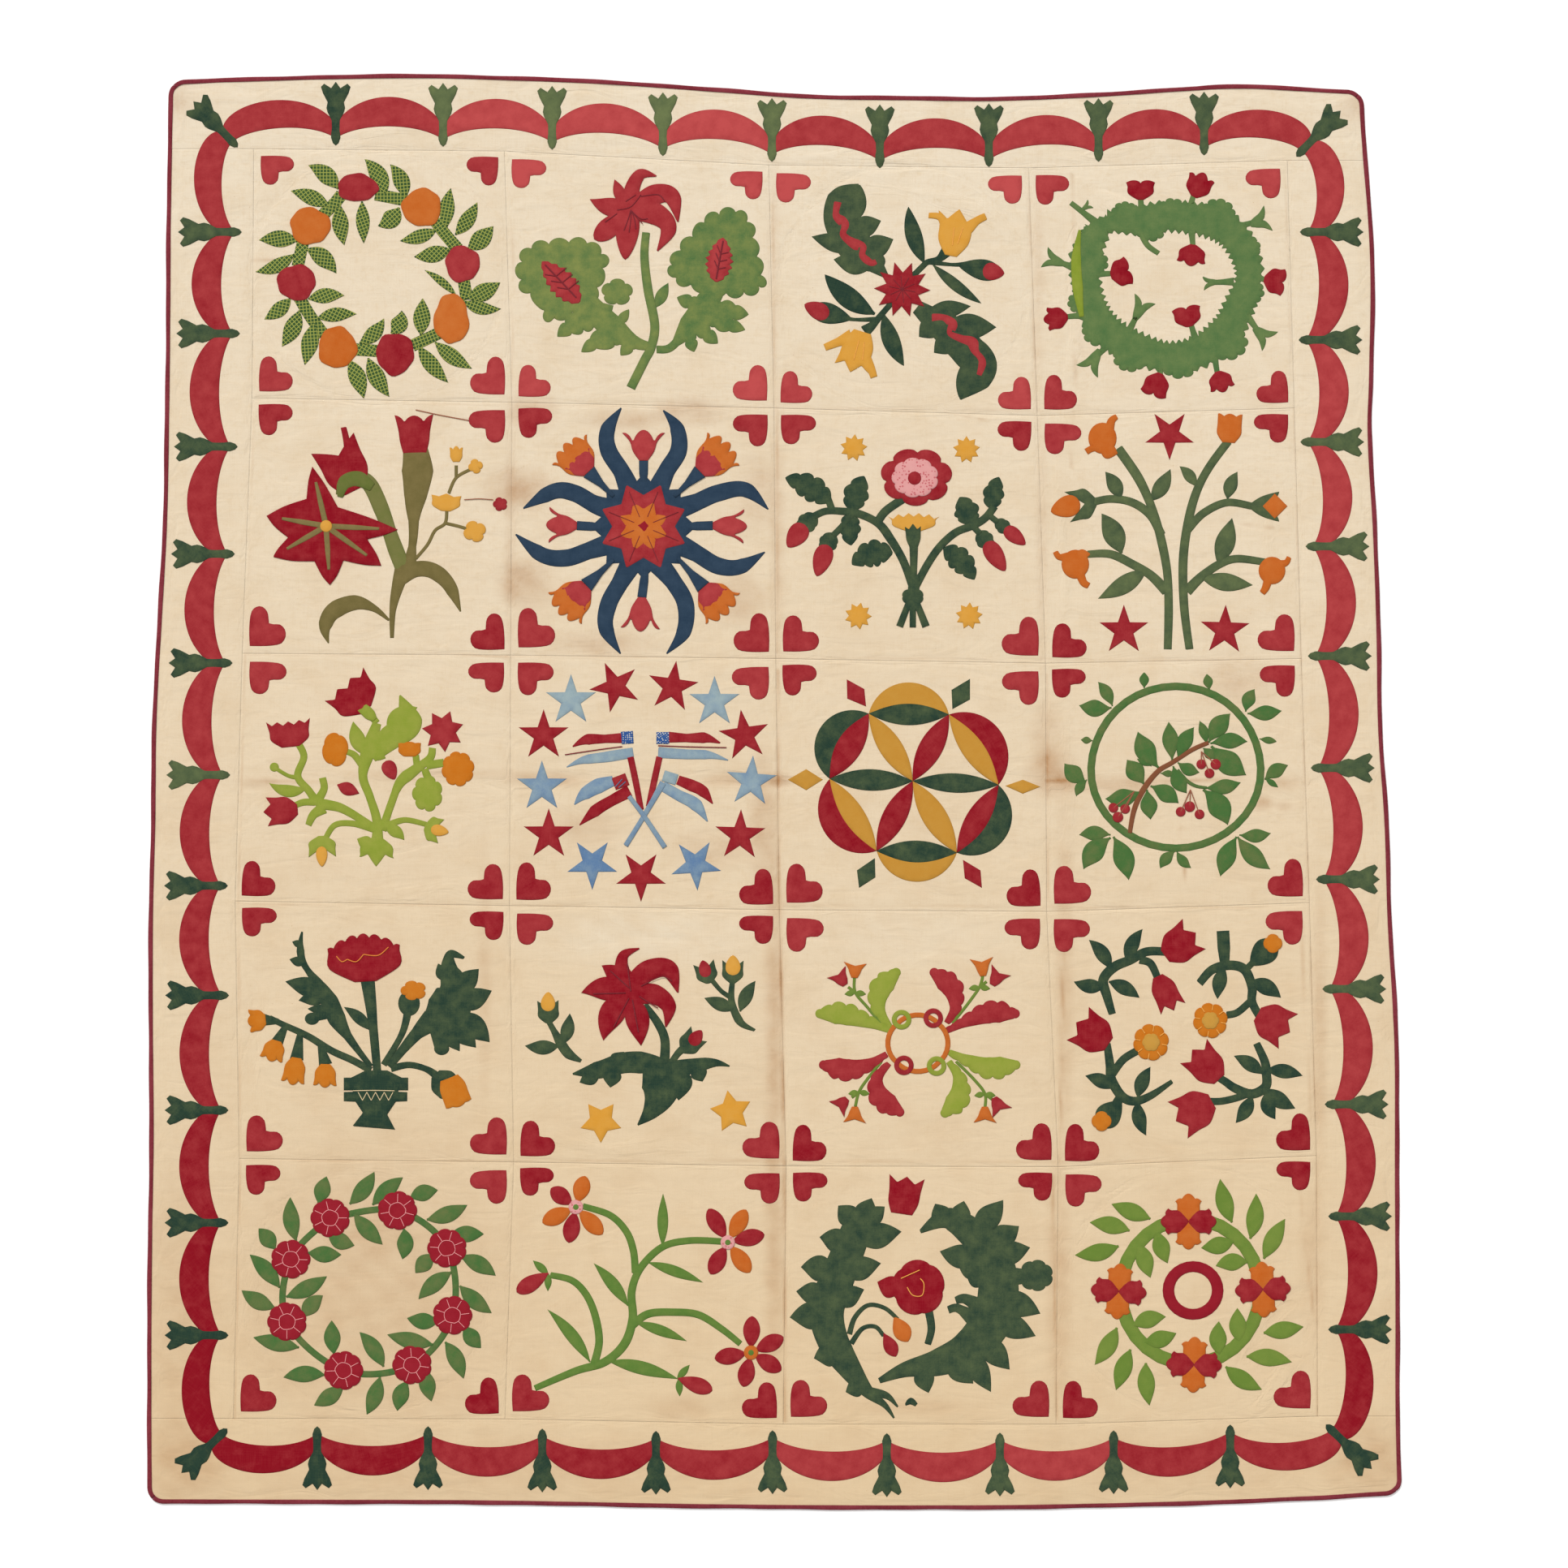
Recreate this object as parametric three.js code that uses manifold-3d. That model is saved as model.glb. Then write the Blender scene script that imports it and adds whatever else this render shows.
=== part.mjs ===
// An album quilt laid flat: twenty sewn blocks in four columns and five rows, a wide border with a garland of
// swags and tulips, and a narrow binding round the edge.
// Millimetres. +X is to the quilt's right, +Y to its top edge and +Z up from the surface it lies on.
// The origin is the middle of the outline, on that surface.

import * as THREE from "three";
import { mergeVertices } from "three/addons/utils/BufferGeometryUtils.js";
import Module from "manifold-3d";

const wasm = await Module();
wasm.setup();

// Heights above the surface
const BORDER_LEVEL = 4.0; // the border between its quilting lines
const BLOCK_CROWN = 0.7; // how far a block's middle stands over the border
const SEAM_DEPTH = 0.7; // the trough along the seams between blocks
const EDGE_DROP = 0.7; // how far the cloth is pressed down beside the binding
const WAVE_DEPTH = 0.35; // the border's slack, always below its level
const GARLAND_FLOOR = 4.45;
const GARLAND_THICKNESS = 0.8;

// Widths
const SEAM_REACH = 9; // half the width of a seam's trough
const EDGE_REACH = 26; // how far in from the binding the cloth is pressed down
const BINDING_GAP = 0.3;
const BINDING_WIDTH = 6.0;
const RIM_INSET = BINDING_GAP + BINDING_WIDTH;
const CORNER_RADIUS = 22;
const MITRE_BACK = 0.22; // each binding strip stops this far from the corner's mitre

// The wavy outline: height of the top and bottom edges at places across
const TOP_EDGE = [
  { x: -1044, y: 1227 },
  { x: -950, y: 1231 },
  { x: -780, y: 1236 },
  { x: -600, y: 1238 },
  { x: -445, y: 1234 },
  { x: -280, y: 1227 },
  { x: -110, y: 1215 },
  { x: 60, y: 1203 },
  { x: 230, y: 1200 },
  { x: 390, y: 1199 },
  { x: 560, y: 1206 },
  { x: 730, y: 1217 },
  { x: 815, y: 1220 },
  { x: 900, y: 1216 },
  { x: 1016, y: 1210 },
];
const BOTTOM_EDGE = [
  { x: -1081, y: -1228 },
  { x: -900, y: -1228.5 },
  { x: -650, y: -1229 },
  { x: -480, y: -1230 },
  { x: -310, y: -1233 },
  { x: -145, y: -1236 },
  { x: 60, y: -1238 },
  { x: 270, y: -1238.5 },
  { x: 440, y: -1237.5 },
  { x: 610, y: -1234 },
  { x: 780, y: -1229 },
  { x: 945, y: -1221.5 },
  { x: 1082, y: -1213 },
];

// How far out the left and right edges lie at places down the quilt
const LEFT_EDGE = [
  { y: -1229, x: -1081 },
  { y: -1050, x: -1082 },
  { y: -800, x: -1081 },
  { y: -590, x: -1078 },
  { y: -380, x: -1079.5 },
  { y: -210, x: -1079 },
  { y: -40, x: -1075 },
  { y: 125, x: -1073 },
  { y: 295, x: -1064 },
  { y: 460, x: -1055 },
  { y: 630, x: -1051.5 },
  { y: 800, x: -1049.5 },
  { y: 970, x: -1048.5 },
  { y: 1135, x: -1046 },
  { y: 1227, x: -1044 },
];
const RIGHT_EDGE = [
  { y: -1213, x: 1082 },
  { y: -1060, x: 1079 },
  { y: -900, x: 1079 },
  { y: -640, x: 1078 },
  { y: -480, x: 1078 },
  { y: -390, x: 1075 },
  { y: -225, x: 1065.5 },
  { y: -55, x: 1060 },
  { y: 110, x: 1049 },
  { y: 280, x: 1046 },
  { y: 450, x: 1040 },
  { y: 615, x: 1031 },
  { y: 700, x: 1033 },
  { y: 870, x: 1036 },
  { y: 980, x: 1032 },
  { y: 1120, x: 1021 },
  { y: 1210, x: 1016 },
];

// Where the seams cross: a row for each seam across, from the top, with x and y at each seam down
const SEAM_CROSSINGS = [
  { x: [-897, -465, -9, 439, 885], y: [1108, 1104, 1080, 1075, 1088] },
  { x: [-900, -452, 0, 454, 897], y: [678, 671, 661, 648, 661] },
  { x: [-917, -454, 3, 468, 909], y: [238, 235, 229, 221, 229] },
  { x: [-929, -456, 9, 470, 923], y: [-189, -197, -204, -207, -192] },
  { x: [-922, -449, 21, 490, 935], y: [-633, -639, -646, -647, -628] },
  { x: [-932, -464, 16, 486, 937], y: [-1081, -1082, -1091, -1091, -1077] },
];

// Soft creases and ripples in the blocks: a line from one end to the other, its half width and its height
const CREASES = [
  { name: "fold across the middle", from: [-925, 18], to: [920, 20], reach: 26, rise: -0.5 },
  { name: "fold by the right seam", from: [522, 1070], to: [510, 650], reach: 24, rise: 0.5 },
  { name: "pucker under the top border", from: [540, 1040], to: [672, 940], reach: 30, rise: 0.7 },
  { name: "ripple in the first block", from: [-880, 760], to: [-760, 700], reach: 26, rise: 0.4 },
  { name: "ripple above the third block", from: [250, 1040], to: [420, 960], reach: 28, rise: 0.5 },
  { name: "long ripple at lower right", from: [815, -1075], to: [925, -960], reach: 26, rise: 0.7 },
  { name: "short ripple at lower right", from: [790, -1000], to: [920, -850], reach: 24, rise: -0.4 },
  { name: "ripple at lower left", from: [-910, -760], to: [-880, -1020], reach: 26, rise: 0.5 },
  { name: "ripple by the left seam", from: [-905, -300], to: [-890, -560], reach: 24, rise: -0.4 },
  { name: "ripple under the fourth row", from: [-420, -600], to: [-80, -625], reach: 24, rise: 0.4 },
];

// The garland: where each tulip stands along its side and where its stem ends, from left or from the top
const TOP_TULIPS = [
  { at: -756, tip: 1114 },
  { at: -571, tip: 1112 },
  { at: -383, tip: 1107 },
  { at: -192, tip: 1096 },
  { at: -4, tip: 1086 },
  { at: 182, tip: 1075 },
  { at: 370, tip: 1077 },
  { at: 559, tip: 1086 },
  { at: 741, tip: 1097 },
];
const BOTTOM_TULIPS = [
  { at: -788, tip: -1094 },
  { at: -597, tip: -1094 },
  { at: -400, tip: -1098 },
  { at: -204, tip: -1102 },
  { at: -3, tip: -1101 },
  { at: 194, tip: -1106 },
  { at: 389, tip: -1105 },
  { at: 585, tip: -1101 },
  { at: 786, tip: -1091 },
];
const LEFT_TULIPS = [
  { at: 965, tip: -918 },
  { at: 790, tip: -921 },
  { at: 595, tip: -925 },
  { at: 410, tip: -930 },
  { at: 222, tip: -934 },
  { at: 29, tip: -938 },
  { at: -162, tip: -942 },
  { at: -351, tip: -940 },
  { at: -549, tip: -941 },
  { at: -743, tip: -941 },
  { at: -937, tip: -941 },
];
const RIGHT_TULIPS = [
  { at: 965, tip: 906 },
  { at: 779, tip: 904 },
  { at: 603, tip: 907 },
  { at: 423, tip: 916 },
  { at: 234, tip: 920 },
  { at: 41, tip: 925 },
  { at: -151, tip: 934 },
  { at: -340, tip: 945 },
  { at: -539, tip: 949 },
  { at: -732, tip: 955 },
  { at: -927, tip: 955 },
];
const CORNER_TULIPS = {
  topLeft: { x: -925, y: 1111, angle: 134 },
  topRight: { x: 900, y: 1095, angle: 46 },
  bottomRight: { x: 951, y: -1091, angle: -44 },
  bottomLeft: { x: -943, y: -1098, angle: -136 },
};

// A tulip from the tip of its stem outwards: its half width at places along it
const TULIP_LENGTH = 110;
const TULIP_PROFILE = [
  { along: 0.04, half: 5 },
  { along: 0.12, half: 8 },
  { along: 0.4, half: 7.5 },
  { along: 0.52, half: 14 },
  { along: 0.59, half: 16 },
  { along: 0.68, half: 14 },
  { along: 0.82, half: 22 },
  { along: 0.92, half: 25.5 },
  { along: 0.97, half: 20 },
];
const TULIP_NOTCH = { along: 0.9, half: 8 };

// A swag between two tulips, measured outwards from the tips of their stems
const SWAG_INNER_END = 12;
const SWAG_OUTER_END = 38;
const SWAG_INNER_BULGE = 22;
const SWAG_OUTER_BULGE = 47;
const SWAG_STEPS = 6;

const MUSLIN = new THREE.MeshStandardMaterial({ color: 0xe3d0ab, roughness: 0.95, metalness: 0 });
const BINDING_RED = new THREE.MeshStandardMaterial({ color: 0x7e2a33, roughness: 0.9, metalness: 0 });
const TURKEY_RED = new THREE.MeshStandardMaterial({ color: 0xa52638, roughness: 0.9, metalness: 0 });

// A smooth value between the rows of an edge table, by the distance along it.
function edgeValue(table, along, across, place) {
  const last = table.length - 2;
  const found = table.findIndex((row) => row[along] > place) - 1;
  const i = found < 0 ? (place < table[0][along] ? 0 : last) : found;
  const pick = (k) => table[THREE.MathUtils.clamp(k, 0, last + 1)];
  const span = pick(i + 1)[along] - pick(i)[along];
  const u = THREE.MathUtils.clamp((place - pick(i)[along]) / span, 0, 1);
  const [a, b, c, d] = [pick(i - 1), pick(i), pick(i + 1), pick(i + 2)].map((row) => row[across]);
  const slopes = 3 * (b - c) + d - a;
  return b + 0.5 * u * (c - a + u * (2 * a - 5 * b + 4 * c - d + u * slopes));
}

const topY = (x) => edgeValue(TOP_EDGE, "x", "y", x) - RIM_INSET;
const bottomY = (x) => edgeValue(BOTTOM_EDGE, "x", "y", x) + RIM_INSET;
const leftX = (y) => edgeValue(LEFT_EDGE, "y", "x", y) + RIM_INSET;
const rightX = (y) => edgeValue(RIGHT_EDGE, "y", "x", y) - RIM_INSET;

// A value along a seam at a place counted in seams.
function alongSeam(values, seam) {
  const i = THREE.MathUtils.clamp(Math.floor(seam), 0, values.length - 2);
  return THREE.MathUtils.lerp(values[i], values[i + 1], seam - i);
}

const COLUMNS = SEAM_CROSSINGS[0].x.length - 1;
const ROWS = SEAM_CROSSINGS.length - 1;

// A point of the patchwork, counted in seams from its upper left corner.
function fieldPoint(s, t) {
  const i = THREE.MathUtils.clamp(Math.floor(t), 0, ROWS - 1);
  const [upper, lower] = [SEAM_CROSSINGS[i], SEAM_CROSSINGS[i + 1]];
  const x = THREE.MathUtils.lerp(alongSeam(upper.x, s), alongSeam(lower.x, s), t - i);
  const y = THREE.MathUtils.lerp(alongSeam(upper.y, s), alongSeam(lower.y, s), t - i);
  return new THREE.Vector2(x, y);
}

// Stations across a border, from the rim to the seam: first round the corner, then evenly.
const CORNER_TURNS = [45, 62, 78, 90].map(THREE.MathUtils.degToRad);
const BORDER_SHARES = [0.3, 0.6, 0.84];
const BLOCK_SHARES = [0, 0.028, 0.17, 0.33, 0.5, 0.67, 0.83, 0.972];

// The places of one edge's points between two corners, as distances along it.
function sidePlaces(start, end, firstSeam, lastSeam, seamPlace, blocks) {
  const direction = Math.sign(end - start);
  const turns = CORNER_TURNS.map((turn) => ({ out: CORNER_RADIUS * (1 - Math.cos(turn)), turn }));
  const rounded = turns.map(({ out, turn }) => ({ out, drop: CORNER_RADIUS * (1 - Math.sin(turn)) }));
  const first = rounded.map(({ out, drop }) => ({ place: start + direction * out, drop }));
  const last = rounded.map(({ out, drop }) => ({ place: end - direction * out, drop })).reverse();
  const near = first[first.length - 1].place;
  const far = last[0].place;
  const ease = (from, to) => BORDER_SHARES.map((u) => ({ place: THREE.MathUtils.lerp(from, to, u), drop: 0 }));
  const middle = [];
  for (let block = 0; block < blocks; block++)
    for (const share of BLOCK_SHARES) middle.push({ place: seamPlace(block + share), drop: 0 });
  middle.push({ place: seamPlace(blocks), drop: 0 });
  return [...first, ...ease(near, firstSeam), ...middle, ...ease(far, lastSeam).reverse(), ...last];
}

const rowX = (row) => (s) => alongSeam(SEAM_CROSSINGS[row].x, s);
const columnY = (column) => (t) =>
  alongSeam(
    SEAM_CROSSINGS.map((seam) => seam.y[column]),
    t,
  );

function rimPoints() {
  const corner = {
    topLeft: new THREE.Vector2(leftX(1220), topY(-1040)),
    topRight: new THREE.Vector2(rightX(1204), topY(1010)),
    bottomLeft: new THREE.Vector2(leftX(-1222), bottomY(-1075)),
    bottomRight: new THREE.Vector2(rightX(-1207), bottomY(1075)),
  };
  const across = (a, b, row, edge, sign) =>
    sidePlaces(a.x, b.x, rowX(row)(0), rowX(row)(COLUMNS), rowX(row), COLUMNS).map(
      ({ place, drop }) => new THREE.Vector2(place, edge(place) - sign * drop),
    );
  const down = (a, b, column, edge, sign) =>
    sidePlaces(a.y, b.y, columnY(column)(0), columnY(column)(ROWS), columnY(column), ROWS).map(
      ({ place, drop }) => new THREE.Vector2(edge(place) - sign * drop, place),
    );
  const sides = {
    top: across(corner.topLeft, corner.topRight, 0, topY, 1),
    bottom: across(corner.bottomLeft, corner.bottomRight, ROWS, bottomY, -1),
    left: down(corner.topLeft, corner.bottomLeft, 0, leftX, -1),
    right: down(corner.topRight, corner.bottomRight, COLUMNS, rightX, 1),
  };
  sides.left[0].copy(sides.top[0]);
  sides.left.at(-1).copy(sides.bottom[0]);
  sides.right[0].copy(sides.top.at(-1));
  sides.right.at(-1).copy(sides.bottom.at(-1));
  return sides;
}

const RIM = rimPoints();
const BORDER_STEPS = CORNER_TURNS.length + BORDER_SHARES.length;

// A point of the body's grid: the patchwork inside, and the border as a patch between seams and rim.
function gridPoint(i, j) {
  const lastI = RIM.top.length - 1;
  const lastJ = RIM.left.length - 1;
  const s = seamCount(i, lastI, COLUMNS);
  const t = seamCount(j, lastJ, ROWS);
  const u = borderShare(i, lastI);
  const v = borderShare(j, lastJ);
  if (u === null && v === null) return fieldPoint(s, t);
  const [rimI, rimJ] = [i < lastI / 2 ? RIM.left : RIM.right, j < lastJ / 2 ? RIM.top : RIM.bottom];
  if (v === null) return rimJ0(rimI[j], fieldPoint(s, t), u);
  if (u === null) return rimJ0(rimJ[i], fieldPoint(s, t), v);
  const inner = fieldPoint(s, t);
  const cornerPoint = rimJ[i < lastI / 2 ? 0 : lastI];
  const sideEnd = rimI[j < lastJ / 2 ? BORDER_STEPS : lastJ - BORDER_STEPS];
  const crossEnd = rimJ[i < lastI / 2 ? BORDER_STEPS : lastI - BORDER_STEPS];
  const fromRim = rimJ[i].clone().lerp(sideEnd.clone().lerp(inner, u), v);
  const fromSide = rimI[j].clone().lerp(crossEnd.clone().lerp(inner, v), u);
  const mean = cornerPoint.clone().lerp(sideEnd, v).lerp(crossEnd.clone().lerp(inner, v), u);
  return fromRim.add(fromSide).sub(mean);
}

const rimJ0 = (rim, inner, share) => rim.clone().lerp(inner, share);

// A grid line's place in seams, held at the outermost seam in the border.
function seamCount(index, last, blocks) {
  const inside = THREE.MathUtils.clamp(index - BORDER_STEPS, 0, last - 2 * BORDER_STEPS);
  const block = Math.min(Math.floor(inside / BLOCK_SHARES.length), blocks);
  return block + (block === blocks ? 0 : BLOCK_SHARES[inside % BLOCK_SHARES.length]);
}

// A grid line's share of the way from the rim to the seam, or null inside the patchwork.
function borderShare(index, last) {
  const fromRim = Math.min(index, last - index);
  if (fromRim >= BORDER_STEPS) return null;
  const shares = [0, 0.03, 0.08, 0.14, ...BORDER_SHARES.map((u) => 0.14 + 0.86 * u)];
  return shares[fromRim];
}

// One where the distance is nothing, falling smoothly to nothing at the reach.
function softly(distance, reach) {
  const share = Math.min(Math.abs(distance) / reach, 1);
  return (1 - share * share) ** 2;
}

function creaseRise(point) {
  let rise = 0;
  for (const crease of CREASES) {
    const start = new THREE.Vector2(...crease.from);
    const line = new THREE.Vector2(...crease.to).sub(start);
    const share = point.clone().sub(start).dot(line) / line.lengthSq();
    const beside = start.clone().addScaledVector(line, share).distanceTo(point);
    rise += crease.rise * softly(beside, crease.reach) * softly(share - 0.5, 0.62);
  }
  return rise;
}

// The height of the body's upper face at a grid point.
function heightAt(i, j, point) {
  const s = seamCount(i, RIM.top.length - 1, COLUMNS);
  const t = seamCount(j, RIM.left.length - 1, ROWS);
  const inBorder = borderShare(i, RIM.top.length - 1) !== null || borderShare(j, RIM.left.length - 1) !== null;
  const slack = WAVE_DEPTH * (0.5 + 0.5 * Math.sin(point.x / 41) * Math.cos(point.y / 37));
  if (inBorder) return BORDER_LEVEL - slack - EDGE_DROP * softly(rimDistance(point), EDGE_REACH);
  const block = { s: s - Math.floor(s), t: t - Math.floor(t) };
  const crown = BLOCK_CROWN * (1 - (2 * block.s - 1) ** 2) * (1 - (2 * block.t - 1) ** 2);
  const aside = Math.min(block.s, 1 - block.s, block.t, 1 - block.t) * 450;
  return BORDER_LEVEL - slack * 0.5 + crown + creaseRise(point) - SEAM_DEPTH * softly(aside, SEAM_REACH);
}

function rimDistance(point) {
  return Math.min(
    topY(point.x) - point.y,
    point.y - bottomY(point.x),
    point.x - leftX(point.y),
    rightX(point.y) - point.x,
  );
}

// A closed mesh from its corner points and the triangles between them.
function closedMesh(points, triangles) {
  const geometry = new THREE.BufferGeometry();
  geometry.setAttribute("position", new THREE.Float32BufferAttribute(points.flat(), 3));
  geometry.setIndex(triangles.flat());
  return geometry;
}

// The body: a rippled upper face, an upright rim and a flat underside.
function bodyGeometry() {
  const [wide, high] = [RIM.top.length, RIM.left.length];
  const points = [];
  const triangles = [];
  const index = (i, j) => j * wide + i;
  for (let j = 0; j < high; j++)
    for (let i = 0; i < wide; i++) {
      const point = gridPoint(i, j);
      points.push([point.x, point.y, heightAt(i, j, point)]);
    }
  for (let j = 0; j + 1 < high; j++)
    for (let i = 0; i + 1 < wide; i++) {
      triangles.push([index(i, j), index(i, j + 1), index(i + 1, j + 1)]);
      triangles.push([index(i, j), index(i + 1, j + 1), index(i + 1, j)]);
    }
  const loop = [];
  for (let j = 0; j + 1 < high; j++) loop.push(index(0, j));
  for (let i = 0; i + 1 < wide; i++) loop.push(index(i, high - 1));
  for (let j = high - 1; j > 0; j--) loop.push(index(wide - 1, j));
  for (let i = wide - 1; i > 0; i--) loop.push(index(i, 0));
  const below = points.length;
  for (const k of loop) points.push([points[k][0], points[k][1], 0]);
  loop.forEach((k, n) => {
    const next = (n + 1) % loop.length;
    triangles.push([k, below + n, below + next]);
    triangles.push([k, below + next, loop[next]]);
  });
  const outline = loop.map((k) => new THREE.Vector2(points[k][0], points[k][1]));
  for (const [a, b, c] of THREE.ShapeUtils.triangulateShape(outline, []))
    triangles.push([below + a, below + c, below + b]);
  return closedMesh(points, triangles);
}

// The binding's section: outwards from the body's edge, and up from the surface.
const BINDING_SECTION = [
  { out: 0, up: 0 },
  { out: 4.9, up: 0 },
  { out: 5.8, up: 0.7 },
  { out: 6.0, up: 1.9 },
  { out: 5.6, up: 3.1 },
  { out: 4.4, up: 3.9 },
  { out: 2.2, up: 4.1 },
  { out: 0, up: 3.5 },
];

// One strip of binding, swept along a side from mitre to mitre.
function bindingGeometry(rim, outward) {
  const points = [];
  const triangles = [];
  const size = BINDING_SECTION.length;
  rim.forEach((point, k) => {
    const before = rim[Math.max(k - 1, 0)];
    const after = rim[Math.min(k + 1, rim.length - 1)];
    const tangent = after.clone().sub(before).normalize();
    const atEnd = k === 0 || k === rim.length - 1;
    const normal = new THREE.Vector2(tangent.y, -tangent.x);
    if (normal.dot(outward) < 0) normal.negate();
    if (atEnd) normal.set(Math.sign(point.x), Math.sign(point.y)).normalize();
    const back = !atEnd ? 0 : k === 0 ? MITRE_BACK : -MITRE_BACK;
    const base = point.clone().addScaledVector(tangent, back);
    for (const { out, up } of BINDING_SECTION) {
      const place = base.clone().addScaledVector(normal, BINDING_GAP + out);
      points.push([place.x, place.y, up]);
    }
  });
  const turned = outward.x * (rim.at(-1).y - rim[0].y) - outward.y * (rim.at(-1).x - rim[0].x) > 0;
  const face = (a, b, c) => triangles.push(turned ? [a, b, c] : [a, c, b]);
  for (let k = 0; k + 1 < rim.length; k++)
    for (let n = 0; n < size; n++) {
      const [a, b] = [k * size + n, k * size + ((n + 1) % size)];
      face(a, a + size, b + size);
      face(a, b + size, b);
    }
  const end = (rim.length - 1) * size;
  for (let n = 1; n + 1 < size; n++) {
    face(0, n, n + 1);
    face(end, end + n + 1, end + n);
  }
  return closedMesh(points, triangles);
}

// A flat piece of cloth with a given outline, lying over the border.
function clothPiece(outline) {
  const shape = new THREE.Shape(outline);
  const options = { depth: GARLAND_THICKNESS, bevelEnabled: false, steps: 1 };
  return new THREE.ExtrudeGeometry(shape, options).translate(0, 0, GARLAND_FLOOR);
}

// The outline of a tulip whose stem ends at the given point and which opens in the given direction.
function tulipOutline(tip, angle, wider) {
  const forward = new THREE.Vector2(Math.cos(angle), Math.sin(angle));
  const aside = new THREE.Vector2(-forward.y, forward.x);
  const place = (along, half) =>
    tip
      .clone()
      .addScaledVector(forward, along * TULIP_LENGTH)
      .addScaledVector(aside, half);
  const right = TULIP_PROFILE.map(({ along, half }) => place(along, -half - wider));
  const left = TULIP_PROFILE.map(({ along, half }) => place(along, half + wider)).reverse();
  const { along, half } = TULIP_NOTCH;
  return [place(0, 0), ...right, place(along, -half), place(1, 0), place(along, half), ...left];
}

// The outline of a swag between two stem tips, bulging outwards like a shallow arc.
function swagOutline(first, second, outFirst, outSecond) {
  const rows = (end, bulge) => {
    const points = [];
    for (let k = 0; k <= SWAG_STEPS; k++) {
      const share = k / SWAG_STEPS;
      const arch = Math.sqrt(1.3 - (2 * share - 1) ** 2) - Math.sqrt(0.3);
      const out = end + (bulge * arch) / (Math.sqrt(1.3) - Math.sqrt(0.3));
      const direction = outFirst.clone().lerp(outSecond, share).normalize();
      points.push(first.clone().lerp(second, share).addScaledVector(direction, out));
    }
    return points;
  };
  return [...rows(SWAG_INNER_END, SWAG_INNER_BULGE), ...rows(SWAG_OUTER_END, SWAG_OUTER_BULGE).reverse()];
}

// A geometry as a solid that can be joined and cut.
function solidOf(geometry) {
  const bare = geometry.clone();
  bare.deleteAttribute("normal");
  bare.deleteAttribute("uv");
  const merged = mergeVertices(bare, 1e-4);
  const mesh = new wasm.Mesh({
    numProp: 3,
    vertProperties: merged.attributes.position.array,
    triVerts: new Uint32Array(merged.index.array),
  });
  return new wasm.Manifold(mesh);
}

function geometryOf(solid) {
  const { vertProperties, triVerts } = solid.getMesh();
  const geometry = new THREE.BufferGeometry();
  geometry.setAttribute("position", new THREE.BufferAttribute(vertProperties, 3));
  geometry.setIndex(new THREE.BufferAttribute(triVerts, 1));
  return geometry;
}

const direction = (degrees) => {
  const angle = THREE.MathUtils.degToRad(degrees);
  return new THREE.Vector2(Math.cos(angle), Math.sin(angle));
};

// The tulips of one side as stem tips and directions, with the corner tulips at both ends.
function standing(table, angle, place, firstCorner, lastCorner) {
  const corner = ({ x, y, angle: turn }) => ({ tip: new THREE.Vector2(x, y), angle: turn, isCorner: true });
  const inner = table.map((row) => ({ tip: place(row), angle, isCorner: false }));
  return [corner(firstCorner), ...inner, corner(lastCorner)];
}

// One side's garland: its swags joined to its tulips, with or without the corner tulips.
function garland(tulips, keepsCorners) {
  const piece = ({ tip, angle }, wider) =>
    solidOf(clothPiece(tulipOutline(tip, THREE.MathUtils.degToRad(angle), wider)));
  let whole = null;
  tulips.forEach((tulip, k) => {
    if (k + 1 < tulips.length) {
      const next = tulips[k + 1];
      const outline = swagOutline(tulip.tip, next.tip, direction(tulip.angle), direction(next.angle));
      const isClockwise = THREE.ShapeUtils.isClockWise(outline);
      const swag = solidOf(clothPiece(isClockwise ? outline.reverse() : outline));
      whole = whole ? whole.add(swag) : swag;
    }
    if (!tulip.isCorner || keepsCorners) whole = whole.add(piece(tulip, 0));
  });
  if (!keepsCorners)
    for (const tulip of tulips.filter(({ isCorner }) => isCorner)) whole = whole.subtract(piece(tulip, 0.4));
  return geometryOf(whole);
}

const { topLeft, topRight, bottomRight, bottomLeft } = CORNER_TULIPS;
const acrossTip = ({ at, tip }) => new THREE.Vector2(at, tip);
const downTip = ({ at, tip }) => new THREE.Vector2(tip, at);

const PIECES = [
  { name: "quilt_body", material: MUSLIN, geometry: bodyGeometry() },
  { name: "binding_top", material: BINDING_RED, geometry: bindingGeometry(RIM.top, direction(90)) },
  { name: "binding_right", material: BINDING_RED, geometry: bindingGeometry(RIM.right, direction(0)) },
  { name: "binding_bottom", material: BINDING_RED, geometry: bindingGeometry(RIM.bottom, direction(-90)) },
  { name: "binding_left", material: BINDING_RED, geometry: bindingGeometry(RIM.left, direction(180)) },
  {
    name: "garland_top",
    material: TURKEY_RED,
    geometry: garland(standing(TOP_TULIPS, 90, acrossTip, topLeft, topRight), true),
  },
  {
    name: "garland_right",
    material: TURKEY_RED,
    geometry: garland(standing(RIGHT_TULIPS, 0, downTip, topRight, bottomRight), false),
  },
  {
    name: "garland_bottom",
    material: TURKEY_RED,
    geometry: garland(standing(BOTTOM_TULIPS, -90, acrossTip, bottomLeft, bottomRight), true),
  },
  {
    name: "garland_left",
    material: TURKEY_RED,
    geometry: garland(standing(LEFT_TULIPS, 180, downTip, topLeft, bottomLeft), false),
  },
];

const quilt = new THREE.Group();
for (const { name, material, geometry } of PIECES) {
  const mesh = new THREE.Mesh(geometry, material);
  mesh.name = name;
  quilt.add(mesh);
}

export default quilt;
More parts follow.
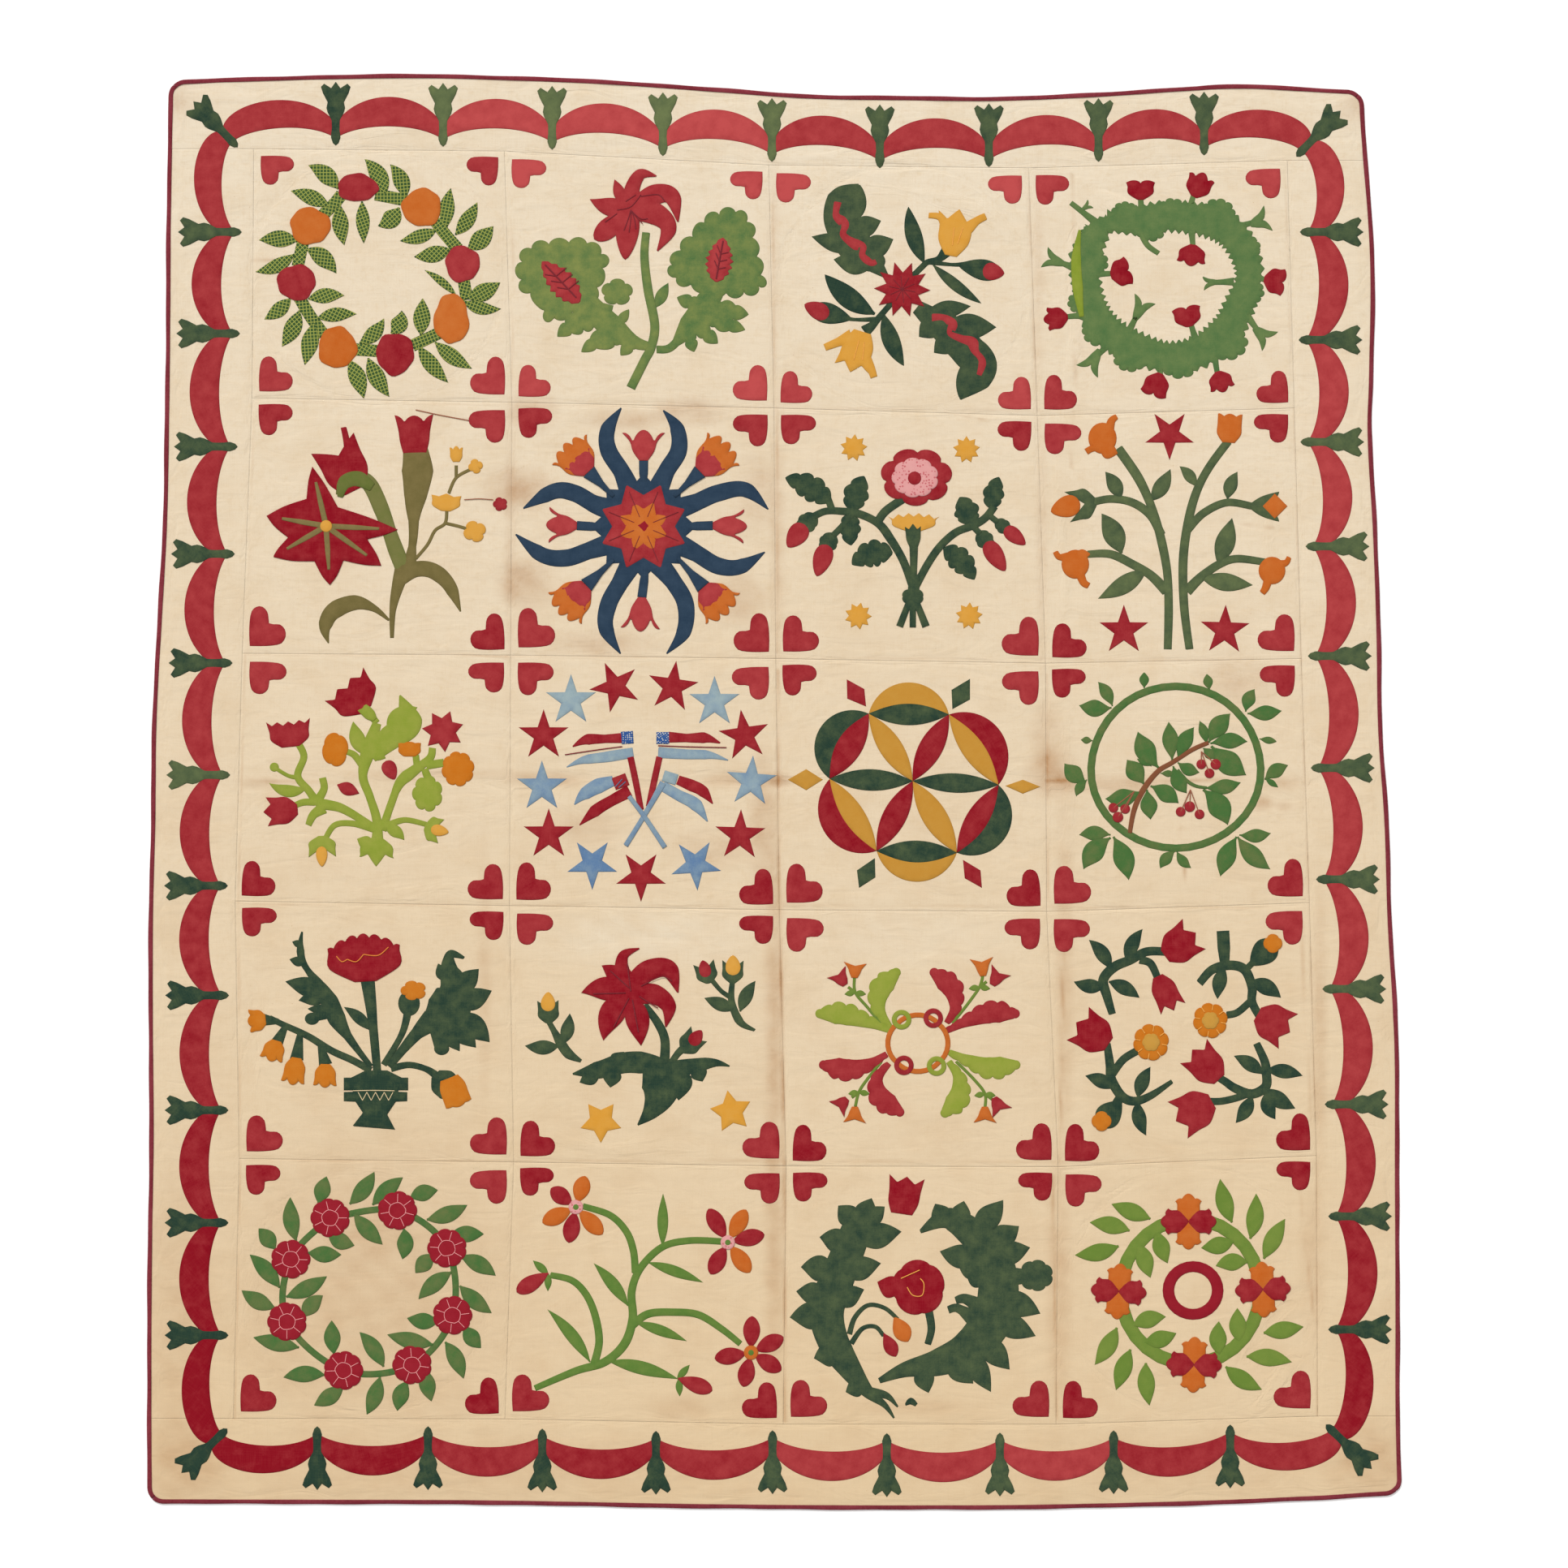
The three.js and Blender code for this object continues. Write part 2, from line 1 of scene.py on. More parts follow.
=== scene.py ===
"""An album quilt laid flat: twenty sewn blocks with appliqued flowers, wreaths, stars and hearts,
a border with a garland of swags and tulips, and a narrow binding. The tables of the whole quilt are in mm,
and those of a block's design are in squares of its chart."""

import math

import bpy
import numpy as np
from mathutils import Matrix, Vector
from mathutils.geometry import delaunay_2d_cdt


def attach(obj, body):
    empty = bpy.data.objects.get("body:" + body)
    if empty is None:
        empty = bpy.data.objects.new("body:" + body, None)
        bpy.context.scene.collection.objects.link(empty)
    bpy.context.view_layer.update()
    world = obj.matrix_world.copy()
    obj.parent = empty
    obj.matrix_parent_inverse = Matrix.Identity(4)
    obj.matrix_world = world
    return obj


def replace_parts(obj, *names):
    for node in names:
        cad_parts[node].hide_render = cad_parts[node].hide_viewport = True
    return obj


bl_info = {
    "name": "Album Quilt",
    "version": (1, 0, 0),
    "blender": (4, 5, 0),
    "location": "View3D > Sidebar > Quilt",
    "description": "Sews an album quilt from its ground, its garland, its hearts and twenty block designs",
    "category": "Object",
}

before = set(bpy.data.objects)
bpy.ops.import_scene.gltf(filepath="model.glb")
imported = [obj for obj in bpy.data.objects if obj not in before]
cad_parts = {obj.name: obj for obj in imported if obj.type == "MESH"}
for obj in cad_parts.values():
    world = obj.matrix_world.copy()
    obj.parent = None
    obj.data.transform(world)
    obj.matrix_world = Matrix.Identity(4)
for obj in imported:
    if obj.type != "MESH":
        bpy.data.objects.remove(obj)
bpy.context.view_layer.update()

MM = 0.001
BODY = "root"
BODY_NODE = "quilt_body"
BINDING_NODES = ("binding_top", "binding_right", "binding_bottom", "binding_left")
GARLAND_NODES = ("garland_top", "garland_right", "garland_bottom", "garland_left")

# Heights over the surface, in mm
BORDER_LEVEL = 4.0
BLOCK_CROWN = 0.7
SEAM_DEPTH = 0.45
EDGE_DROP = 0.7
WAVE_DEPTH = 0.5
BACKING_THICK = 0.35
SEAM_REACH = 9.0
EDGE_REACH = 26.0
# How far in from the outline the ground ends, under the binding
RIM_INSET = 6.3
CORNER_RADIUS = 22.0

# The wavy outline: across and up along the top and bottom, up and across along the sides
TOP_EDGE = [
    (-1044, 1227), (-950, 1231), (-780, 1236), (-600, 1238), (-445, 1234), (-280, 1227), (-110, 1215),
    (60, 1203), (230, 1200), (390, 1199), (560, 1206), (730, 1217), (815, 1220), (900, 1216), (1016, 1210),
]
BOTTOM_EDGE = [
    (-1081, -1228), (-900, -1228.5), (-650, -1229), (-480, -1230), (-310, -1233), (-145, -1236), (60, -1238),
    (270, -1238.5), (440, -1237.5), (610, -1234), (780, -1229), (945, -1221.5), (1082, -1213),
]
LEFT_EDGE = [
    (-1229, -1081), (-1050, -1082), (-800, -1081), (-590, -1078), (-380, -1079.5), (-210, -1079),
    (-40, -1075), (125, -1073), (295, -1064), (460, -1055), (630, -1051.5), (800, -1049.5), (970, -1048.5),
    (1135, -1046), (1227, -1044),
]
RIGHT_EDGE = [
    (-1213, 1082), (-1060, 1079), (-900, 1079), (-640, 1078), (-480, 1078), (-390, 1075), (-225, 1065.5),
    (-55, 1060), (110, 1049), (280, 1046), (450, 1040), (615, 1031), (700, 1033), (870, 1036), (980, 1032),
    (1120, 1021), (1210, 1016),
]

# Where the seams cross, a row for each seam across from the top
SEAM_X = np.array([
    [-897, -465, -9, 439, 885], [-900, -452, 0, 454, 897], [-917, -454, 3, 468, 909],
    [-929, -456, 9, 470, 923], [-922, -449, 21, 490, 935], [-932, -464, 16, 486, 937],
], dtype=float)
SEAM_Y = np.array([
    [1108, 1104, 1080, 1075, 1088], [678, 671, 661, 648, 661], [238, 235, 229, 221, 229],
    [-189, -197, -204, -207, -192], [-633, -639, -646, -647, -628], [-1081, -1082, -1091, -1091, -1077],
], dtype=float)
ROWS = 5
COLUMNS = 4

# Soft creases and puckers: two ends, half the width and the height
CREASES = [
    ((-925, 18), (920, 20), 16, -0.9), ((522, 1070), (510, 650), 14, 1.0),
    ((540, 1040), (672, 940), 22, 1.6), ((-880, 760), (-760, 700), 20, 0.9),
    ((250, 1040), (420, 960), 22, 1.1), ((815, -1075), (925, -960), 20, 1.6),
    ((790, -1000), (920, -850), 18, -1.1), ((-910, -760), (-880, -1020), 20, 1.1),
    ((-905, -300), (-890, -560), 18, -0.9), ((-420, -600), (-80, -625), 18, 0.9),
    ((800, -940), (845, -790), 16, 1.0), ((492, 600), (500, 260), 12, 0.8),
    ((505, 190), (508, -170), 12, 0.8), ((30, 1100), (300, 1085), 12, 0.8),
    ((60, 1050), (250, 1030), 10, 0.6), ((-830, 1060), (-640, 1070), 10, 0.6),
    ((-860, 1130), (-500, 1150), 12, 0.8), ((-300, 1130), (-60, 1112), 12, 0.8),
    ((480, 1095), (700, 1120), 14, 0.9), ((640, 1060), (850, 1070), 10, 0.6),
    ((-1000, 900), (-985, 600), 14, 0.7), ((960, 800), (968, 560), 14, 0.7),
    ((-960, 200), (-975, -60), 14, 0.6), ((-700, 920), (-620, 840), 26, 0.7),
    ((180, 900), (330, 640), 18, 0.5), ((700, -380), (800, -480), 18, 0.6),
    ((-240, 430), (-180, 300), 16, 0.5), ((620, 120), (900, 110), 10, 0.5),
    ((-880, -80), (-600, -95), 10, 0.5), ((560, 980), (600, 700), 16, 0.6),
    ((840, 300), (870, 560), 14, 0.6),
]
# Quilted rings round four of the designs: middle, radius
QUILTED_RINGS = [((-685, 890), 218), ((222, 868), 214), ((-700, -860), 210), ((718, -862), 214)]
QUILT_DEPTH = 0.45

# The garland: place along its side, and where the tulip's stem ends
TOP_TULIPS = [(-756, 1114), (-571, 1112), (-383, 1107), (-192, 1096), (-4, 1086), (182, 1075), (370, 1077),
              (559, 1086), (741, 1097)]
BOTTOM_TULIPS = [(-788, -1094), (-597, -1094), (-400, -1098), (-204, -1102), (-3, -1101), (194, -1106),
                 (389, -1105), (585, -1101), (786, -1091)]
LEFT_TULIPS = [(965, -918), (790, -921), (595, -925), (410, -930), (222, -934), (29, -938), (-162, -942),
               (-351, -940), (-549, -941), (-743, -941), (-937, -941)]
RIGHT_TULIPS = [
    (965, 906), (779, 904), (603, 907), (423, 916), (234, 920), (41, 925), (-151, 934), (-340, 945),
    (-539, 949), (-732, 955), (-927, 955),
]
CORNER_TULIPS = [(-925, 1111, 134), (900, 1095, 46), (951, -1091, -44), (-943, -1098, -136)]
TULIP_LENGTH = 110.0
TULIP_PROFILE = [
    (0.04, 5), (0.12, 8), (0.4, 7.5), (0.52, 14), (0.59, 16), (0.68, 14), (0.82, 22), (0.92, 25.5),
    (0.97, 20),
]
SWAG_INNER_END = 12.0
SWAG_OUTER_END = 38.0
SWAG_INNER_BULGE = 22.0
SWAG_OUTER_BULGE = 47.0
# How far each swag has faded, from 0 for fresh to 1 for pale, in order along its side
TOP_FADES = (0.45, 0.5, 0.85, 0.85, 0.9, 0.5, 0.5, 0.6, 0.55, 0.5)
BOTTOM_FADES = (0.0, 0.1, 0.3, 0.2, 0.3, 0.5, 0.5, 0.6, 0.3, 0.3)
LEFT_FADES = (0.45, 0.35, 0.4, 0.35, 0.4, 0.4, 0.35, 0.3, 0.25, 0.15, 0.05, 0.0)
RIGHT_FADES = (0.6, 0.5, 0.65, 0.65, 0.55, 0.55, 0.55, 0.5, 0.45, 0.35, 0.2, 0.1)
TOP_GREEN_FADES = (0.15, 0.75, 0.75, 0.85, 0.75, 0.4, 0.35, 0.45, 0.4)
BOTTOM_GREEN_FADES = (0.0, 0.1, 0.1, 0.05, 0.25, 0.25, 0.35, 0.2, 0.15)
LEFT_GREEN_FADES = (0.35, 0.25, 0.25, 0.25, 0.2, 0.6, 0.15, 0.1, 0.1, 0.05, 0.0)
RIGHT_GREEN_FADES = (0.3, 0.3, 0.5, 0.5, 0.4, 0.4, 0.4, 0.4, 0.35, 0.25, 0.1)
CORNER_GREEN_FADES = (0.2, 0.3, 0.1, 0.0)

# How the applique stands on the ground, in mm
LAYER_STEP = 0.35
EDGE_STAND = 0.15
EDGE_ROLL = 0.3
ROLL_WIDTH = 1.3
PUFF_REACH = 12.0
OUTLINE_STEP = 2.4
INNER_STEP = 7.0
GROUND_STEP = 6.0


def linear(text):
    """The linear colour of an sRGB hex value."""
    levels = [int(text[k : k + 2], 16) / 255 for k in (1, 3, 5)]
    return tuple(v / 12.92 if v <= 0.04045 else ((v + 0.055) / 1.055) ** 2.4 for v in levels)


def softly(distance, reach):
    """One where the distance is nothing, falling smoothly to nothing at the reach."""
    share = np.clip(np.abs(distance) / reach, 0, 1)
    return (1 - share * share) ** 2


def edge_value(table, place):
    """A smooth value between the rows of an edge table."""
    rows = np.array(table, dtype=float)
    place = np.asarray(place, dtype=float)
    last = len(rows) - 2
    i = np.clip(np.searchsorted(rows[:, 0], place, side="right") - 1, 0, last)
    a, b, c, d = (rows[np.clip(i + k, 0, last + 1), 1] for k in (-1, 0, 1, 2))
    u = np.clip((place - rows[i, 0]) / (rows[i + 1, 0] - rows[i, 0]), 0, 1)
    return b + 0.5 * u * (c - a + u * (2 * a - 5 * b + 4 * c - d + u * (3 * (b - c) + d - a)))


def corner_drop(inwards):
    """How far the rounded corner falls back from the straight edge, this far in from the side."""
    short = np.clip(CORNER_RADIUS - inwards, 0, CORNER_RADIUS)
    return CORNER_RADIUS - np.sqrt(CORNER_RADIUS**2 - short**2)


def left_rim(y):
    return edge_value(LEFT_EDGE, y) + RIM_INSET


def right_rim(y):
    return edge_value(RIGHT_EDGE, y) - RIM_INSET


def top_rim(x):
    nearest = np.minimum(x - left_rim(1215), right_rim(1200) - x)
    return edge_value(TOP_EDGE, x) - RIM_INSET - corner_drop(nearest)


def bottom_rim(x):
    nearest = np.minimum(x - left_rim(-1220), right_rim(-1205) - x)
    return edge_value(BOTTOM_EDGE, x) + RIM_INSET + corner_drop(nearest)


def seam_down(column, y):
    """How far across a seam that runs down lies, at this height."""
    return np.interp(y, SEAM_Y[::-1, column], SEAM_X[::-1, column])


def seam_across(row, x):
    """How high a seam that runs across lies, at this place."""
    return np.interp(x, SEAM_X[row], SEAM_Y[row])


# How far a crease wanders to its sides as a share of its reach, over what length, and how soon its ends fade
CREASE_WANDER = 0.35
CREASE_WAVE = 38
CREASE_FADE = 0.62
QUILTING_HALF = 8


def crease_rise(x, y):
    """The height that creases and quilted rings add, in mm."""
    rise = np.zeros_like(x)
    for start, end, reach, height in CREASES:
        dx, dy = end[0] - start[0], end[1] - start[1]
        length = math.hypot(dx, dy)
        share = ((x - start[0]) * dx + (y - start[1]) * dy) / length**2
        wander = CREASE_WANDER * reach * np.sin(share * length / CREASE_WAVE + start[0])
        beside = ((x - start[0]) * dy - (y - start[1]) * dx) / length + wander
        rise += height * softly(beside, reach) * softly(share - 0.5, CREASE_FADE)
    for (cx, cy), radius in QUILTED_RINGS:
        rise -= QUILT_DEPTH * softly(np.hypot(x - cx, y - cy) - radius, QUILTING_HALF)
    return rise


def slack(x, y):
    """The loose cloth's fine waves: a few crossing ripples of uneven strength."""
    wide = np.sin(x / 41) * np.cos(y / 37)
    fine = np.sin(x / 17 + 1.3 * np.sin(y / 61)) * np.sin(y / 23 + x / 90)
    long = np.sin((x + 0.6 * y) / 29 + 2 * np.sin(y / 140)) * np.sin(x / 160 + 0.5)
    return WAVE_DEPTH * (0.5 + 0.5 * wide) + 0.14 * fine + 0.18 * long


# A usual block's width and height, and how far in from the rim the creases fade
BLOCK_WIDE = 455
BLOCK_HIGH = 435
CREASE_EDGE = 40


def ground_height(x, y):
    """The height of the quilt's upper face, in mm."""
    columns = np.array([seam_down(k, y) for k in range(COLUMNS + 1)])
    rows = np.array([seam_across(k, x) for k in range(ROWS + 1)])
    i = np.clip((x >= columns[1:-1]).sum(axis=0), 0, COLUMNS - 1)
    j = np.clip((y <= rows[1:-1]).sum(axis=0), 0, ROWS - 1)
    every = np.arange(len(x))
    s = (x - columns[i, every]) / (columns[i + 1, every] - columns[i, every])
    t = (y - rows[j, every]) / (rows[j + 1, every] - rows[j, every])
    inside = (s >= 0) & (s <= 1) & (t >= 0) & (t <= 1)
    crown = BLOCK_CROWN * (1 - (2 * np.clip(s, 0, 1) - 1) ** 2) * (1 - (2 * np.clip(t, 0, 1) - 1) ** 2)
    to_seam = np.minimum(np.abs(columns - x).min(axis=0), np.abs(rows - y).min(axis=0))
    aside_by = np.maximum(np.maximum(-s, s - 1), 0) * BLOCK_WIDE
    beyond_by = np.maximum(np.maximum(-t, t - 1), 0) * BLOCK_HIGH
    outside = np.hypot(aside_by, beyond_by)
    seam = SEAM_DEPTH * softly(np.where(inside, to_seam, outside), SEAM_REACH)
    rim = np.minimum(
        np.minimum(top_rim(x) - y, y - bottom_rim(x)), np.minimum(x - left_rim(y), right_rim(y) - x),
    )
    border = BORDER_LEVEL - slack(x, y) - EDGE_DROP * softly(rim, EDGE_REACH)
    block = BORDER_LEVEL - 0.5 * slack(x, y) + crown
    creases = crease_rise(x, y) * softly(np.minimum(rim, 0) + 1, CREASE_EDGE)
    return np.where(inside, block, border) + creases - seam


# Stains and worn places of the ground: middle, half sizes, strength. Minus is paler than the cloth around it
STAINS = [
    ((-420, 655), (40, 30), 0.5), ((-150, 655), (60, 22), 0.45), ((-440, 520), (50, 35), 0.6),
    ((-430, 360), (40, 40), 0.55), ((-30, 520), (30, 60), 0.3), ((-260, 640), (60, 16), 0.4),
    ((-60, 330), (40, 40), 0.4), ((-300, 255), (90, 20), 0.35), ((-390, 20), (60, 12), 0.45),
    ((-60, 20), (60, 12), 0.5), ((-20, -60), (22, 120), 0.45), ((-330, -60), (60, 30), 0.3),
    ((-110, -100), (60, 30), 0.3), ((480, 30), (40, 34), 0.6), ((470, 90), (26, 60), 0.3),
    ((600, 12), (100, 16), 0.4), ((880, 15), (40, 12), 0.3), ((840, -20), (18, 12), 0.5),
    ((880, -25), (14, 8), 0.4), ((10, 20), (22, 12), 0.5), ((-890, 15), (30, 10), 0.35),
    ((-1020, -1160), (70, 60), 0.35), ((1030, -1150), (70, 60), 0.4), ((-1030, 1190), (30, 30), 0.3),
    ((1000, 1180), (30, 30), 0.25), ((0, -700), (16, 300), 0.45), ((0, -300), (16, 200), 0.4),
    ((500, -300), (14, 260), 0.3), ((940, -420), (12, 220), 0.35), ((490, -860), (20, 220), 0.35),
    ((930, -820), (20, 120), 0.25), ((820, 120), (10, 8), -0.3), ((-500, -300), (12, 200), 0.25),
    ((-160, -1060), (60, 20), 0.25), ((-700, -860), (230, 230), 0.27), ((-1030, -900), (50, 260), 0.28),
    ((660, -1160), (300, 50), 0.16), ((-500, -1170), (400, 50), 0.22), ((800, 190), (60, 40), 0.3),
    ((-700, -760), (60, 40), 0.2), ((240, -1060), (90, 14), 0.25),
    ((0, 930), (10, 200), 0.15), ((5, 450), (12, 220), 0.25), ((455, 870), (10, 200), 0.2),
    ((462, 430), (10, 200), 0.2), ((-455, 430), (10, 200), 0.2), ((-560, 30), (200, 8), 0.2),
    ((-230, -250), (170, 50), -0.4), ((230, -250), (170, 50), -0.25),
]
# Brown fold lines and dark threads, and painted shadow along the seams and folds: two ends, half width,
# strength
FOLD_LINES_AND_SEAM_SHADOWS = [
    ((-905, 16), (-620, 20), 3, 0.45), ((468, 18), (905, 20), 3, 0.4), ((5, 660), (5, 240), 4, 0.3),
    ((9, -200), (18, -640), 5, 0.6), ((18, -640), (18, -1085), 5, 0.5), ((6, 210), (8, -190), 5, 0.45),
    ((500, -220), (492, -640), 4, 0.4), ((910, -230), (925, -600), 4, 0.35),
    ((470, 200), (472, -190), 4, 0.3), ((-2, 1070), (0, 670), 4, 0.25), ((438, 1060), (452, 660), 4, 0.25),
    ((-450, 1080), (-452, 690), 3, 0.2), ((513, 1066), (528, 760), 3, 0.4),
    ((520, 760), (513, 560), 3, 0.25), ((900, -640), (930, -900), 4, 0.3),
    ((480, -660), (487, -1080), 4, 0.35), ((-900, 672), (880, 652), 3, 0.12),
    ((-910, 236), (900, 226), 3, 0.15), ((-920, -194), (915, -200), 3, 0.2),
    ((-915, -636), (930, -638), 3, 0.2), ((-895, 670), (-910, 240), 3, 0.2),
    ((-912, 236), (-925, -190), 3, 0.25), ((-925, -192), (-920, -636), 3, 0.3),
    ((-920, -640), (-930, -1080), 3, 0.3), ((880, 1080), (895, 660), 3, 0.15),
    ((895, 660), (908, 230), 3, 0.2), ((908, 228), (922, -190), 3, 0.25),
    ((922, -192), (935, -628), 3, 0.25), ((935, -630), (936, -1076), 3, 0.25),
    ((700, -55), (712, -180), 2.5, 0.5), ((670, -62), (740, -62), 2, 0.3),
    ((-860, 1020), (-905, 990), 2.5, 0.3), ((-905, 915), (-820, 918), 2.5, 0.35),
    ((-905, 690), (-770, 688), 2.5, 0.35), ((290, 655), (370, 640), 2, 0.35),
    ((560, 985), (640, 965), 2, 0.25), ((740, 470), (860, 455), 2.5, 0.3),
    ((-600, 240), (-460, 232), 3, 0.25), ((505, 655), (560, 650), 2, 0.3),
]


# A stain fades out at this many times its half size
STAIN_REACH = 1.6


def ellipse_share(x, y, middle, halves):
    """How much of a round stain lies at a place."""
    return softly(np.hypot((x - middle[0]) / halves[0], (y - middle[1]) / halves[1]), STAIN_REACH)


def line_share(x, y, start, end, half):
    """How much of a fold line, or of a painted seam shadow, lies at a place."""
    dx, dy = end[0] - start[0], end[1] - start[1]
    share = np.clip(((x - start[0]) * dx + (y - start[1]) * dy) / (dx * dx + dy * dy), 0, 1)
    aside = np.hypot(x - start[0] - share * dx, y - start[1] - share * dy)
    return softly(aside, half)


def ground_stain_and_shadow(x, y):
    """How brown the ground is at a place, from its stains and fold lines, with painted shadow along the seams
    and folds.
    """
    uneven = 0.75 + 0.25 * np.sin(x / 13 + np.sin(y / 19)) * np.sin(y / 11 + x / 40)
    stain = sum(strength * ellipse_share(x, y, middle, halves) for middle, halves, strength in STAINS)
    lines = sum(strength * line_share(x, y, a, b, half) for a, b, half, strength in FOLD_LINES_AND_SEAM_SHADOWS)
    return np.clip(stain * uneven + lines * (0.6 + 0.4 * np.sin(x / 37 + y / 29)), -0.4, 1)


def ground_age(x, y):
    """How tan the ground is: pale and pinkish at the top, tan towards the bottom."""
    return np.clip(0.5 - y / 2400 + 0.06 * np.sin(x / 210 + 1) * np.sin(y / 260), 0, 1)


def curve(points, closed=False, step=0.6):
    """A smooth line through the points, with a point about every step."""
    rows = np.array(points, dtype=float)
    if len(rows) == 2 and not closed:
        count = max(int(np.linalg.norm(rows[1] - rows[0]) / step), 1)
        return rows[0] + np.linspace(0, 1, count + 1)[:, None] * (rows[1] - rows[0])
    padded = np.vstack([rows[-1:], rows, rows[:2]]) if closed else np.vstack([rows[:1], rows, rows[-1:]])
    out = []
    for a, b, c, d in zip(padded, padded[1:], padded[2:], padded[3:]):
        count = max(int(np.linalg.norm(c - b) / step), 2)
        u = np.arange(count)[:, None] / count
        out.append(b + 0.5 * u * (c - a + u * (2 * a - 5 * b + 4 * c - d + u * (3 * (b - c) + d - a))))
    if not closed:
        out.append(rows[-1:])
    return np.vstack(out)


def aside(line):
    """The unit normals along a line."""
    slope = np.gradient(line, axis=0)
    slope /= np.maximum(np.linalg.norm(slope, axis=1, keepdims=True), 1e-9)
    return np.column_stack([-slope[:, 1], slope[:, 0]])


def lobed(phase, sharp):
    """The edge between lobes, from 0 in a notch to 1 at a lobe's top."""
    if sharp:
        return 1 - 2 * np.abs(phase % 1 - 0.5)
    return np.abs(np.sin(np.pi * phase)) ** 0.6


def stem(points, widths, lobes=0, depth=0.0, side=0, sharp=False, step=0.6):
    """A strip along a smooth line. Lobes scallop both its edges, or the one on the given side."""
    line = curve(points, step=step)
    gone = np.concatenate([[0], np.cumsum(np.linalg.norm(np.diff(line, axis=0), axis=1))])
    share = gone / gone[-1]
    widths = np.atleast_1d(np.array(widths, dtype=float))
    half = np.interp(share, np.linspace(0, 1, len(widths)), widths) / 2 if len(widths) > 1 else widths[0] / 2
    half = half + np.zeros(len(line))
    cut = 1 - depth * (1 - lobed(share * lobes, sharp)) if lobes else np.ones(len(line))
    shifted = 1 - depth * (1 - lobed(share * lobes + 0.5, sharp)) if lobes else cut
    left = line + aside(line) * (half * (cut if side >= 0 else 1))[:, None]
    right = line - aside(line) * (half * (shifted if side <= 0 else 1))[:, None]
    return np.vstack([left, right[::-1]])


def bladed(base, tip, width, bend, power, blunt, lobes=0, depth=0.0, sharp=False):
    """A blade round a bent spine: the power moves its widest place, and low blunt values round its ends."""
    base, tip = np.array(base, dtype=float), np.array(tip, dtype=float)
    share = np.linspace(0, 1, 41 if lobes else 25)
    across = np.array([base[1] - tip[1], tip[0] - base[0]]) / np.linalg.norm(tip - base)
    spine = base + share[:, None] * (tip - base) + (bend * 4 * share * (1 - share))[:, None] * across
    half = 0.5 * width * np.sin(np.pi * share**power) ** blunt
    half = np.maximum(half, 0.06 * width * (1 - share) ** 2)
    if lobes:
        half = half * (1 - depth * (1 - lobed(share * lobes, sharp)))
    normal = aside(spine)
    return np.vstack([spine + normal * half[:, None], (spine - normal * half[:, None])[::-1]])


def leaf(base, tip, width, bend=0.0):
    """A pointed leaf from its base to its tip."""
    return bladed(base, tip, width, bend, 0.9, 1.0)


def petal(base, tip, width, bend=0.0):
    """A petal or rounded leaf, widest near its round end."""
    return bladed(base, tip, width, bend, 1.4, 0.55)


def bud(base, tip, width, bend=0.0):
    """A closed bud: round below, pointed above."""
    return bladed(base, tip, width, bend, 0.72, 0.62)


def toothed(base, tip, width, lobes, depth=0.3, bend=0.0, sharp=True):
    """A leaf with a toothed or scalloped edge."""
    return bladed(base, tip, width, bend, 0.85, 0.7, lobes, depth, sharp)


def lens(start, end, width):
    """A petal between two points with two even arcs."""
    start, end = np.array(start, dtype=float), np.array(end, dtype=float)
    share = np.linspace(0, 1, 31)
    across = np.array([start[1] - end[1], end[0] - start[0]]) / np.linalg.norm(end - start)
    line = start + share[:, None] * (end - start)
    bulge = (2 * width * share * (1 - share))[:, None] * across
    return np.vstack([line + bulge, (line - bulge)[::-1]])


def bow(start, end, bulge):
    """The piece between a straight chord and a round arc, which bulges to the left of it."""
    start, end = np.array(start, dtype=float), np.array(end, dtype=float)
    span = np.linalg.norm(end - start)
    across = np.array([start[1] - end[1], end[0] - start[0]]) / span
    radius = (0.25 * span**2 + bulge**2) / (2 * abs(bulge))
    reach = math.asin(min(0.5 * span / radius, 1.0))
    angle = np.linspace(-reach, reach, 33)[:, None]
    rise = radius * (np.cos(angle) - math.cos(reach)) * np.sign(bulge)
    return 0.5 * (start + end) + radius * np.sin(angle) * (end - start) / span + rise * across


def disc(middle, across, high=None, lobes=0, depth=0.12, turn=0.0, sharp=False):
    """A round piece by its half sizes, plain or with lobes round its edge."""
    angle = np.linspace(0, 2 * np.pi, max(28, 9 * lobes), endpoint=False)
    reach = 1 - depth * (1 - lobed(lobes * angle / (2 * np.pi), sharp)) if lobes else 1
    turned = angle + math.radians(turn)
    high = across if high is None else high
    return np.column_stack([
        middle[0] + across * reach * np.cos(turned), middle[1] + high * reach * np.sin(turned),
    ])


def uneven_disc(middle, across, high, seed):
    """A round piece cut by hand, with a few soft corners."""
    angle = np.linspace(0, 2 * np.pi, 36, endpoint=False)
    reach = 1 + 0.04 * np.sin(3 * angle + seed) + 0.03 * np.sin(
        5 * angle + 2 * seed
    ) + 0.02 * np.sin(8 * angle)
    return np.column_stack([
        middle[0] + across * reach * np.cos(angle), middle[1] + high * reach * np.sin(angle),
    ])


def star(middle, outer, inner, points, turn=0.0):
    """A star with one point straight up, turned clockwise on the chart by degrees."""
    angle = np.radians(np.arange(2 * points) * 180 / points - 90 + turn)
    reach = np.where(np.arange(2 * points) % 2, inner, outer)
    return np.column_stack([middle[0] + reach * np.cos(angle), middle[1] + reach * np.sin(angle)])


def placed(base, tip, width, outline):
    """An outline in shares of length and half width, put between a base and a tip."""
    base, tip = np.array(base, dtype=float), np.array(tip, dtype=float)
    beside = np.array([base[1] - tip[1], tip[0] - base[0]]) / np.linalg.norm(tip - base)
    outline = np.array(outline, dtype=float)
    return base + outline[:, :1] * (tip - base) + outline[:, 1:] * 0.5 * width * beside


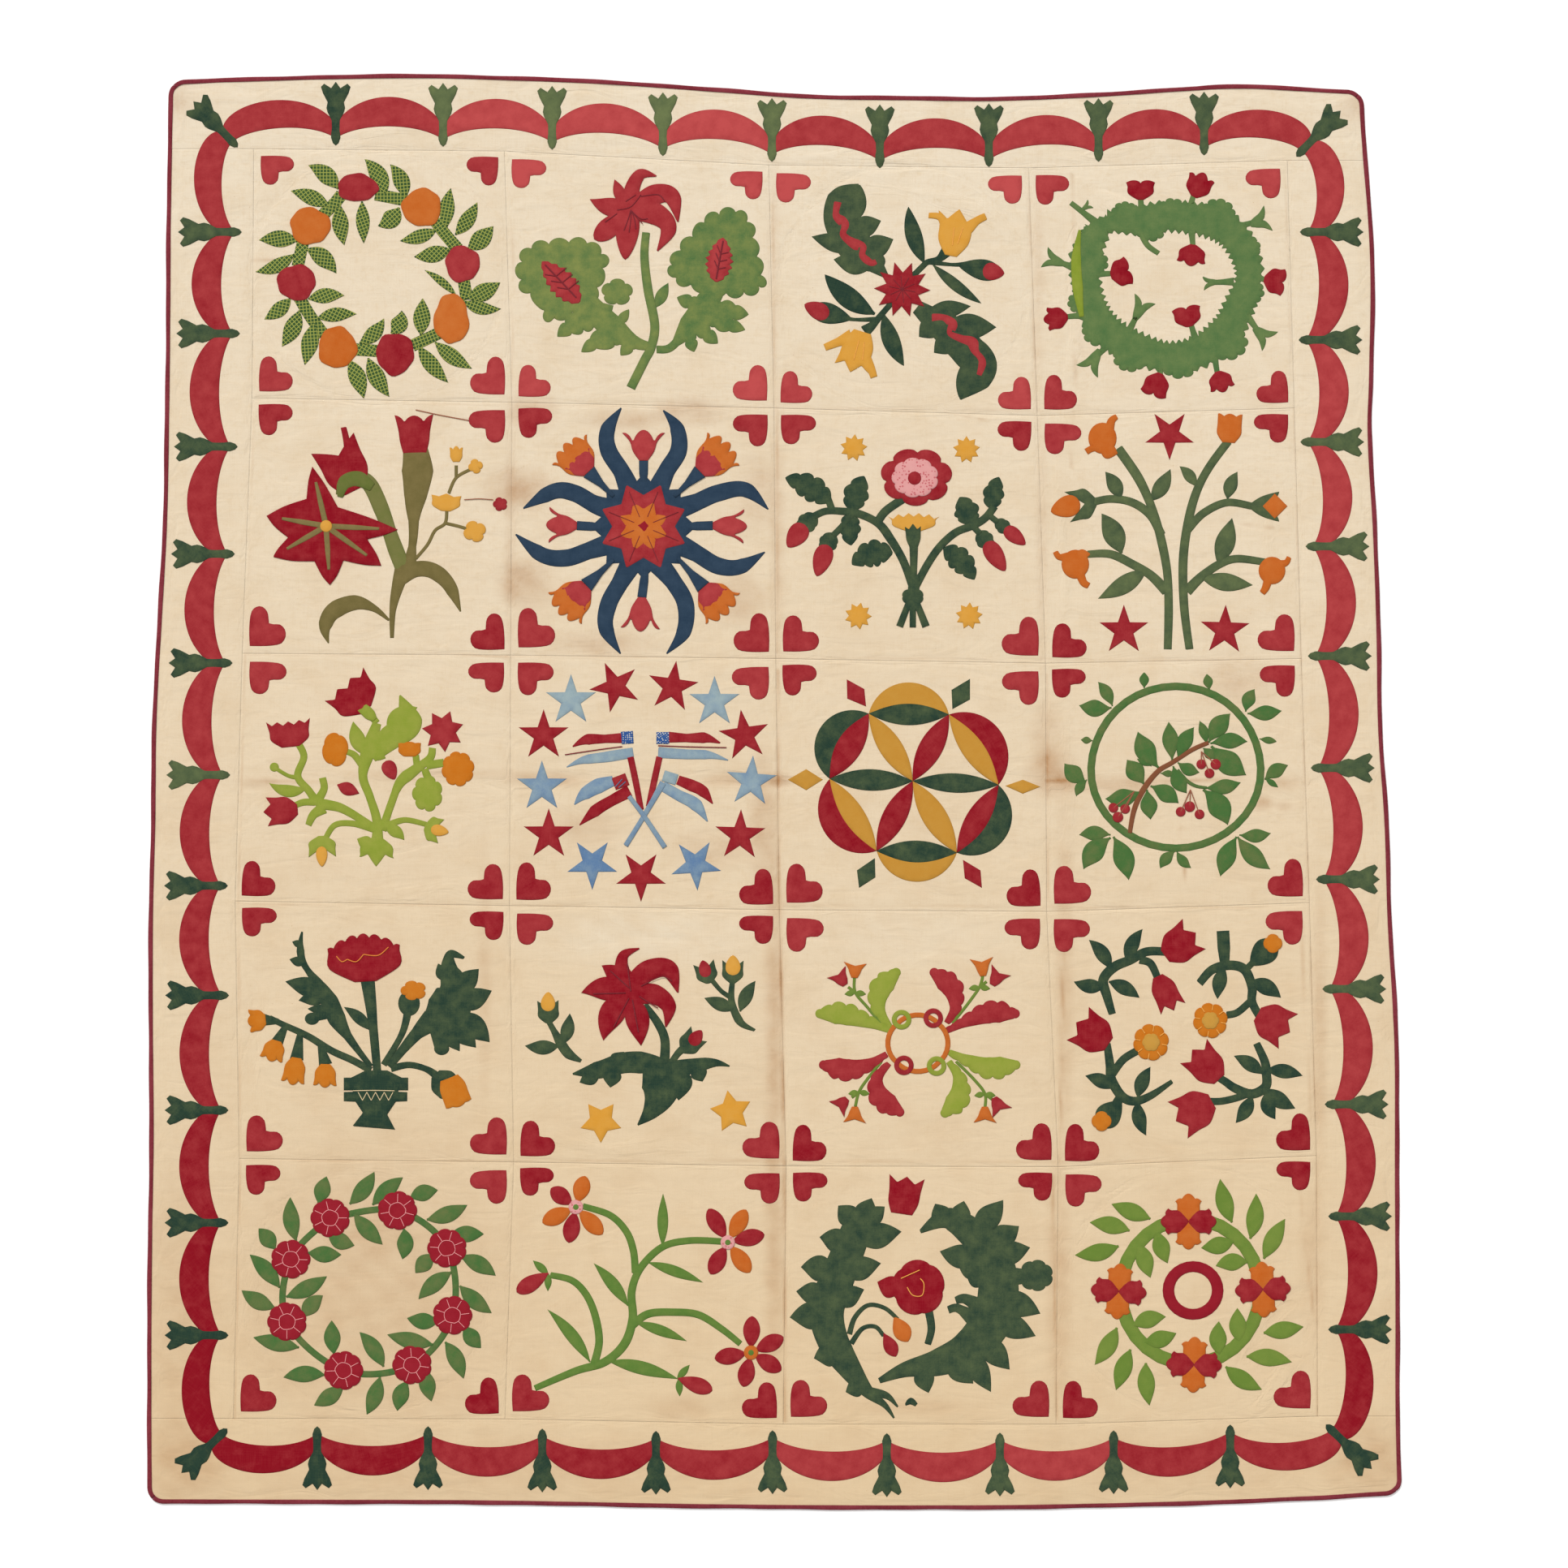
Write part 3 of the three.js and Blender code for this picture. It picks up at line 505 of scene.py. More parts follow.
def bloom(base, tip, width, points=3, depth=0.3, waist=0.5, belly=0.85, droop=0.1, sharp=True):
    """A flower in side view: a cup from its base to an open edge with points or lobes."""
    side = curve([(0, waist), (0.3, belly), (0.62, 0.3 + 0.7 * belly), (1 - droop, 1)], step=0.08)
    across = np.linspace(1, -1, 10 * points + 1)
    phase = (across + 1) / 2 * (points - 1) + 0.5
    edge = 1 - droop * across**2 - depth * (1 - lobed(phase, sharp))
    top = np.column_stack([edge, across])
    return placed(base, tip, width, np.vstack([side[:-1], top, (side * (1, -1))[-2::-1]]))


def calyx(base, tip, width, depth=0.4):
    """The green cup under a bud, with two pointed sepals."""
    return bloom(base, tip, width, 2, depth, 0.25, 0.95, 0.0)


def frilled(points, lobes, depth, sharp=False):
    """A closed smooth outline with even lobes along its edge, cut back by a depth between them."""
    line = curve(points, closed=True, step=0.5)
    gone = np.concatenate([[0], np.cumsum(np.linalg.norm(np.diff(line, axis=0), axis=1))])
    following = np.roll(line, -1, axis=0)
    turns = np.sign((line[:, 0] * following[:, 1] - following[:, 0] * line[:, 1]).sum())
    cut = depth * (1 - lobed(gone / gone[-1] * lobes, sharp))
    return line + turns * aside(line) * cut[:, None]


def pointed_star(middle, tips, valleys, bulge):
    """A flower of pointed petals, its edges bowed out between the tips and the valleys."""
    corners = [np.array(p, dtype=float) for pair in zip(tips, valleys) for p in pair]
    line = []
    for a, b in zip(corners, corners[1:] + corners[:1]):
        way = 0.5 * (a + b) - np.array(middle)
        line.append(curve([a, 0.5 * (a + b) + bulge * way / np.linalg.norm(way), b])[:-1])
    return np.vstack(line)


def rounded(runs):
    """A closed outline from smooth runs that meet in corners."""
    return np.vstack([curve(run, step=1.2)[:-1] for run in runs])


# The shortest edge kept when an outline is cut anew, and the closest points left, as a share of the step
SHORTEST_EDGE = 1e-4
CLOSEST_SHARE = 0.62


def resampled(outline, step):
    """The outline with its points about a step apart or less, and none of them crowded."""
    following = np.roll(outline, -1, axis=0)
    out = []
    for a, b in zip(outline, following):
        length = math.hypot(b[0] - a[0], b[1] - a[1])
        if length < SHORTEST_EDGE:
            continue
        count = max(int(math.ceil(length / step)), 1)
        out.append(a + np.arange(count)[:, None] / count * (b - a))
    line = np.vstack(out)
    kept = [0]
    for k in range(1, len(line)):
        if np.linalg.norm(line[k] - line[kept[-1]]) >= CLOSEST_SHARE * step:
            kept.append(k)
    return line[kept]


def inside_of(points, starts, ends):
    """Which points lie inside the closed loops that these edges make."""
    px, py = points[:, 0:1], points[:, 1:2]
    rise = ends[:, 1] - starts[:, 1]
    rise = np.where(np.abs(rise) < 1e-12, 1e-12, rise)
    crosses = (starts[None, :, 1] > py) != (ends[None, :, 1] > py)
    left = px < starts[None, :, 0] + (py - starts[None, :, 1]) * (ends[:, 0] - starts[:, 0]) / rise
    return (crosses & left).sum(axis=1) % 2 == 1


# How many points are measured at a time
POINTS_AT_ONCE = 1500


def far_from(points, starts, ends):
    """How far each point is from the nearest edge."""
    span = ends - starts
    length = np.maximum((span * span).sum(axis=1), 1e-12)
    out = np.empty(len(points))
    for k in range(0, len(points), POINTS_AT_ONCE):
        offset = points[k : k + POINTS_AT_ONCE, None, :] - starts[None]
        share = np.clip((offset * span[None]).sum(axis=2) / length, 0, 1)
        apart = offset - share[:, :, None] * span[None]
        out[k : k + POINTS_AT_ONCE] = np.sqrt((apart**2).sum(axis=2)).min(axis=1)
    return out


def triangulated(points, edges, faces, kind):
    """Flat points and triangles from points, edges and faces. Kind 0 fills the hull, and 1 the faces."""
    found = delaunay_2d_cdt([Vector(p) for p in points], edges, faces, kind, SHORTEST_EDGE)
    flat = np.array([tuple(v) for v in found[0]], dtype=float)
    triangles = [f for f in found[2] if len(f) == 3]
    return flat, np.array(triangles, dtype=int).reshape(-1, 3)


def outer_edges(triangles):
    """The edges that only one triangle uses, in that triangle's order."""
    directed = np.concatenate([triangles[:, [0, 1]], triangles[:, [1, 2]], triangles[:, [2, 0]]])
    keys = np.sort(directed, axis=1)
    _, index, counts = np.unique(keys, axis=0, return_index=True, return_counts=True)
    return directed[index[counts == 1]]


def joined(outlines, holes):
    """The boundary of overlapping outlines cut as one piece, less its holes."""
    lines = [resampled(np.array(line), OUTLINE_STEP) for line in list(outlines) + list(holes)]
    points = np.vstack(lines)
    faces = []
    start = 0
    for line in lines:
        faces.append(list(range(start, start + len(line))))
        start += len(line)
    flat, triangles = triangulated(points, [], faces, 1)
    centres = flat[triangles].mean(axis=1)
    inside = np.zeros(len(centres), dtype=bool)
    for k, line in enumerate(lines):
        within = inside_of(centres, line, np.roll(line, -1, axis=0))
        inside = inside | within if k < len(outlines) else inside & ~within
    edges = outer_edges(triangles[inside])
    used, order = np.unique(edges, return_inverse=True)
    return flat[used], order.reshape(-1, 2)


# How far in from its edge a cloth gets painted shade along its turned edge
EDGE_SHADE_WIDTH = 2.4


def puffed(points, starts, ends, layer, puff):
    """How far cloth stands over the ground, by its distance from its edge, and how near the edge it is, which
    sets its painted edge shade.
    """
    distance = far_from(points, starts, ends)
    roll = EDGE_ROLL * np.sqrt(np.clip(distance / ROLL_WIDTH, 0, 1))
    swell = puff * (1 - (1 - np.clip(distance / PUFF_REACH, 0, 1)) ** 2)
    return layer * LAYER_STEP + EDGE_STAND + roll + swell, np.clip(1 - distance / EDGE_SHADE_WIDTH, 0, 1)


# How far inner points keep from the edge, and how deep a patch's foot goes into the ground
INNER_CLEAR = 3.4
BAND_CLEAR = 0.85 * ROLL_WIDTH
FOOT_DEPTH = 0.3


def patch_mesh(patch):
    """One appliqued piece as points, triangles and what its cloth needs to know at each point."""
    boundary, edges = joined(patch["outlines"], patch["holes"])
    starts, ends = boundary[edges[:, 0]], boundary[edges[:, 1]]
    span = ends - starts
    inwards = np.column_stack([-span[:, 1], span[:, 0]])
    inwards /= np.maximum(np.linalg.norm(inwards, axis=1, keepdims=True), 1e-9)
    band = 0.5 * (starts + ends) + ROLL_WIDTH * inwards
    low, high = boundary.min(axis=0), boundary.max(axis=0)
    grid_x, grid_y = np.meshgrid(
        np.arange(low[0], high[0], INNER_STEP), np.arange(low[1], high[1], INNER_STEP),
    )
    shift = (np.arange(grid_x.shape[0]) % 2 * 0.5 * INNER_STEP)[:, None]
    lattice = np.column_stack([(grid_x + shift).ravel(), grid_y.ravel()])
    lattice = lattice[inside_of(lattice, starts, ends)] if len(lattice) else lattice
    if len(lattice):
        lattice = lattice[far_from(lattice, starts, ends) > INNER_CLEAR]
    band = band[inside_of(band, starts, ends)]
    if len(band):
        band = band[far_from(band, starts, ends) > BAND_CLEAR]
    flat, triangles = triangulated(
        np.vstack([boundary, band, lattice]), [tuple(int(v) for v in e) for e in edges], [], 0
    )
    triangles = triangles[inside_of(flat[triangles].mean(axis=1), starts, ends)]
    rise, edge = puffed(flat, starts, ends, patch["layer"], patch["puff"])
    ground = ground_height(flat[:, 0], flat[:, 1])
    top = np.column_stack([flat, ground + rise])
    rim = outer_edges(triangles)
    used, order = np.unique(rim, return_inverse=True)
    order = order.reshape(-1, 2) + len(flat)
    foot = np.column_stack([flat[used], ground[used] - FOOT_DEPTH])
    walls = np.vstack([
        np.column_stack([rim[:, 1], rim[:, 0], order[:, 0]]),
        np.column_stack([rim[:, 1], order[:, 0], order[:, 1]]),
    ])
    points = np.vstack([top, foot])
    turn = math.radians(patch["turn"])
    place = np.column_stack([
        points[:, 0] * math.cos(turn) + points[:, 1] * math.sin(turn),
        points[:, 1] * math.cos(turn) - points[:, 0] * math.sin(turn),
        np.full(len(points), patch["turn"]),
    ])
    # The walls' feet get the full painted edge shade
    edge = np.concatenate([edge, np.ones(len(used))])
    fade = np.full(len(points), float(patch["fade"]))
    return points, np.vstack([triangles, walls]), place, edge, fade


# A thread in section: places across it in shares of its width, how high it rises there, and its base
THREAD_ACROSS = (-0.5, -0.3, 0.0, 0.3, 0.5)
THREAD_RISES = (0.0, 0.75, 1.0, 0.75, 0.0)
THREAD_BASE = 0.35


def thread_mesh(line, width, layer):
    """A raised line of embroidery: a rounded strip along the line."""
    line = curve(line, step=2.2) if len(line) > 2 else curve(line, step=3)
    normal = aside(line)
    thread_lift = bpy.context.scene.quilt_cloths.thread_lift
    size = len(line)
    points = []
    for share, rise in zip(THREAD_ACROSS, THREAD_RISES):
        flat = line + normal * share * width
        ground = ground_height(flat[:, 0], flat[:, 1])
        foot = ground + layer * LAYER_STEP + EDGE_STAND + EDGE_ROLL + THREAD_BASE
        up = foot + thread_lift * rise * width
        points.append(np.column_stack([flat, up]))
    triangles = []
    k = np.arange(size - 1)
    for row in range(len(THREAD_ACROSS) - 1):
        a, b = row * size + k, (row + 1) * size + k
        triangles.append(np.column_stack([a, b + 1, b]))
        triangles.append(np.column_stack([a, a + 1, b + 1]))
    points = np.vstack(points)
    zeros = np.zeros(len(points))
    return points, np.vstack(triangles), points.copy(), zeros, zeros


def mesh_object(name, points, faces, attributes, material):
    """A mesh object in metres that rides on the quilt, from points in mm."""
    mesh = bpy.data.meshes.new(name)
    mesh.vertices.add(len(points))
    mesh.vertices.foreach_set("co", (np.asarray(points) * MM).astype(np.float32).ravel())
    faces = np.asarray(faces, dtype=np.int32)
    size = faces.shape[1]
    mesh.loops.add(faces.size)
    mesh.loops.foreach_set("vertex_index", faces.ravel())
    mesh.polygons.add(len(faces))
    mesh.polygons.foreach_set("loop_start", np.arange(len(faces), dtype=np.int32) * size)
    mesh.polygons.foreach_set("use_smooth", np.ones(len(faces), dtype=bool))
    for title, kind, values in attributes:
        layer = mesh.attributes.new(title, kind, "POINT")
        key = "vector" if kind == "FLOAT_VECTOR" else "value"
        layer.data.foreach_set(key, np.asarray(values, dtype=np.float32).ravel())
    mesh.update(calc_edges=True)
    mesh.validate()
    mesh.materials.append(material)
    piece = bpy.data.objects.new(name, mesh)
    bpy.context.scene.collection.objects.link(piece)
    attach(piece, BODY)
    return piece


def sewn(name, cloth, meshes):
    """One object from the meshes of all pieces of one cloth."""
    points, triangles, places, edges, fades = [], [], [], [], []
    start = 0
    for part_points, part_triangles, place, edge, fade in meshes:
        points.append(part_points)
        triangles.append(part_triangles + start)
        places.append(place)
        edges.append(edge)
        fades.append(fade)
        start += len(part_points)
    attributes = [
        ("cloth_place", "FLOAT_VECTOR", np.vstack(places)),
        ("edge", "FLOAT", np.concatenate(edges)),
        ("fade", "FLOAT", np.concatenate(fades)),
    ]
    piece = mesh_object(name, np.vstack(points), np.vstack(triangles), attributes, cloth_of(cloth))
    return piece


class Chart:
    """A block's squared-paper chart: its upper left corner in mm and the size of a square. Down is plus."""

    def __init__(self, number, corner, square):
        self.number = number
        self.corner = np.array(corner, dtype=float)
        self.square = square
        self.pieces = {}

    def millimetres(self, line):
        return self.corner + np.array(line, dtype=float) * (self.square, -self.square)

    def sew(self, cloth, *shapes, layer=0, fade=0.3, holes=(), turn=0.0, puff=0.3):
        """Adds one piece of cloth, cut as all the given shapes together."""
        patch = {
            "outlines": [self.millimetres(line) for line in shapes],
            "holes": [self.millimetres(line) for line in holes],
            "layer": layer,
            "fade": fade,
            "turn": turn,
            "puff": puff,
        }
        self.pieces.setdefault(cloth, []).append(patch_mesh(patch))

    def each(self, cloth, shapes, layer=0, fade=0.3, turn=0.0):
        """Adds each shape as a piece of its own, with its cloth cut at its own slant."""
        for k, shape in enumerate(shapes):
            self.sew(cloth, shape, layer=layer, fade=fade + 0.12 * math.sin(2.1 * k), turn=turn + 37 * k)

    def stitch(self, colour, line, width=2.6, layer=1):
        self.pieces.setdefault(colour, []).append(thread_mesh(self.millimetres(line), width, layer))

    def finish(self):
        for cloth, meshes in self.pieces.items():
            sewn(f"block_{self.number:02d}_{cloth}", cloth, meshes)


def fruit_wreath(c):
    """A wreath of round fruits with leaves of checked print."""
    reds = [
        (65, 19.2, 11.6, 8.0, 1), (124.5, 62.5, 9.8, 10.4, 2), (86.3, 113.6, 10.8, 12, 3),
        (30.3, 73, 11, 10.2, 4),
    ]
    oranges = [
        (101.5, 30.5, 11.2, 10.9, 5), (118.3, 93.8, 10, 14.2, 6), (53.5, 110, 11, 11.8, 7),
        (38, 41, 11.5, 10.6, 8),
    ]
    stems = [
        [(75, 23), (93, 26.5)], [(109, 38), (115, 46), (122, 54)], [(125, 70), (127, 83)],
        [(113, 101), (96, 109)], [(77, 112), (62, 111)], [(46, 103), (38, 92), (31, 80)],
        [(31, 64), (34, 50)], [(45, 35), (52, 28), (56, 23)],
    ]
    leaves = [
        ((54, 20), (37, 6.5), 9.8, 2), ((49, 30), (27, 21), 8.8, 1), ((55, 29), (57.5, 52), 9.4, 1),
        ((67.5, 27), (68.5, 51), 7.8, 0), ((81, 23), (69, 3), 10, 2), ((92, 25), (83.5, 6), 9.4, 2),
        ((88.5, 30.5), (76.5, 41), 10.5, -2), ((115.5, 42), (118, 19.5), 8.8, -1),
        ((120.5, 46), (133, 27.5), 8.6, 1), ((127.5, 54), (142, 41), 10.5, 1),
        ((110, 43), (89, 49.5), 8, -1), ((118, 54), (97, 58.5), 9.4, -1), ((121, 80.5), (103, 66), 4.6, 1),
        ((127, 82), (146, 73), 10, 1), ((125, 83.5), (146.5, 88), 7.4, 2), ((101, 103), (102, 82), 9.8, 0),
        ((109, 107), (130, 122), 8.8, 1), ((99.5, 109), (116.5, 130), 8.8, 1),
        ((84, 102), (90, 89), 9.8, 2), ((66, 107.5), (80, 93.5), 8.6, 2), ((71, 116), (83, 138), 9.8, 1),
        ((60, 117), (68.5, 139), 9.8, -1), ((40.5, 96), (35, 120), 9.8, 0),
        ((32, 89), (22, 109.5), 9.8, -1), ((27, 82), (12, 94), 8.4, -1),
        ((37, 82.5), (57.5, 80.5), 8.6, -1), ((42, 93.5), (64.5, 91), 8, -1), ((31, 49.5), (9, 49), 9.6, 1),
        ((29, 57), (7, 67), 8, -2), ((36, 54), (53, 68), 10, -2),
    ]
    c.each("check", [stem(points, 7) for points in stems])
    c.each("check", [leaf(*row) for row in leaves], layer=1)
    c.each("red", [uneven_disc((x, y), w, h, s) for x, y, w, h, s in reds], layer=2, fade=0.32)
    c.each("orange", [uneven_disc((x, y), w, h, s) for x, y, w, h, s in oranges], layer=2, fade=0.3)


def red_lily(c):
    """A red lily over two big scalloped leaves with veined red inlays."""
    c.sew(
        "leaf_green",
        stem(
            [(79, 46), (78, 60), (80, 79), (84, 100), (82, 113), (78, 121), (70, 137)],
            [4.6, 5.3, 5.3, 5.4],
        ),
        layer=1, fade=0.4,
    )
    left = [
        frilled(
            [
                (3, 62), (12, 52), (30, 49), (46, 50), (57, 60), (55, 73), (50, 86), (42, 93), (22, 99),
                (14, 88), (4, 78),
            ],
            14, 3.4,
        ),
        stem([(84, 113), (74, 111), (62, 104), (50, 93), (42, 84)], [4, 8, 15, 14, 12]),
        disc((62, 81), 9.4, 8, 5, 0.2, 20), toothed((56, 95), (27, 107), 15, 4, 0.3, 3, False),
        toothed((62, 101), (41, 116), 11, 3, 0.3, 0, False),
        toothed((68, 104), (50, 114), 10, 2, 0.3, 0, False),
        toothed((74, 107), (64, 118), 9, 2, 0.3, 0, False),
        toothed((60, 104), (69, 91), 7, 2, 0.3, 0, False), stem([(55, 96), (57, 88)], 6),
    ]
    right = [
        frilled(
            [
                (121, 32), (134, 32), (142, 41), (145, 53), (148, 66), (149, 78), (138, 84), (120, 84),
                (106, 80), (95, 75), (91, 65), (98, 53), (106, 44), (111, 38),
            ],
            16, 3.4,
        ),
        stem([(85, 114.5), (93, 113.5), (102, 104), (110, 94), (119, 80)], [4.5, 5, 14, 15, 12]),
        toothed((112, 90), (97, 84), 10, 2, 0.3, 0, False),
        toothed((114, 90), (139, 94), 13, 3, 0.3, 0, False),
        toothed((112, 95), (137, 103), 11, 3, 0.3, 0, False),
        toothed((108, 100), (121, 111), 10, 2, 0.3, 0, False),
        toothed((103, 103), (107, 116), 9, 2, 0.3, 0, False),
    ]
    c.sew("leaf_green", *left, fade=0.5)
    c.sew("leaf_green", *right, fade=0.35)
    c.sew("leaf_green", leaf((84.5, 90), (92, 75.5), 7))
    c.sew("red", toothed((40, 87), (18, 63), 17, 7, 0.28), layer=2, fade=0.5)
    c.sew("red", toothed((120, 75), (124, 49), 17, 7, 0.28), layer=2, fade=0.55)
    for start, end, sideways in (((38, 84), (20, 65), 1), ((120, 73), (124, 51), -1)):
        c.stitch("thread_dark", [start, end], 2.8, 3)
        for share in (0.25, 0.45, 0.65):
            x, y = start[0] + share * (end[0] - start[0]), start[1] + share * (end[1] - start[1])
            c.stitch("thread_dark", [(x, y), (x - 5.5 * sideways - 1, y - 1)], 1.8, 3)
            c.stitch("thread_dark", [(x, y), (x + 4 * sideways + 2, y - 5)], 1.8, 3)
    petals = [
        stem([(70, 31), (71, 20), (76, 12), (85, 13)], [10, 9, 7, 0.8]), leaf((66, 30), (60.5, 15), 7),
        leaf((72, 31), (46, 26.5), 11, -2.5), petal((68, 32), (48.5, 50), 12, -1),
        bud((69, 31), (66.7, 62), 14), stem([(72, 32), (86, 36), (92, 44), (85.5, 57)], [13, 13, 9, 0.8]),
        stem([(74, 31), (84, 24), (94, 25), (97.7, 40)], [12, 12, 9, 0.8]), disc((70, 31), 8, 7),
    ]
    c.sew("red", *petals, layer=2, fade=0.42, puff=0.6)
    for tip in ((66, 45), (69, 46), (73, 44), (77, 41), (80, 38)):
        c.stitch("thread_dark", [(70, 33), ((70 + tip[0]) / 2 + 0.6, 38), tip], 1.5, 4)
    for line in (
        [(62, 33), (70, 31), (76, 24)], [(76, 25), (86, 24), (90, 28)], [(62, 35), (55, 40)],
        [(67, 28), (73, 24)],
    ):
        c.stitch("thread_dark", line, 1.5, 4)


def star_and_tulips(c):
    """A red star with two yellow tulips, two buds and two jagged leaves with wandering red veins."""
    uppers = [
        stem([(66, 70), (58, 62), (48, 52), (39, 38), (41, 25), (50, 17.5)], [2.5, 13, 21, 18, 17, 1.5]),
        bladed((33, 36), (50.5, 17.5), 18, 4, 1, 0.9), leaf((50, 54), (23, 47), 11),
        leaf((46, 44), (62.5, 38), 12), leaf((52, 56), (69.5, 48.5), 13), leaf((58, 64), (35.5, 60), 13),
        disc((57, 61), 8, 6),
    ]
    lowers = [
        stem(
            [(83, 87), (92, 94), (103, 103), (112, 112), (119, 122), (107.5, 139.5)],
            [8, 15, 19, 20, 17, 1],
        ),
        bladed((124, 112), (107.5, 139.5), 13, 3, 1, 0.8), leaf((88, 90), (113.5, 86.5), 10),
        leaf((98, 98), (128, 98.5), 15), leaf((95, 95), (84, 104), 12), leaf((104, 104), (92.5, 113), 12),
        disc((98, 97), 9, 8),
    ]
    c.sew("green", *uppers, fade=0.3)
    c.sew("green", *lowers, fade=0.2)
    upper = [(38, 27), (37, 35), (42, 40), (41, 46), (47, 51), (52, 53), (52, 58), (57, 62), (60, 61)]
    lower = [
        (91, 93), (98, 93), (103, 97), (102, 102), (108, 105), (114, 107), (116, 112), (120, 118),
        (118, 126),
    ]
    for wander in (upper, lower):
        c.sew("red", stem(wander, [5, 4, 6.5, 4, 5, 7, 4, 5, 3.4]), layer=1, fade=0.5)
    c.sew("green", stem([(80, 70), (86, 64), (89, 61.5), (95, 60), (100, 55)], [3.4, 3.4, 3.4, 4, 7]),
          stem([(90, 61.5), (104, 63), (114, 62)], [3, 2, 3]), petal((106, 63), (131, 68), 12), fade=0.1)
    c.sew("green", stem([(69, 84), (63, 91), (58, 97), (53, 101)], [3.4, 3.4, 4, 7]),
          stem([(60, 94), (46, 94), (36, 91)], [3, 2, 3]), petal((46, 94), (22, 88), 12), fade=0.1)
    leaves = [
        ((87, 62), (78, 30), 9.5, -1.5), ((92, 63), (119.5, 85), 6.5, 1), ((59, 91), (30.5, 68.5), 12, -2),
        ((64, 91), (75.5, 120.5), 10, 1.5),
    ]
    c.each("green", [bladed(*row, 0.95, 0.85) for row in leaves], fade=0.1)
    c.sew("red", bud((120, 66), (132.5, 68), 10), layer=1, fade=0.35)
    c.sew("red", bud((33, 92), (19, 85.5), 10), layer=1, fade=0.35)
    c.sew(
        "yellow", bloom((102, 58), (107, 31.5), 23, 3, 0.22, 0.3, 0.75, 0.1),
        stem([(100, 42), (96, 36), (89.5, 35)], [7, 4, 3]),
        stem([(112, 42), (117, 38), (122, 35.5)], [7, 4.5, 4]), layer=1, fade=0.2, puff=0.5,
    )
    c.sew(
        "yellow", bloom((52, 101), (45, 124), 20, 3, 0.2, 0.5, 0.85, 0.1),
        stem([(46, 104), (38, 107), (30.5, 110)], [9, 5, 4]),
        stem([(52, 113), (56, 120), (58.5, 127)], [7, 5, 4]), layer=1, fade=0.2, puff=0.5,
    )
    for line in (
        [(103, 52), (104, 42)], [(106, 51), (109, 42)], [(50, 106), (47, 117)], [(53, 107), (52, 117)],
    ):
        c.stitch("thread_yellow", line, 1.6, 2)
    c.sew("red", star((74.5, 77), 16, 9.6, 10, 20), layer=2, fade=0.2, puff=0.5)
    for k in range(5):
        angle = math.radians(36 * k + 12)
        reach = (7.5 * math.cos(angle), 7.5 * math.sin(angle))
        c.stitch("thread_dark", [(74.5 - reach[0], 77 - reach[1]), (74.5 + reach[0], 77 + reach[1])], 1.2, 3)


def ruffled_wreath(c):
    """A ruffled green wreath with red and green tulip buds inside and out."""
    ring = [
        (42, 37), (57, 37), (75, 34.5), (97, 37), (111, 44), (119, 58), (120, 70), (115, 84), (108, 97),
        (93, 109), (75, 112), (58, 107), (44, 99), (35, 88), (31, 73), (30, 58), (37, 42),
    ]
    lumps = [
        (52, 33, 8), (78, 32, 9), (103, 33, 10), (118, 52, 9), (120, 76, 9), (108, 104, 12), (82, 114, 12),
        (55, 112, 10), (38, 98, 10), (28, 82, 8), (34, 60, 9), (66, 41, 9),
    ]
    around = [disc((x, y), size, 0.85 * size, 10, 0.15, 25 * k) for k, (x, y, size) in enumerate(lumps)]
    widths = [13, 18, 19, 20, 21, 19, 17, 20, 21, 21, 19, 20, 21, 20, 18, 20, 16]
    joint = stem([(29, 62), (31, 52), (36, 43), (44, 38)], [13, 16, 14, 11], 8, 0.24, 0, True)
    c.sew("mid_green", stem(ring, widths, 62, 0.26, 0, True), joint, *around, fade=0.3)
    c.sew("lime", stem([(27, 42), (25, 58), (26, 76), (28, 90)], [1.5, 5.5, 6, 2.5]), layer=2, fade=0.1)
    reds = [
        ((60.5, 25.5), (60.5, 13.5), 16), ((90, 24), (95.5, 10.5), 15), ((128.5, 69), (141.5, 71.5), 15),
        ((20.5, 90), (7, 91.5), 13), ((71.5, 121), (66.5, 135), 15), ((103, 120), (106.5, 131.5), 14),
        ((44, 67.5), (56, 63.5), 16), ((89.5, 50), (88, 62), 16), ((87.5, 95.5), (85, 83), 16),
    ]
    greens = [
        ((121, 39), (131, 35.5), 15), ((19, 61), (7.5, 57), 12), ((104, 70.5), (95, 71.5), 8),
        ((57, 92), (63, 80), 13), ((123, 96), (132, 103.5), 14), ((38, 108), (31, 120), 14),
        ((28, 31), (33, 27.5), 6),
    ]
    stems = [
        [(61, 32), (60.5, 24)], [(87, 32), (90, 22)], [(121, 66), (130, 70)], [(29, 89), (19, 90)],
        [(71, 113), (71.5, 123)], [(101, 110), (103, 122)], [(34, 66.5), (46, 66)],
        [(88.5, 41), (89.5, 52)], [(91, 103), (88, 93)], [(111, 41), (126, 37)], [(24, 63), (14, 59)],
        [(112, 70.5), (100, 71)], [(53, 100), (60, 86)], [(119, 89), (127, 100)], [(44, 104), (34, 114)],
        [(36, 38), (22, 27)], [(60, 41), (64, 50), (70.5, 55)],
    ]
    c.each("mid_green", [stem(points, [4.5, 3.2, 2.8]) for points in stems], fade=0.35)
    for base, tip, width in greens:
        c.sew("mid_green", bloom(base, tip, width, 2, 0.3, 0.2, 0.4, 0.0, False), fade=0.4)
    for k, (base, tip, width) in enumerate(reds):
        flower = bloom(base, tip, width, 2 + k % 2, 0.22, 0.2, 0.86, 0.2, False)
        c.sew("red", flower, layer=1, fade=0.1 + 0.04 * (k % 3), puff=0.5)


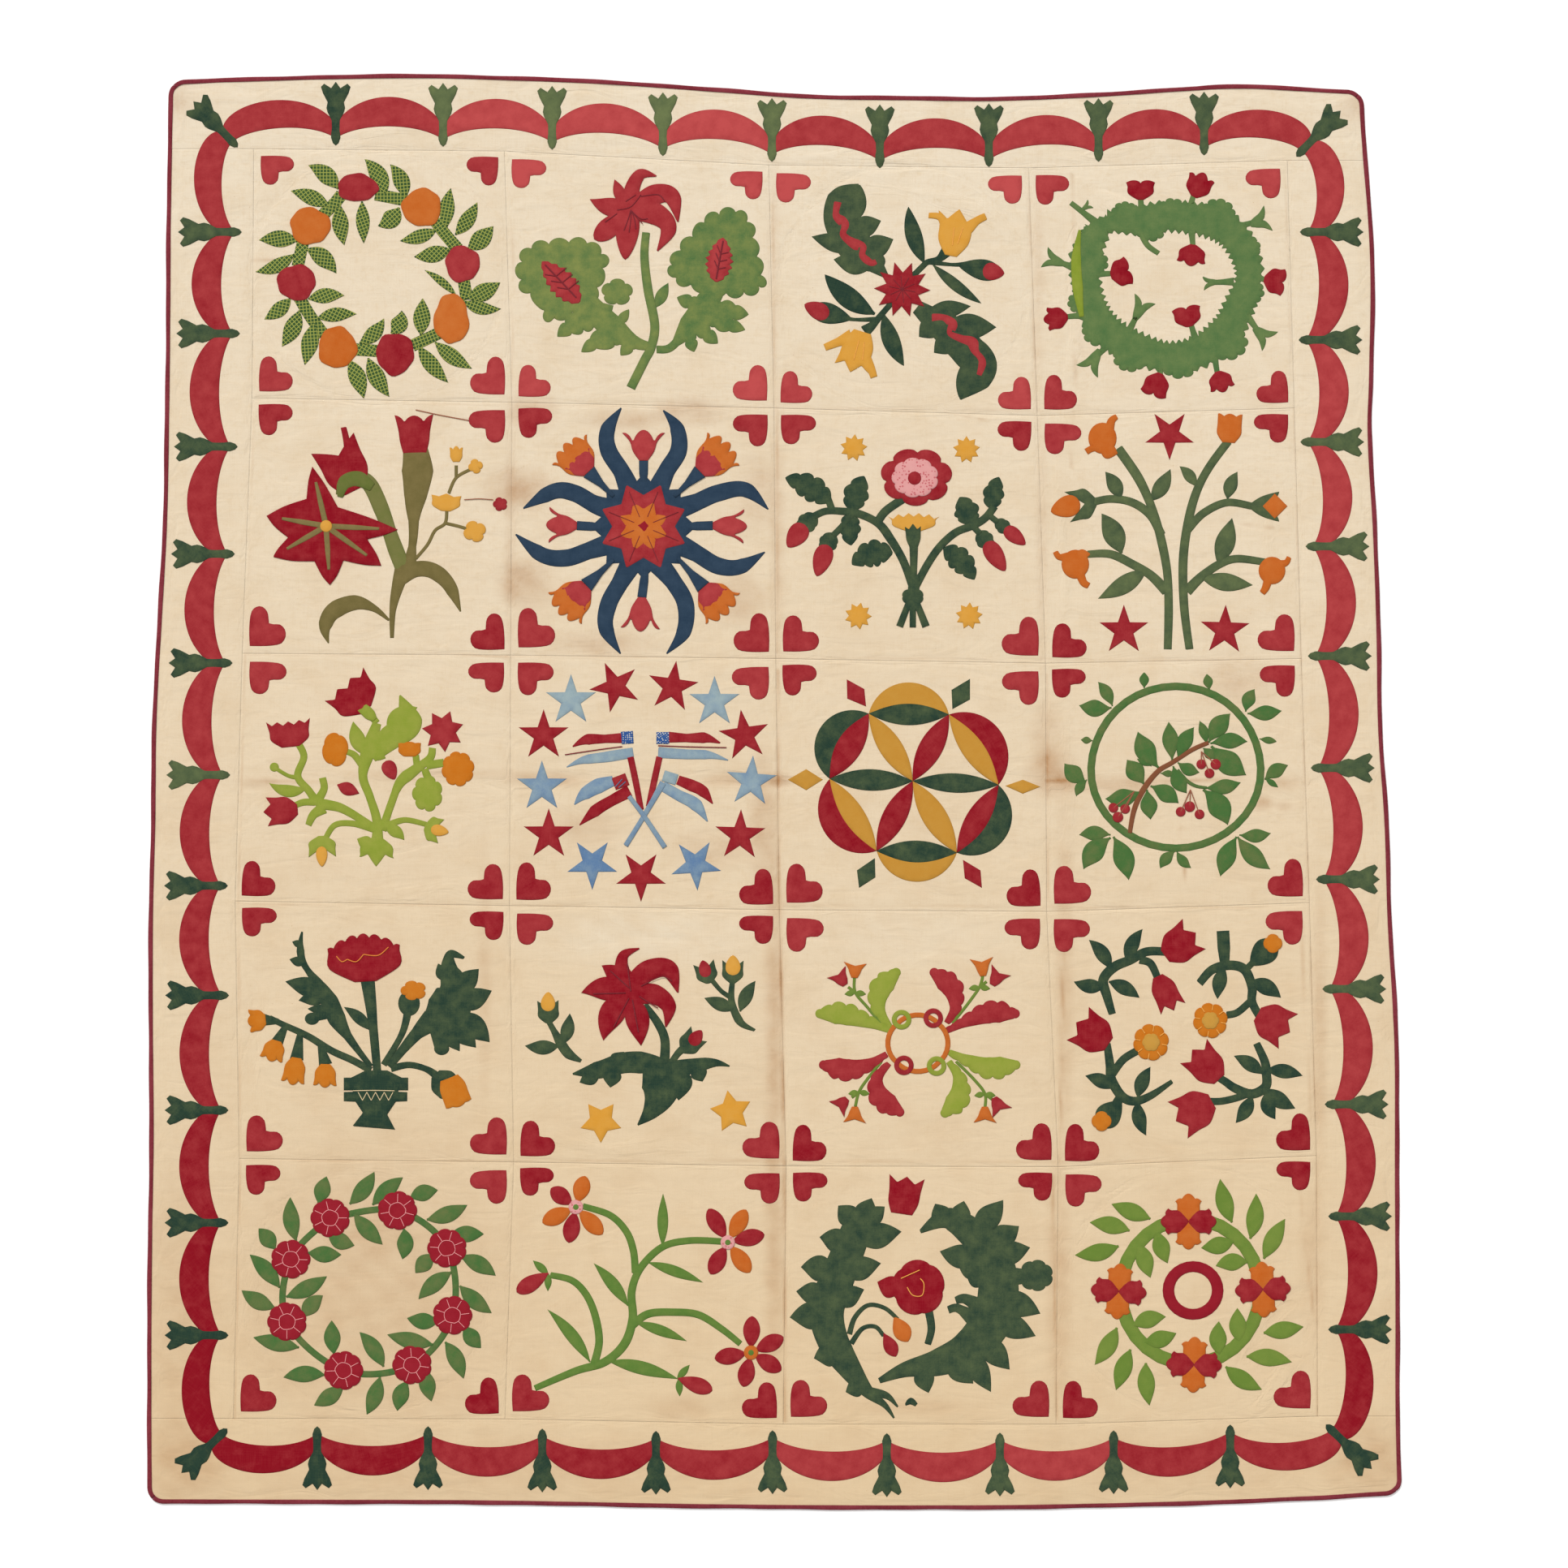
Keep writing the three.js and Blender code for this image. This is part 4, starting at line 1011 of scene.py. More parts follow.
def amaryllis(c):
    """A six-petalled red flower and two red tulips on thick olive stems, with a spray of small flowers."""
    c.sew(
        "olive",
        stem(
            [(55, 51), (57.5, 43.5), (65, 41), (72, 45), (79, 60), (86, 80), (91.5, 94)],
            [5, 8, 9, 9, 8, 9, 9],
        ),
        fade=0.65,
    )
    c.sew(
        "bronze",
        stem([(97.5, 23), (99, 36), (98, 50), (97, 60), (96.5, 76), (94, 94)], [13.5, 18, 13, 6, 4.5, 9]),
        stem([(92.5, 88), (88, 102), (85, 116), (84.5, 132)], [11, 7, 3.6, 2.2]),
        stem([(89, 98), (98, 93), (108, 94), (117, 102), (123.5, 117)], [9, 9, 9, 7, 0.8]), fade=0.35,
    )
    c.sew(
        "bronze",
        stem(
            [(83, 122), (74, 115), (63, 112), (51, 117), (46.5, 126), (48.5, 135)],
            [1.4, 4, 8.6, 10, 8, 0.6],
        ),
    )
    c.sew(
        "red", bloom((64, 48), (50, 20), 27, 2, 0.3, 0.5, 0.9, 0.05),
        stem([(60, 36), (59, 22), (57, 12.3)], [13, 4, 3.2]), layer=1, fade=0.12, puff=0.6,
    )
    c.sew("olive", stem([(55, 52), (57.5, 44), (65, 41.5), (73.5, 46.5)], [3, 8.6, 9, 5]), layer=3, fade=0.2)
    c.sew(
        "red", bloom((97.5, 27), (97, 5.7), 22, 3, 0.2, 0.6, 0.75, -0.02, False), layer=1, fade=0.2,
        puff=0.5,
    )
    middle = (47.2, 68.5)
    tips = [(39.3, 34.7), (88, 70.5), (78.5, 91), (49.3, 102), (17, 86), (13.3, 62.7)]
    valleys = [(53.8, 57.7), (70.5, 76), (57, 88), (40.5, 88.5), (25.5, 75), (36, 53)]
    c.sew("red", pointed_star(middle, tips, valleys, 1.4), layer=3, fade=0.06, puff=0.7)
    for tip in tips:
        near, far = ([middle[k] + share * (tip[k] - middle[k]) for k in (0, 1)] for share in (0.08, 0.74))
        c.sew("bronze", stem([near, far], [3.2, 3.0, 1.6]), layer=6, fade=0.9)
    c.sew("yellow", disc(middle, 3.4), layer=7, puff=0.4)
    spray = [
        [(98, 87), (104.7, 79), (109, 71), (114.7, 66.8), (115.7, 59)],
        [(116.7, 50), (121, 41), (129.7, 36)], [(121, 41), (121, 34)],
        [(114.7, 66.8), (122, 68.5), (127, 70)],
    ]
    c.each("bronze", [stem(points, 1.9) for points in spray], fade=0.6)
    c.sew("yellow", bloom((115, 60), (115.5, 50), 17, 3, 0.15, 0.3, 0.9, 0.1), layer=1, fade=0.3)
    c.sew("yellow", bloom((121, 32), (121, 23), 7.5, 3, 0.25, 0.5, 0.9, 0.1, False), layer=1)
    c.sew("yellow", disc((132, 34.5), 4.2, 4.2, 4, 0.25, 30), layer=1)
    c.sew("yellow", disc((131.5, 71.5), 6.6, 6.2, 4, 0.25, 20), layer=2)
    c.sew("red", disc((146, 56), 4.2, 4, 5, 0.2), layer=1, fade=0.3)
    c.stitch("thread_brown", [(125.5, 53.5), (134, 53), (142, 53.5)], 1.6, 1)
    c.stitch("thread_brown", [(98, 2.5), (112, 5.5), (128, 8.5)], 1.8, 0)


def star_and_plumes(c):
    """An eight-pointed star in three colours, with navy plumes and flowers all round."""
    middle = (77.5, 75.5)
    plumes = [
        [(70, 56), (65, 44), (57, 31), (56.5, 19), (64.5, 6)],
        [(85, 56), (91, 43), (98, 31), (97, 18), (89, 7.5)],
        [(60, 66), (49, 62.5), (37, 56), (25, 55), (7, 65)],
        [(60, 85), (46, 89.5), (32, 94), (18, 92), (2.5, 80)],
        [(95, 66), (108, 61.5), (121, 56), (137, 54), (150.5, 65.5)],
        [(96, 85), (108, 91), (121, 98.5), (134, 99), (148.5, 90.5)],
        [(71, 96), (64, 108), (57, 121), (55.5, 135), (64, 150)],
        [(85, 96), (95, 108), (102, 121), (101, 137), (91, 150)],
    ]
    arms = [stem(points, [13, 10, 10, 8.6, 0.8]) for points in plumes]
    c.sew("navy", star(middle, 31, 23, 8, 0), *arms, layer=0, fade=0.25, puff=0.5)
    flowers = [((60, 58), (45.5, 43.5), (31, 27)), ((95.5, 58), (110.5, 43.5), (128, 26.5)),
               ((60, 95), (44, 110), (28, 127)), ((97.5, 94), (112.5, 111), (127, 127))]
    for base, cup, tip in flowers:
        c.sew("orange", bloom(cup, tip, 27, 5, 0.2, 0.3, 0.72, 0.22, False), layer=2, fade=0.3, puff=0.5)
        inner = (cup[0] + 0.6 * (tip[0] - cup[0]), cup[1] + 0.6 * (tip[1] - cup[1]))
        c.sew("red", bloom(cup, inner, 20, 5, 0.12, 0.4, 0.75, 0.2, False), layer=3, fade=0.55)
        c.sew("navy", stem([base, cup], [2, 4, 9]), layer=4)
    buds = [((77.5, 52), (77.5, 37), (77.5, 19), 25), ((56, 76), (38.5, 75), (20.5, 74.5), 21),
            ((99.5, 75.5), (118, 75), (138, 75.5), 20), ((79, 98), (76.5, 117), (75.5, 137), 23)]
    for base, cup, tip, width in buds:
        c.sew("navy", stem([base, cup], [3, 5.2, 5.4]), layer=1)
        c.sew("red", bloom(cup, tip, width, 3, 0.42, 0.2, 0.5, 0.1, False), layer=2, fade=0.62)
    c.sew("red", star(middle, 26.5, 18.5, 8, 22.5), layer=2, fade=0.4, puff=0.5)
    c.sew("orange", star(middle, 17, 11, 8, 22.5), layer=3, fade=0.35, puff=0.5)
    c.sew("crimson", star(middle, 6.5, 3.6, 4, 0), layer=4, fade=0.2)
    for k in range(8):
        angle = math.radians(45 * k + 22.5)
        near, far = 6, 22
        c.stitch(
            "thread_dark",
            [(middle[0] + r * math.cos(angle), middle[1] + r * math.sin(angle)) for r in (near, far)], 1.2,
            4,
        )


def tied_roses(c):
    """Three stems tied in a knot, with a rose, buds, scalloped leaves and four small stars."""
    c.sew("green", stem([(81, 104), (75, 88), (68, 76), (61, 67), (50, 61.5), (40, 60), (31, 60), (24, 63)],
                        [5, 4.6, 4.6, 5, 4.5, 4.5, 4, 4]), stem([(60, 67), (65, 60), (75, 53)], 4.8),
          stem([(46, 62), (40, 69), (35, 74)], 3.6), stem([(35, 60), (32, 52)], 4), layer=1, fade=0.2)
    c.sew("green", stem([(82, 103), (89, 90), (96, 80), (105, 72), (115, 68), (122, 63.5), (127, 57)], 4.4),
          stem([(114, 68), (119, 73)], 3.6), stem([(123.5, 62), (129, 66.5)], 3.4), layer=1, fade=0.2)
    c.sew(
        "green", stem([(80.5, 106), (81, 90), (81, 78)], [4, 4, 5]),
        bloom((81, 80), (80.5, 66.5), 10, 3, 0.25, 0.5, 0.8), layer=2, fade=0.25,
    )
    leaves = [
        ((33.5, 55), (8, 41), 15.5, 4, 2), ((46, 60), (53, 40), 15, 3, -1),
        ((46, 61), (45.5, 79.5), 13, 3, 1), ((69, 84), (46, 90.5), 16, 4, 3),
        ((98, 81), (115.5, 99), 14.5, 4, -2), ((113, 68), (107, 52), 15, 3, 1),
        ((125.5, 59), (129.5, 40.5), 12.5, 3, -1),
    ]
    for base, tip, width, lobes, bend in leaves:
        c.sew("green", toothed(base, tip, width, lobes, 0.26, bend, False), fade=0.15)
    buds = [((26, 62), (14, 72), (9.5, 80.5), 11.5), ((36, 72.5), (28.5, 84), (26, 97), 11),
            ((117.5, 71.5), (126, 82), (133, 94), 10.5), ((127.5, 65), (137, 73), (144.5, 79), 8.5)]
    for base, cup, tip, width in buds:
        c.sew("green", toothed(base, cup, width, 3, 0.15, 0, False), fade=0.2)
        start = (base[0] + 0.55 * (cup[0] - base[0]), base[1] + 0.55 * (cup[1] - base[1]))
        c.sew("red", bud(start, tip, width), layer=1, fade=0.35, puff=0.5)
    c.sew("green", disc((80.5, 108.5), 6.3, 5.2, 6, 0.1), stem([(81.5, 96), (80.5, 112)], [6, 7]),
          stem([(79, 110), (73, 125.5)], [3.5, 4]), stem([(80.5, 110), (80.5, 126)], 3.6),
          stem([(82, 110), (88, 125.5)], [3.5, 4.4]), layer=2, fade=0.2)
    c.sew("yellow", bloom((81, 71.5), (81, 61), 29, 6, 0.2, 0.25, 0.8, 0.2), layer=1)
    c.sew("red", disc((82.5, 40.5), 20.5, 16.5, 7, 0.16, 15), layer=2, fade=0.28, puff=0.7)
    c.sew("pink", disc((81.8, 41), 13.4, 11.4, 9, 0.1), layer=6, puff=0.4)
    c.sew("red", disc((81.5, 41.3), 3.8), layer=8, fade=0.2, puff=0.5)
    for x, y, turn in ((47, 24, 5), (111, 25, 0), (49.5, 119.5, 12), (112.5, 119.5, 3)):
        c.sew("yellow", star((x, y), 7.8, 5.3, 9, turn), fade=0.2, puff=0.5)


def twin_stems(c):
    """Two tall stems side by side with orange flowers and three red stars."""
    left = [
        stem(
            [(75.5, 139), (76, 115), (75, 95), (71, 75), (66, 59), (59, 44), (48, 28)],
            [4.4, 4.8, 4.6, 5, 4.6, 5.4, 5.4],
        ),
        stem([(72, 76), (66, 65), (56, 58), (44, 56), (33, 58)], [5, 4.8, 4.4, 4.2]),
        stem([(75, 107), (66, 98), (56, 92), (44, 86.5), (31, 86.5)], [6, 4.8, 4.8, 4]),
    ]
    right = [
        stem(
            [(87.5, 139), (84.5, 115), (84, 90), (86.5, 70), (91, 53), (98, 39), (109, 24)],
            [4.4, 4.8, 5, 5, 4.6, 4.6],
        ),
        stem([(86.5, 73), (95, 64), (108, 58), (122, 60)], [4.6, 4.4, 4]),
        stem([(86, 107), (94, 99), (104, 92), (114, 89), (130, 91)], [6, 4.8, 4.4, 4]),
    ]
    c.sew("green", *left, fade=0.6)
    c.sew("green", *right, fade=0.55)
    leaves = [((50, 86), (39, 64), 12, 1), ((64, 94.5), (37, 111), 10, -1), ((49.5, 56), (41, 41), 8.4, 1),
              ((66, 57), (77, 39.5), 8.6, 1), ((91, 49), (82, 38), 6.4, 1), ((108.5, 56), (114, 41), 7.6, -1),
              ((103, 92), (111, 66.5), 11, 0.5), ((94, 99.5), (122.5, 103.5), 10, 0.5)]
    c.each("green", [leaf(*row) for row in leaves], fade=0.5)
    c.sew("green", calyx((36, 57.5), (20, 60.5), 17, 0.6), fade=0.4)
    c.sew(
        "green", bladed((120, 60), (137, 52), 6.5, 1.5, 0.9, 0.8),
        bladed((120, 60), (137, 68.5), 6.5, -1.5, 0.9, 0.8), fade=0.45,
    )
    c.sew("orange", bud((27, 58), (11, 63), 12), layer=1, fade=0.2)
    c.sew("orange", star((134.5, 60), 7, 5, 4, 0), layer=1, fade=0.3)
    c.sew(
        "orange", disc((39.5, 22.5), 7.8, 8.6), stem([(43, 19), (44.5, 13), (47.5, 10.5)], [5.5, 4.6, 3]),
        stem([(37, 27), (33, 28.5), (30.5, 30)], [5, 3.6, 3.6]), leaf((38, 28), (48, 31), 9), layer=1,
        fade=0.2, puff=0.6,
    )
    c.sew(
        "orange", bloom((109, 25), (110, 9), 13.5, 3, 0.12, 0.5, 0.98, 0.0, False), layer=1, fade=0.25,
        puff=0.6,
    )
    c.sew(
        "orange", disc((24.5, 92), 7.6, 8), stem([(20, 88), (15.5, 88), (13.5, 85)], [5, 3.4, 3]),
        stem([(27, 97), (29, 102), (32, 104)], [5, 4.4, 3.4]), leaf((24, 87), (33, 86.5), 6), layer=1,
        fade=0.2, puff=0.6,
    )
    c.sew("orange", disc((133, 95.5), 7.4, 7.6), stem([(138, 92), (141, 91), (142.5, 88)], [4.5, 3.4, 2.6]),
          stem([(131, 100), (129.5, 105), (127.5, 108)], [5, 4.4, 3.4]), layer=1, fade=0.2, puff=0.6)
    for x, y, turn in ((76.5, 20.5, 180), (51.3, 128.5, 0), (107, 128.5, 2)):
        c.sew("red", star((x, y), 14.2, 5.6, 5, turn), fade=0.25, puff=0.4)


def lime_bush(c):
    """A lime green bush with red, orange and yellow flowers."""
    bush = [
        stem([(76, 116), (76, 98), (72, 84), (68, 72), (71, 58), (76, 42)], [8, 5.4, 4.6, 5, 9, 5]),
        stem([(72, 60), (84, 50), (94, 42), (89, 26)], [10, 14, 15, 0.8]), leaf((84, 50), (99, 33), 13, -3),
        leaf((69, 60), (62.5, 41), 9, -1), stem([(76, 42), (71, 36), (66, 32)], [4, 4, 8]),
        stem([(67.5, 66), (63, 60), (58, 58)], [4, 4, 3.2]), leaf((72, 58), (81, 62), 7),
        stem(
            [(76, 103), (66, 96), (55, 90), (43, 87), (37, 80), (31, 72), (34.5, 61), (31, 53)],
            [5, 4.4, 5, 6, 4.4, 4.2, 4, 4],
        ),
        leaf((36, 79), (14.7, 76), 7, -3), stem([(33, 73), (26, 72), (19, 68)], [3, 2.2, 2.2]),
        disc((17.7, 67), 2.6), stem([(43, 85), (46, 79), (45, 73)], [5, 4.2, 4]),
        stem([(46, 90), (40, 94), (37, 100)], [7, 5, 3.6]),
        stem([(41, 87), (34, 87), (28, 89.5)], [4, 4, 3.4]),
        stem([(79, 103), (84, 88), (89, 76), (97, 69), (106, 62), (107.5, 56)], [5, 4.4, 4.4, 7, 5, 4]),
        stem([(99, 69), (98, 60)], 3.8), stem([(104, 66), (114, 64.5)], [5, 4.6]),
        stem([(103, 68), (106, 76)], [4, 5]), disc((104.7, 82), 8.8, 10.4, 7, 0.16),
        stem([(74, 102), (62, 99), (52, 100), (46.5, 108)], [4.4, 3.6, 3.4, 3.2]),
        stem([(82, 100), (92, 97), (104, 99.5)], [4, 3.2, 3]), leaf((80, 101), (91.5, 108.5), 7, -1.5),
        bloom((76, 107), (75.5, 123.5), 20, 3, 0.35, 0.3, 0.9, 0.3), leaf((74, 112), (64.7, 107.7), 8),
    ]
    c.sew("lime", *bush, fade=0.3)
    c.sew("lime", calyx((44.7, 106), (45, 118), 15.5, 0.45), layer=1, fade=0.4)
    c.sew("lime", calyx((103, 101), (112.5, 103.5), 14, 0.4), layer=1, fade=0.4)
    c.sew("yellow", bud((44.5, 112), (44.8, 123.5), 6.5), layer=2)
    c.sew("yellow", bud((106.5, 102), (116.7, 104), 6.5), layer=2)
    c.sew("red", bloom((70, 34.5), (57, 19.5), 29, 4, 0.18, 0.25, 0.85, 0.02), layer=1, fade=0.1, puff=0.5)
    c.sew("lime", bloom((75, 40), (66, 31.5), 7, 2, 0.2, 0.4, 0.9, 0.1), layer=2, fade=0.2)
    c.sew("red", bloom((27, 55.5), (25.5, 41), 25, 5, 0.15, 0.4, 0.85, -0.05), layer=1, fade=0.25, puff=0.5)
    c.sew("red", bloom((31, 91), (11.5, 92.5), 16.5, 3, 0.2, 0.35, 0.9, 0.1), layer=1, fade=0.25, puff=0.5)
    c.sew("red", star((113.5, 46.5), 12, 7.4, 7, 20), layer=1, fade=0.35, puff=0.5)
    c.sew("red", leaf((53.5, 77), (66, 82), 7.5), layer=1, fade=0.25)
    c.sew("red", bud((81, 63.5), (86, 74), 8.5), layer=1, fade=0.35)
    c.sew("amber", disc((52.3, 57), 7.6, 9.8, 4, 0.12, 20), layer=1, fade=0.1, puff=0.5)
    c.sew("amber", bloom((94.5, 61), (94.5, 52.5), 13, 3, 0.1, 0.5, 0.95, 0.1, False), layer=1, fade=0.1)
    c.sew("amber", disc((122, 68), 9.4, 10, 8, 0.12, 10), layer=1, fade=0.1, puff=0.5)


def flags_and_stars(c):
    """Two pairs of crossed flags on red and blue poles, inside a ring of red and blue stars."""
    reds = [
        (61, 22, -24), (94.5, 22, 8), (19, 50.5, 0), (136.5, 50.5, -8), (22, 108.5, 0), (134, 109, 2),
        (76, 132.5, 180),
    ]
    blues = [(35, 30, 0), (119, 31, 0), (18, 80.5, 0), (140.5, 77.5, 4), (47.5, 125.5, 180), (108, 126, 176)]
    for x, y, turn in reds:
        c.sew("red", star((x, y), 15.4, 6, 5, turn), fade=0.22, puff=0.4)
    for k, (x, y, turn) in enumerate(blues):
        c.sew(
            "blue", star((x, y), 15.4, 6, 5, turn), fade=(0.9, 0.8, 0.4, 0.6, 0.1, 0.15)[k], puff=0.4,
            turn=20 * k,
        )
    c.sew("red", stem([(65, 52), (54, 52.5), (44, 53), (36, 57)], [6, 5, 6.5, 0.8]), fade=0.2)
    c.sew("red", stem([(92, 51.5), (104, 52), (114, 52), (122.5, 55)], [6.5, 5, 6.5, 0.8]), fade=0.2)
    c.sew("blue", stem([(71.5, 60.5), (56, 63), (42, 65), (32.5, 69)], [6, 6.5, 5.5, 0.6]), fade=0.7)
    c.sew("blue", stem([(86, 60.5), (102, 61.5), (116, 62), (127, 65)], [6.5, 6, 5.5, 0.6]), fade=0.7)
    c.sew("blue", stem([(60, 77), (50, 80.5), (42, 85.5), (37, 91)], [6, 9, 7.5, 0.6]), fade=0.4)
    c.sew("red", stem([(69.5, 83), (60, 88), (50, 94), (40, 103)], [7.5, 6.5, 7, 0.6]), fade=0.1)
    c.sew("red", stem([(97.5, 76.5), (105, 79.5), (112, 83), (118, 90.5)], [5.5, 7, 6.5, 0.6]), fade=0.2)
    c.sew("blue", stem([(88.5, 80), (98, 85.5), (108, 91), (115, 101)], [6, 6.5, 7.5, 0.6]), fade=0.6)
    c.each("blue_print", [stem([(64.5, 52), (71.5, 51.5)], 7.4), stem([(85, 52), (92.5, 52)], 7)], layer=1)
    c.sew("blue", stem([(89, 74), (97, 76.5)], 6.5), layer=1, fade=0.9)
    c.sew("red", stem([(60, 79), (68, 76)], 7.4), layer=1, fade=0.3)
    c.stitch("thread_blue", [(61, 80.5), (65, 76)], 1.6, 2)
    c.stitch("thread_blue", [(63, 81), (67, 77.5)], 1.6, 2)
    for line in ([(31.5, 61.8), (50, 59), (65, 57)], [(86, 56.5), (105, 57.2), (126, 57.6)]):
        c.stitch("thread_dark", line, 2.0, 0)
    c.sew("red", stem([(69.8, 63), (73, 78), (76, 94)], [3.8, 3.8, 3.4]), layer=1, fade=0.2)
    c.sew("red", stem([(86.8, 63), (83.5, 78), (80.5, 92)], [3.8, 3.8, 3.4]), layer=1, fade=0.25)
    c.sew("blue", stem([(89, 78), (77.5, 98), (67, 115)], [4, 2.8, 3]), layer=2, fade=0.5)
    c.sew("blue", stem([(69, 86), (78, 98), (90, 116)], [2.6, 2.8, 3]), layer=3, fade=0.5)


def petal_rosette(c):
    """A rosette of arcs in four colours on a six-sided plan, with small diamonds round it."""
    middle = (80.5, 70.3)
    a, b, d, e, f, g = (55.5, 32), (101, 32.5), (129.2, 72.5), (105.5, 111), (60, 110), (33.3, 69)
    caps = [
        ("gold", a, b, 18), ("red", b, d, 18.5), ("green", d, e, 19), ("gold", e, f, 17), ("red", f, g, 19),
        ("green", g, a, 19.5),
    ]
    for k, (cloth, start, end, bulge) in enumerate(caps):
        c.sew(cloth, bow(start, end, -bulge), fade=0.12, turn=30 * k, puff=0.4)
    edges = [
        ("green", a, b, 12.6), ("gold", b, d, 13), ("red", d, e, 13), ("green", e, f, 12.8),
        ("gold", f, g, 12.6), ("red", g, a, 15),
    ]
    for k, (cloth, start, end, width) in enumerate(edges):
        c.sew(cloth, lens(start, end, width), layer=1, fade=0.16, turn=25 * k, puff=0.4)
    inner = [
        ("gold", a, 13), ("red", b, 13.5), ("green", d, 11), ("gold", e, 14), ("red", f, 13.5),
        ("green", g, 12.2),
    ]
    for k, (cloth, end, width) in enumerate(inner):
        c.sew(cloth, lens(middle, end, width), layer=1, fade=0.14, turn=40 * k, puff=0.4)
    diamonds = [
        ("red", [(43, 12.5), (53, 18), (54, 28), (43.3, 23.5)]),
        ("green", [(113, 12.2), (113, 24), (103, 29.5), (102.5, 18.5)]),
        ("green", [(59, 114), (59.3, 125), (50, 131), (48.8, 121)]),
        ("red", [(109, 115), (119, 121), (119.8, 131), (110, 125.5)]),
        ("gold", [(9.5, 69.5), (20, 63.5), (29.5, 69.5), (20, 75.5)]),
        ("gold", [(133, 73), (143, 69.5), (153, 73.5), (143, 77.5)]),
    ]
    for cloth, corners in diamonds:
        c.sew(cloth, np.array(corners, dtype=float), fade=0.25)


def cherry_branch(c):
    """A ring with small leaves outside it, and a branch with cherries inside."""
    angle = np.linspace(0, 2 * np.pi, 40, endpoint=False)
    wide = 46.8 + 0.5 * np.sin(3 * angle)
    ring = [(80 + (wide[k] + w) * math.cos(t), 61 + (45 + w) * math.sin(t) * (0.985 if t < 3.1 else 1.0))
            for w in (2.1, -2.1) for k, t in enumerate(angle)]
    c.sew("wreath_green", np.array(ring[:40]), holes=[np.array(ring[40:])], fade=0.25)
    outside = [
        ((44.5, 27.8), (26.5, 26.5), 9.5, -1), ((45, 27), (37, 13.5), 7, 1),
        ((62.5, 17), (62.5, 8), 5.4, 0), ((98.5, 18), (97, 9), 5.4, 0),
        ((118.5, 30), (123.5, 17.5), 7.6, -1), ((119.5, 31), (138.5, 29.5), 8.4, 0.5),
        ((126, 45), (136, 46.5), 4, 0), ((129, 67.5), (142, 59.5), 8, -1),
        ((129, 66.5), (136.5, 71.8), 3.4, 0), ((115, 98), (132.5, 97), 7.6, 1),
        ((114, 99), (132.2, 117), 10, 1.5), ((113.5, 99), (104.5, 121), 10.4, 1),
        ((79.5, 107), (71.3, 116.5), 6.6, 1), ((80.5, 107), (88.5, 116.3), 5.6, 1),
        ((45.5, 99), (54, 123), 11.6, -1.5), ((44, 99.5), (29, 117), 11.6, 2),
        ((44, 98), (26.5, 98), 8.2, 1), ((31, 67.5), (25, 76.8), 5.4, 1),
        ((30.5, 69), (18.5, 58.5), 9.8, -1), ((34, 46), (27.5, 45.5), 4, 0),
    ]
    c.each("wreath_green", [bladed(*row, 1.05, 1.15) for row in outside], fade=0.2)
    c.sew(
        "brown",
        stem([(54.5, 97), (57, 84), (62, 73), (70, 63), (78, 58), (89, 51), (98, 47)], [2.4, 3.2, 2.6, 2.4]),
        layer=1,
    )
    c.sew("wreath_green", stem([(81, 62), (86, 68), (91, 71), (97, 72)], [1.6, 2, 1.6]), layer=1)
    inside = [
        ((61, 74), (41, 78), 10, -1.5), ((62.5, 70), (53, 56.5), 10.5, 0), ((66.5, 60), (58.5, 56), 3.6, 0),
        ((70.5, 61), (59, 41), 11.6, -1.5), ((78, 57), (76, 35.5), 9, 0), ((81, 56), (90, 38.5), 8.6, -1),
        ((97, 48), (93, 35), 5.4, 0.5), ((98, 47), (110, 31), 10.4, -1), ((99, 47.5), (119.5, 46.5), 8.8, -1),
        ((99.5, 49), (118.8, 65), 13, 1), ((95, 50), (101.5, 56), 5.8, 0), ((78.5, 60), (86, 75), 9, 1),
        ((81, 58), (93, 63.5), 7, 1), ((71.5, 64), (79.5, 64.2), 3.8, 0), ((66, 71), (81.5, 80.5), 9.6, -1),
        ((64, 73), (66, 89.5), 9.4, 0), ((96, 72), (115.8, 69), 8.2, 1), ((95, 73), (108.6, 92.5), 12.6, -2),
    ]
    c.each("wreath_green", [bladed(*row, 1.1, 1.15) for row in inside], layer=1, fade=0.15)
    cherries = [
        ((57, 74), [(45.5, 83), (48, 88.2), (52, 83.6)]), ((94, 52), [(94, 59), (102, 59), (98.5, 64)]),
        ((88, 73), [(82.6, 85.2), (87.6, 82.4), (93, 86.6)]),
    ]
    for base, places in cherries:
        for k, place in enumerate(places):
            c.stitch("thread_brown", [base, place], 1.8, 1)
            c.sew("red", disc(place, 2.7 + 0.25 * (k % 2)), layer=2, fade=0.3, puff=0.9)


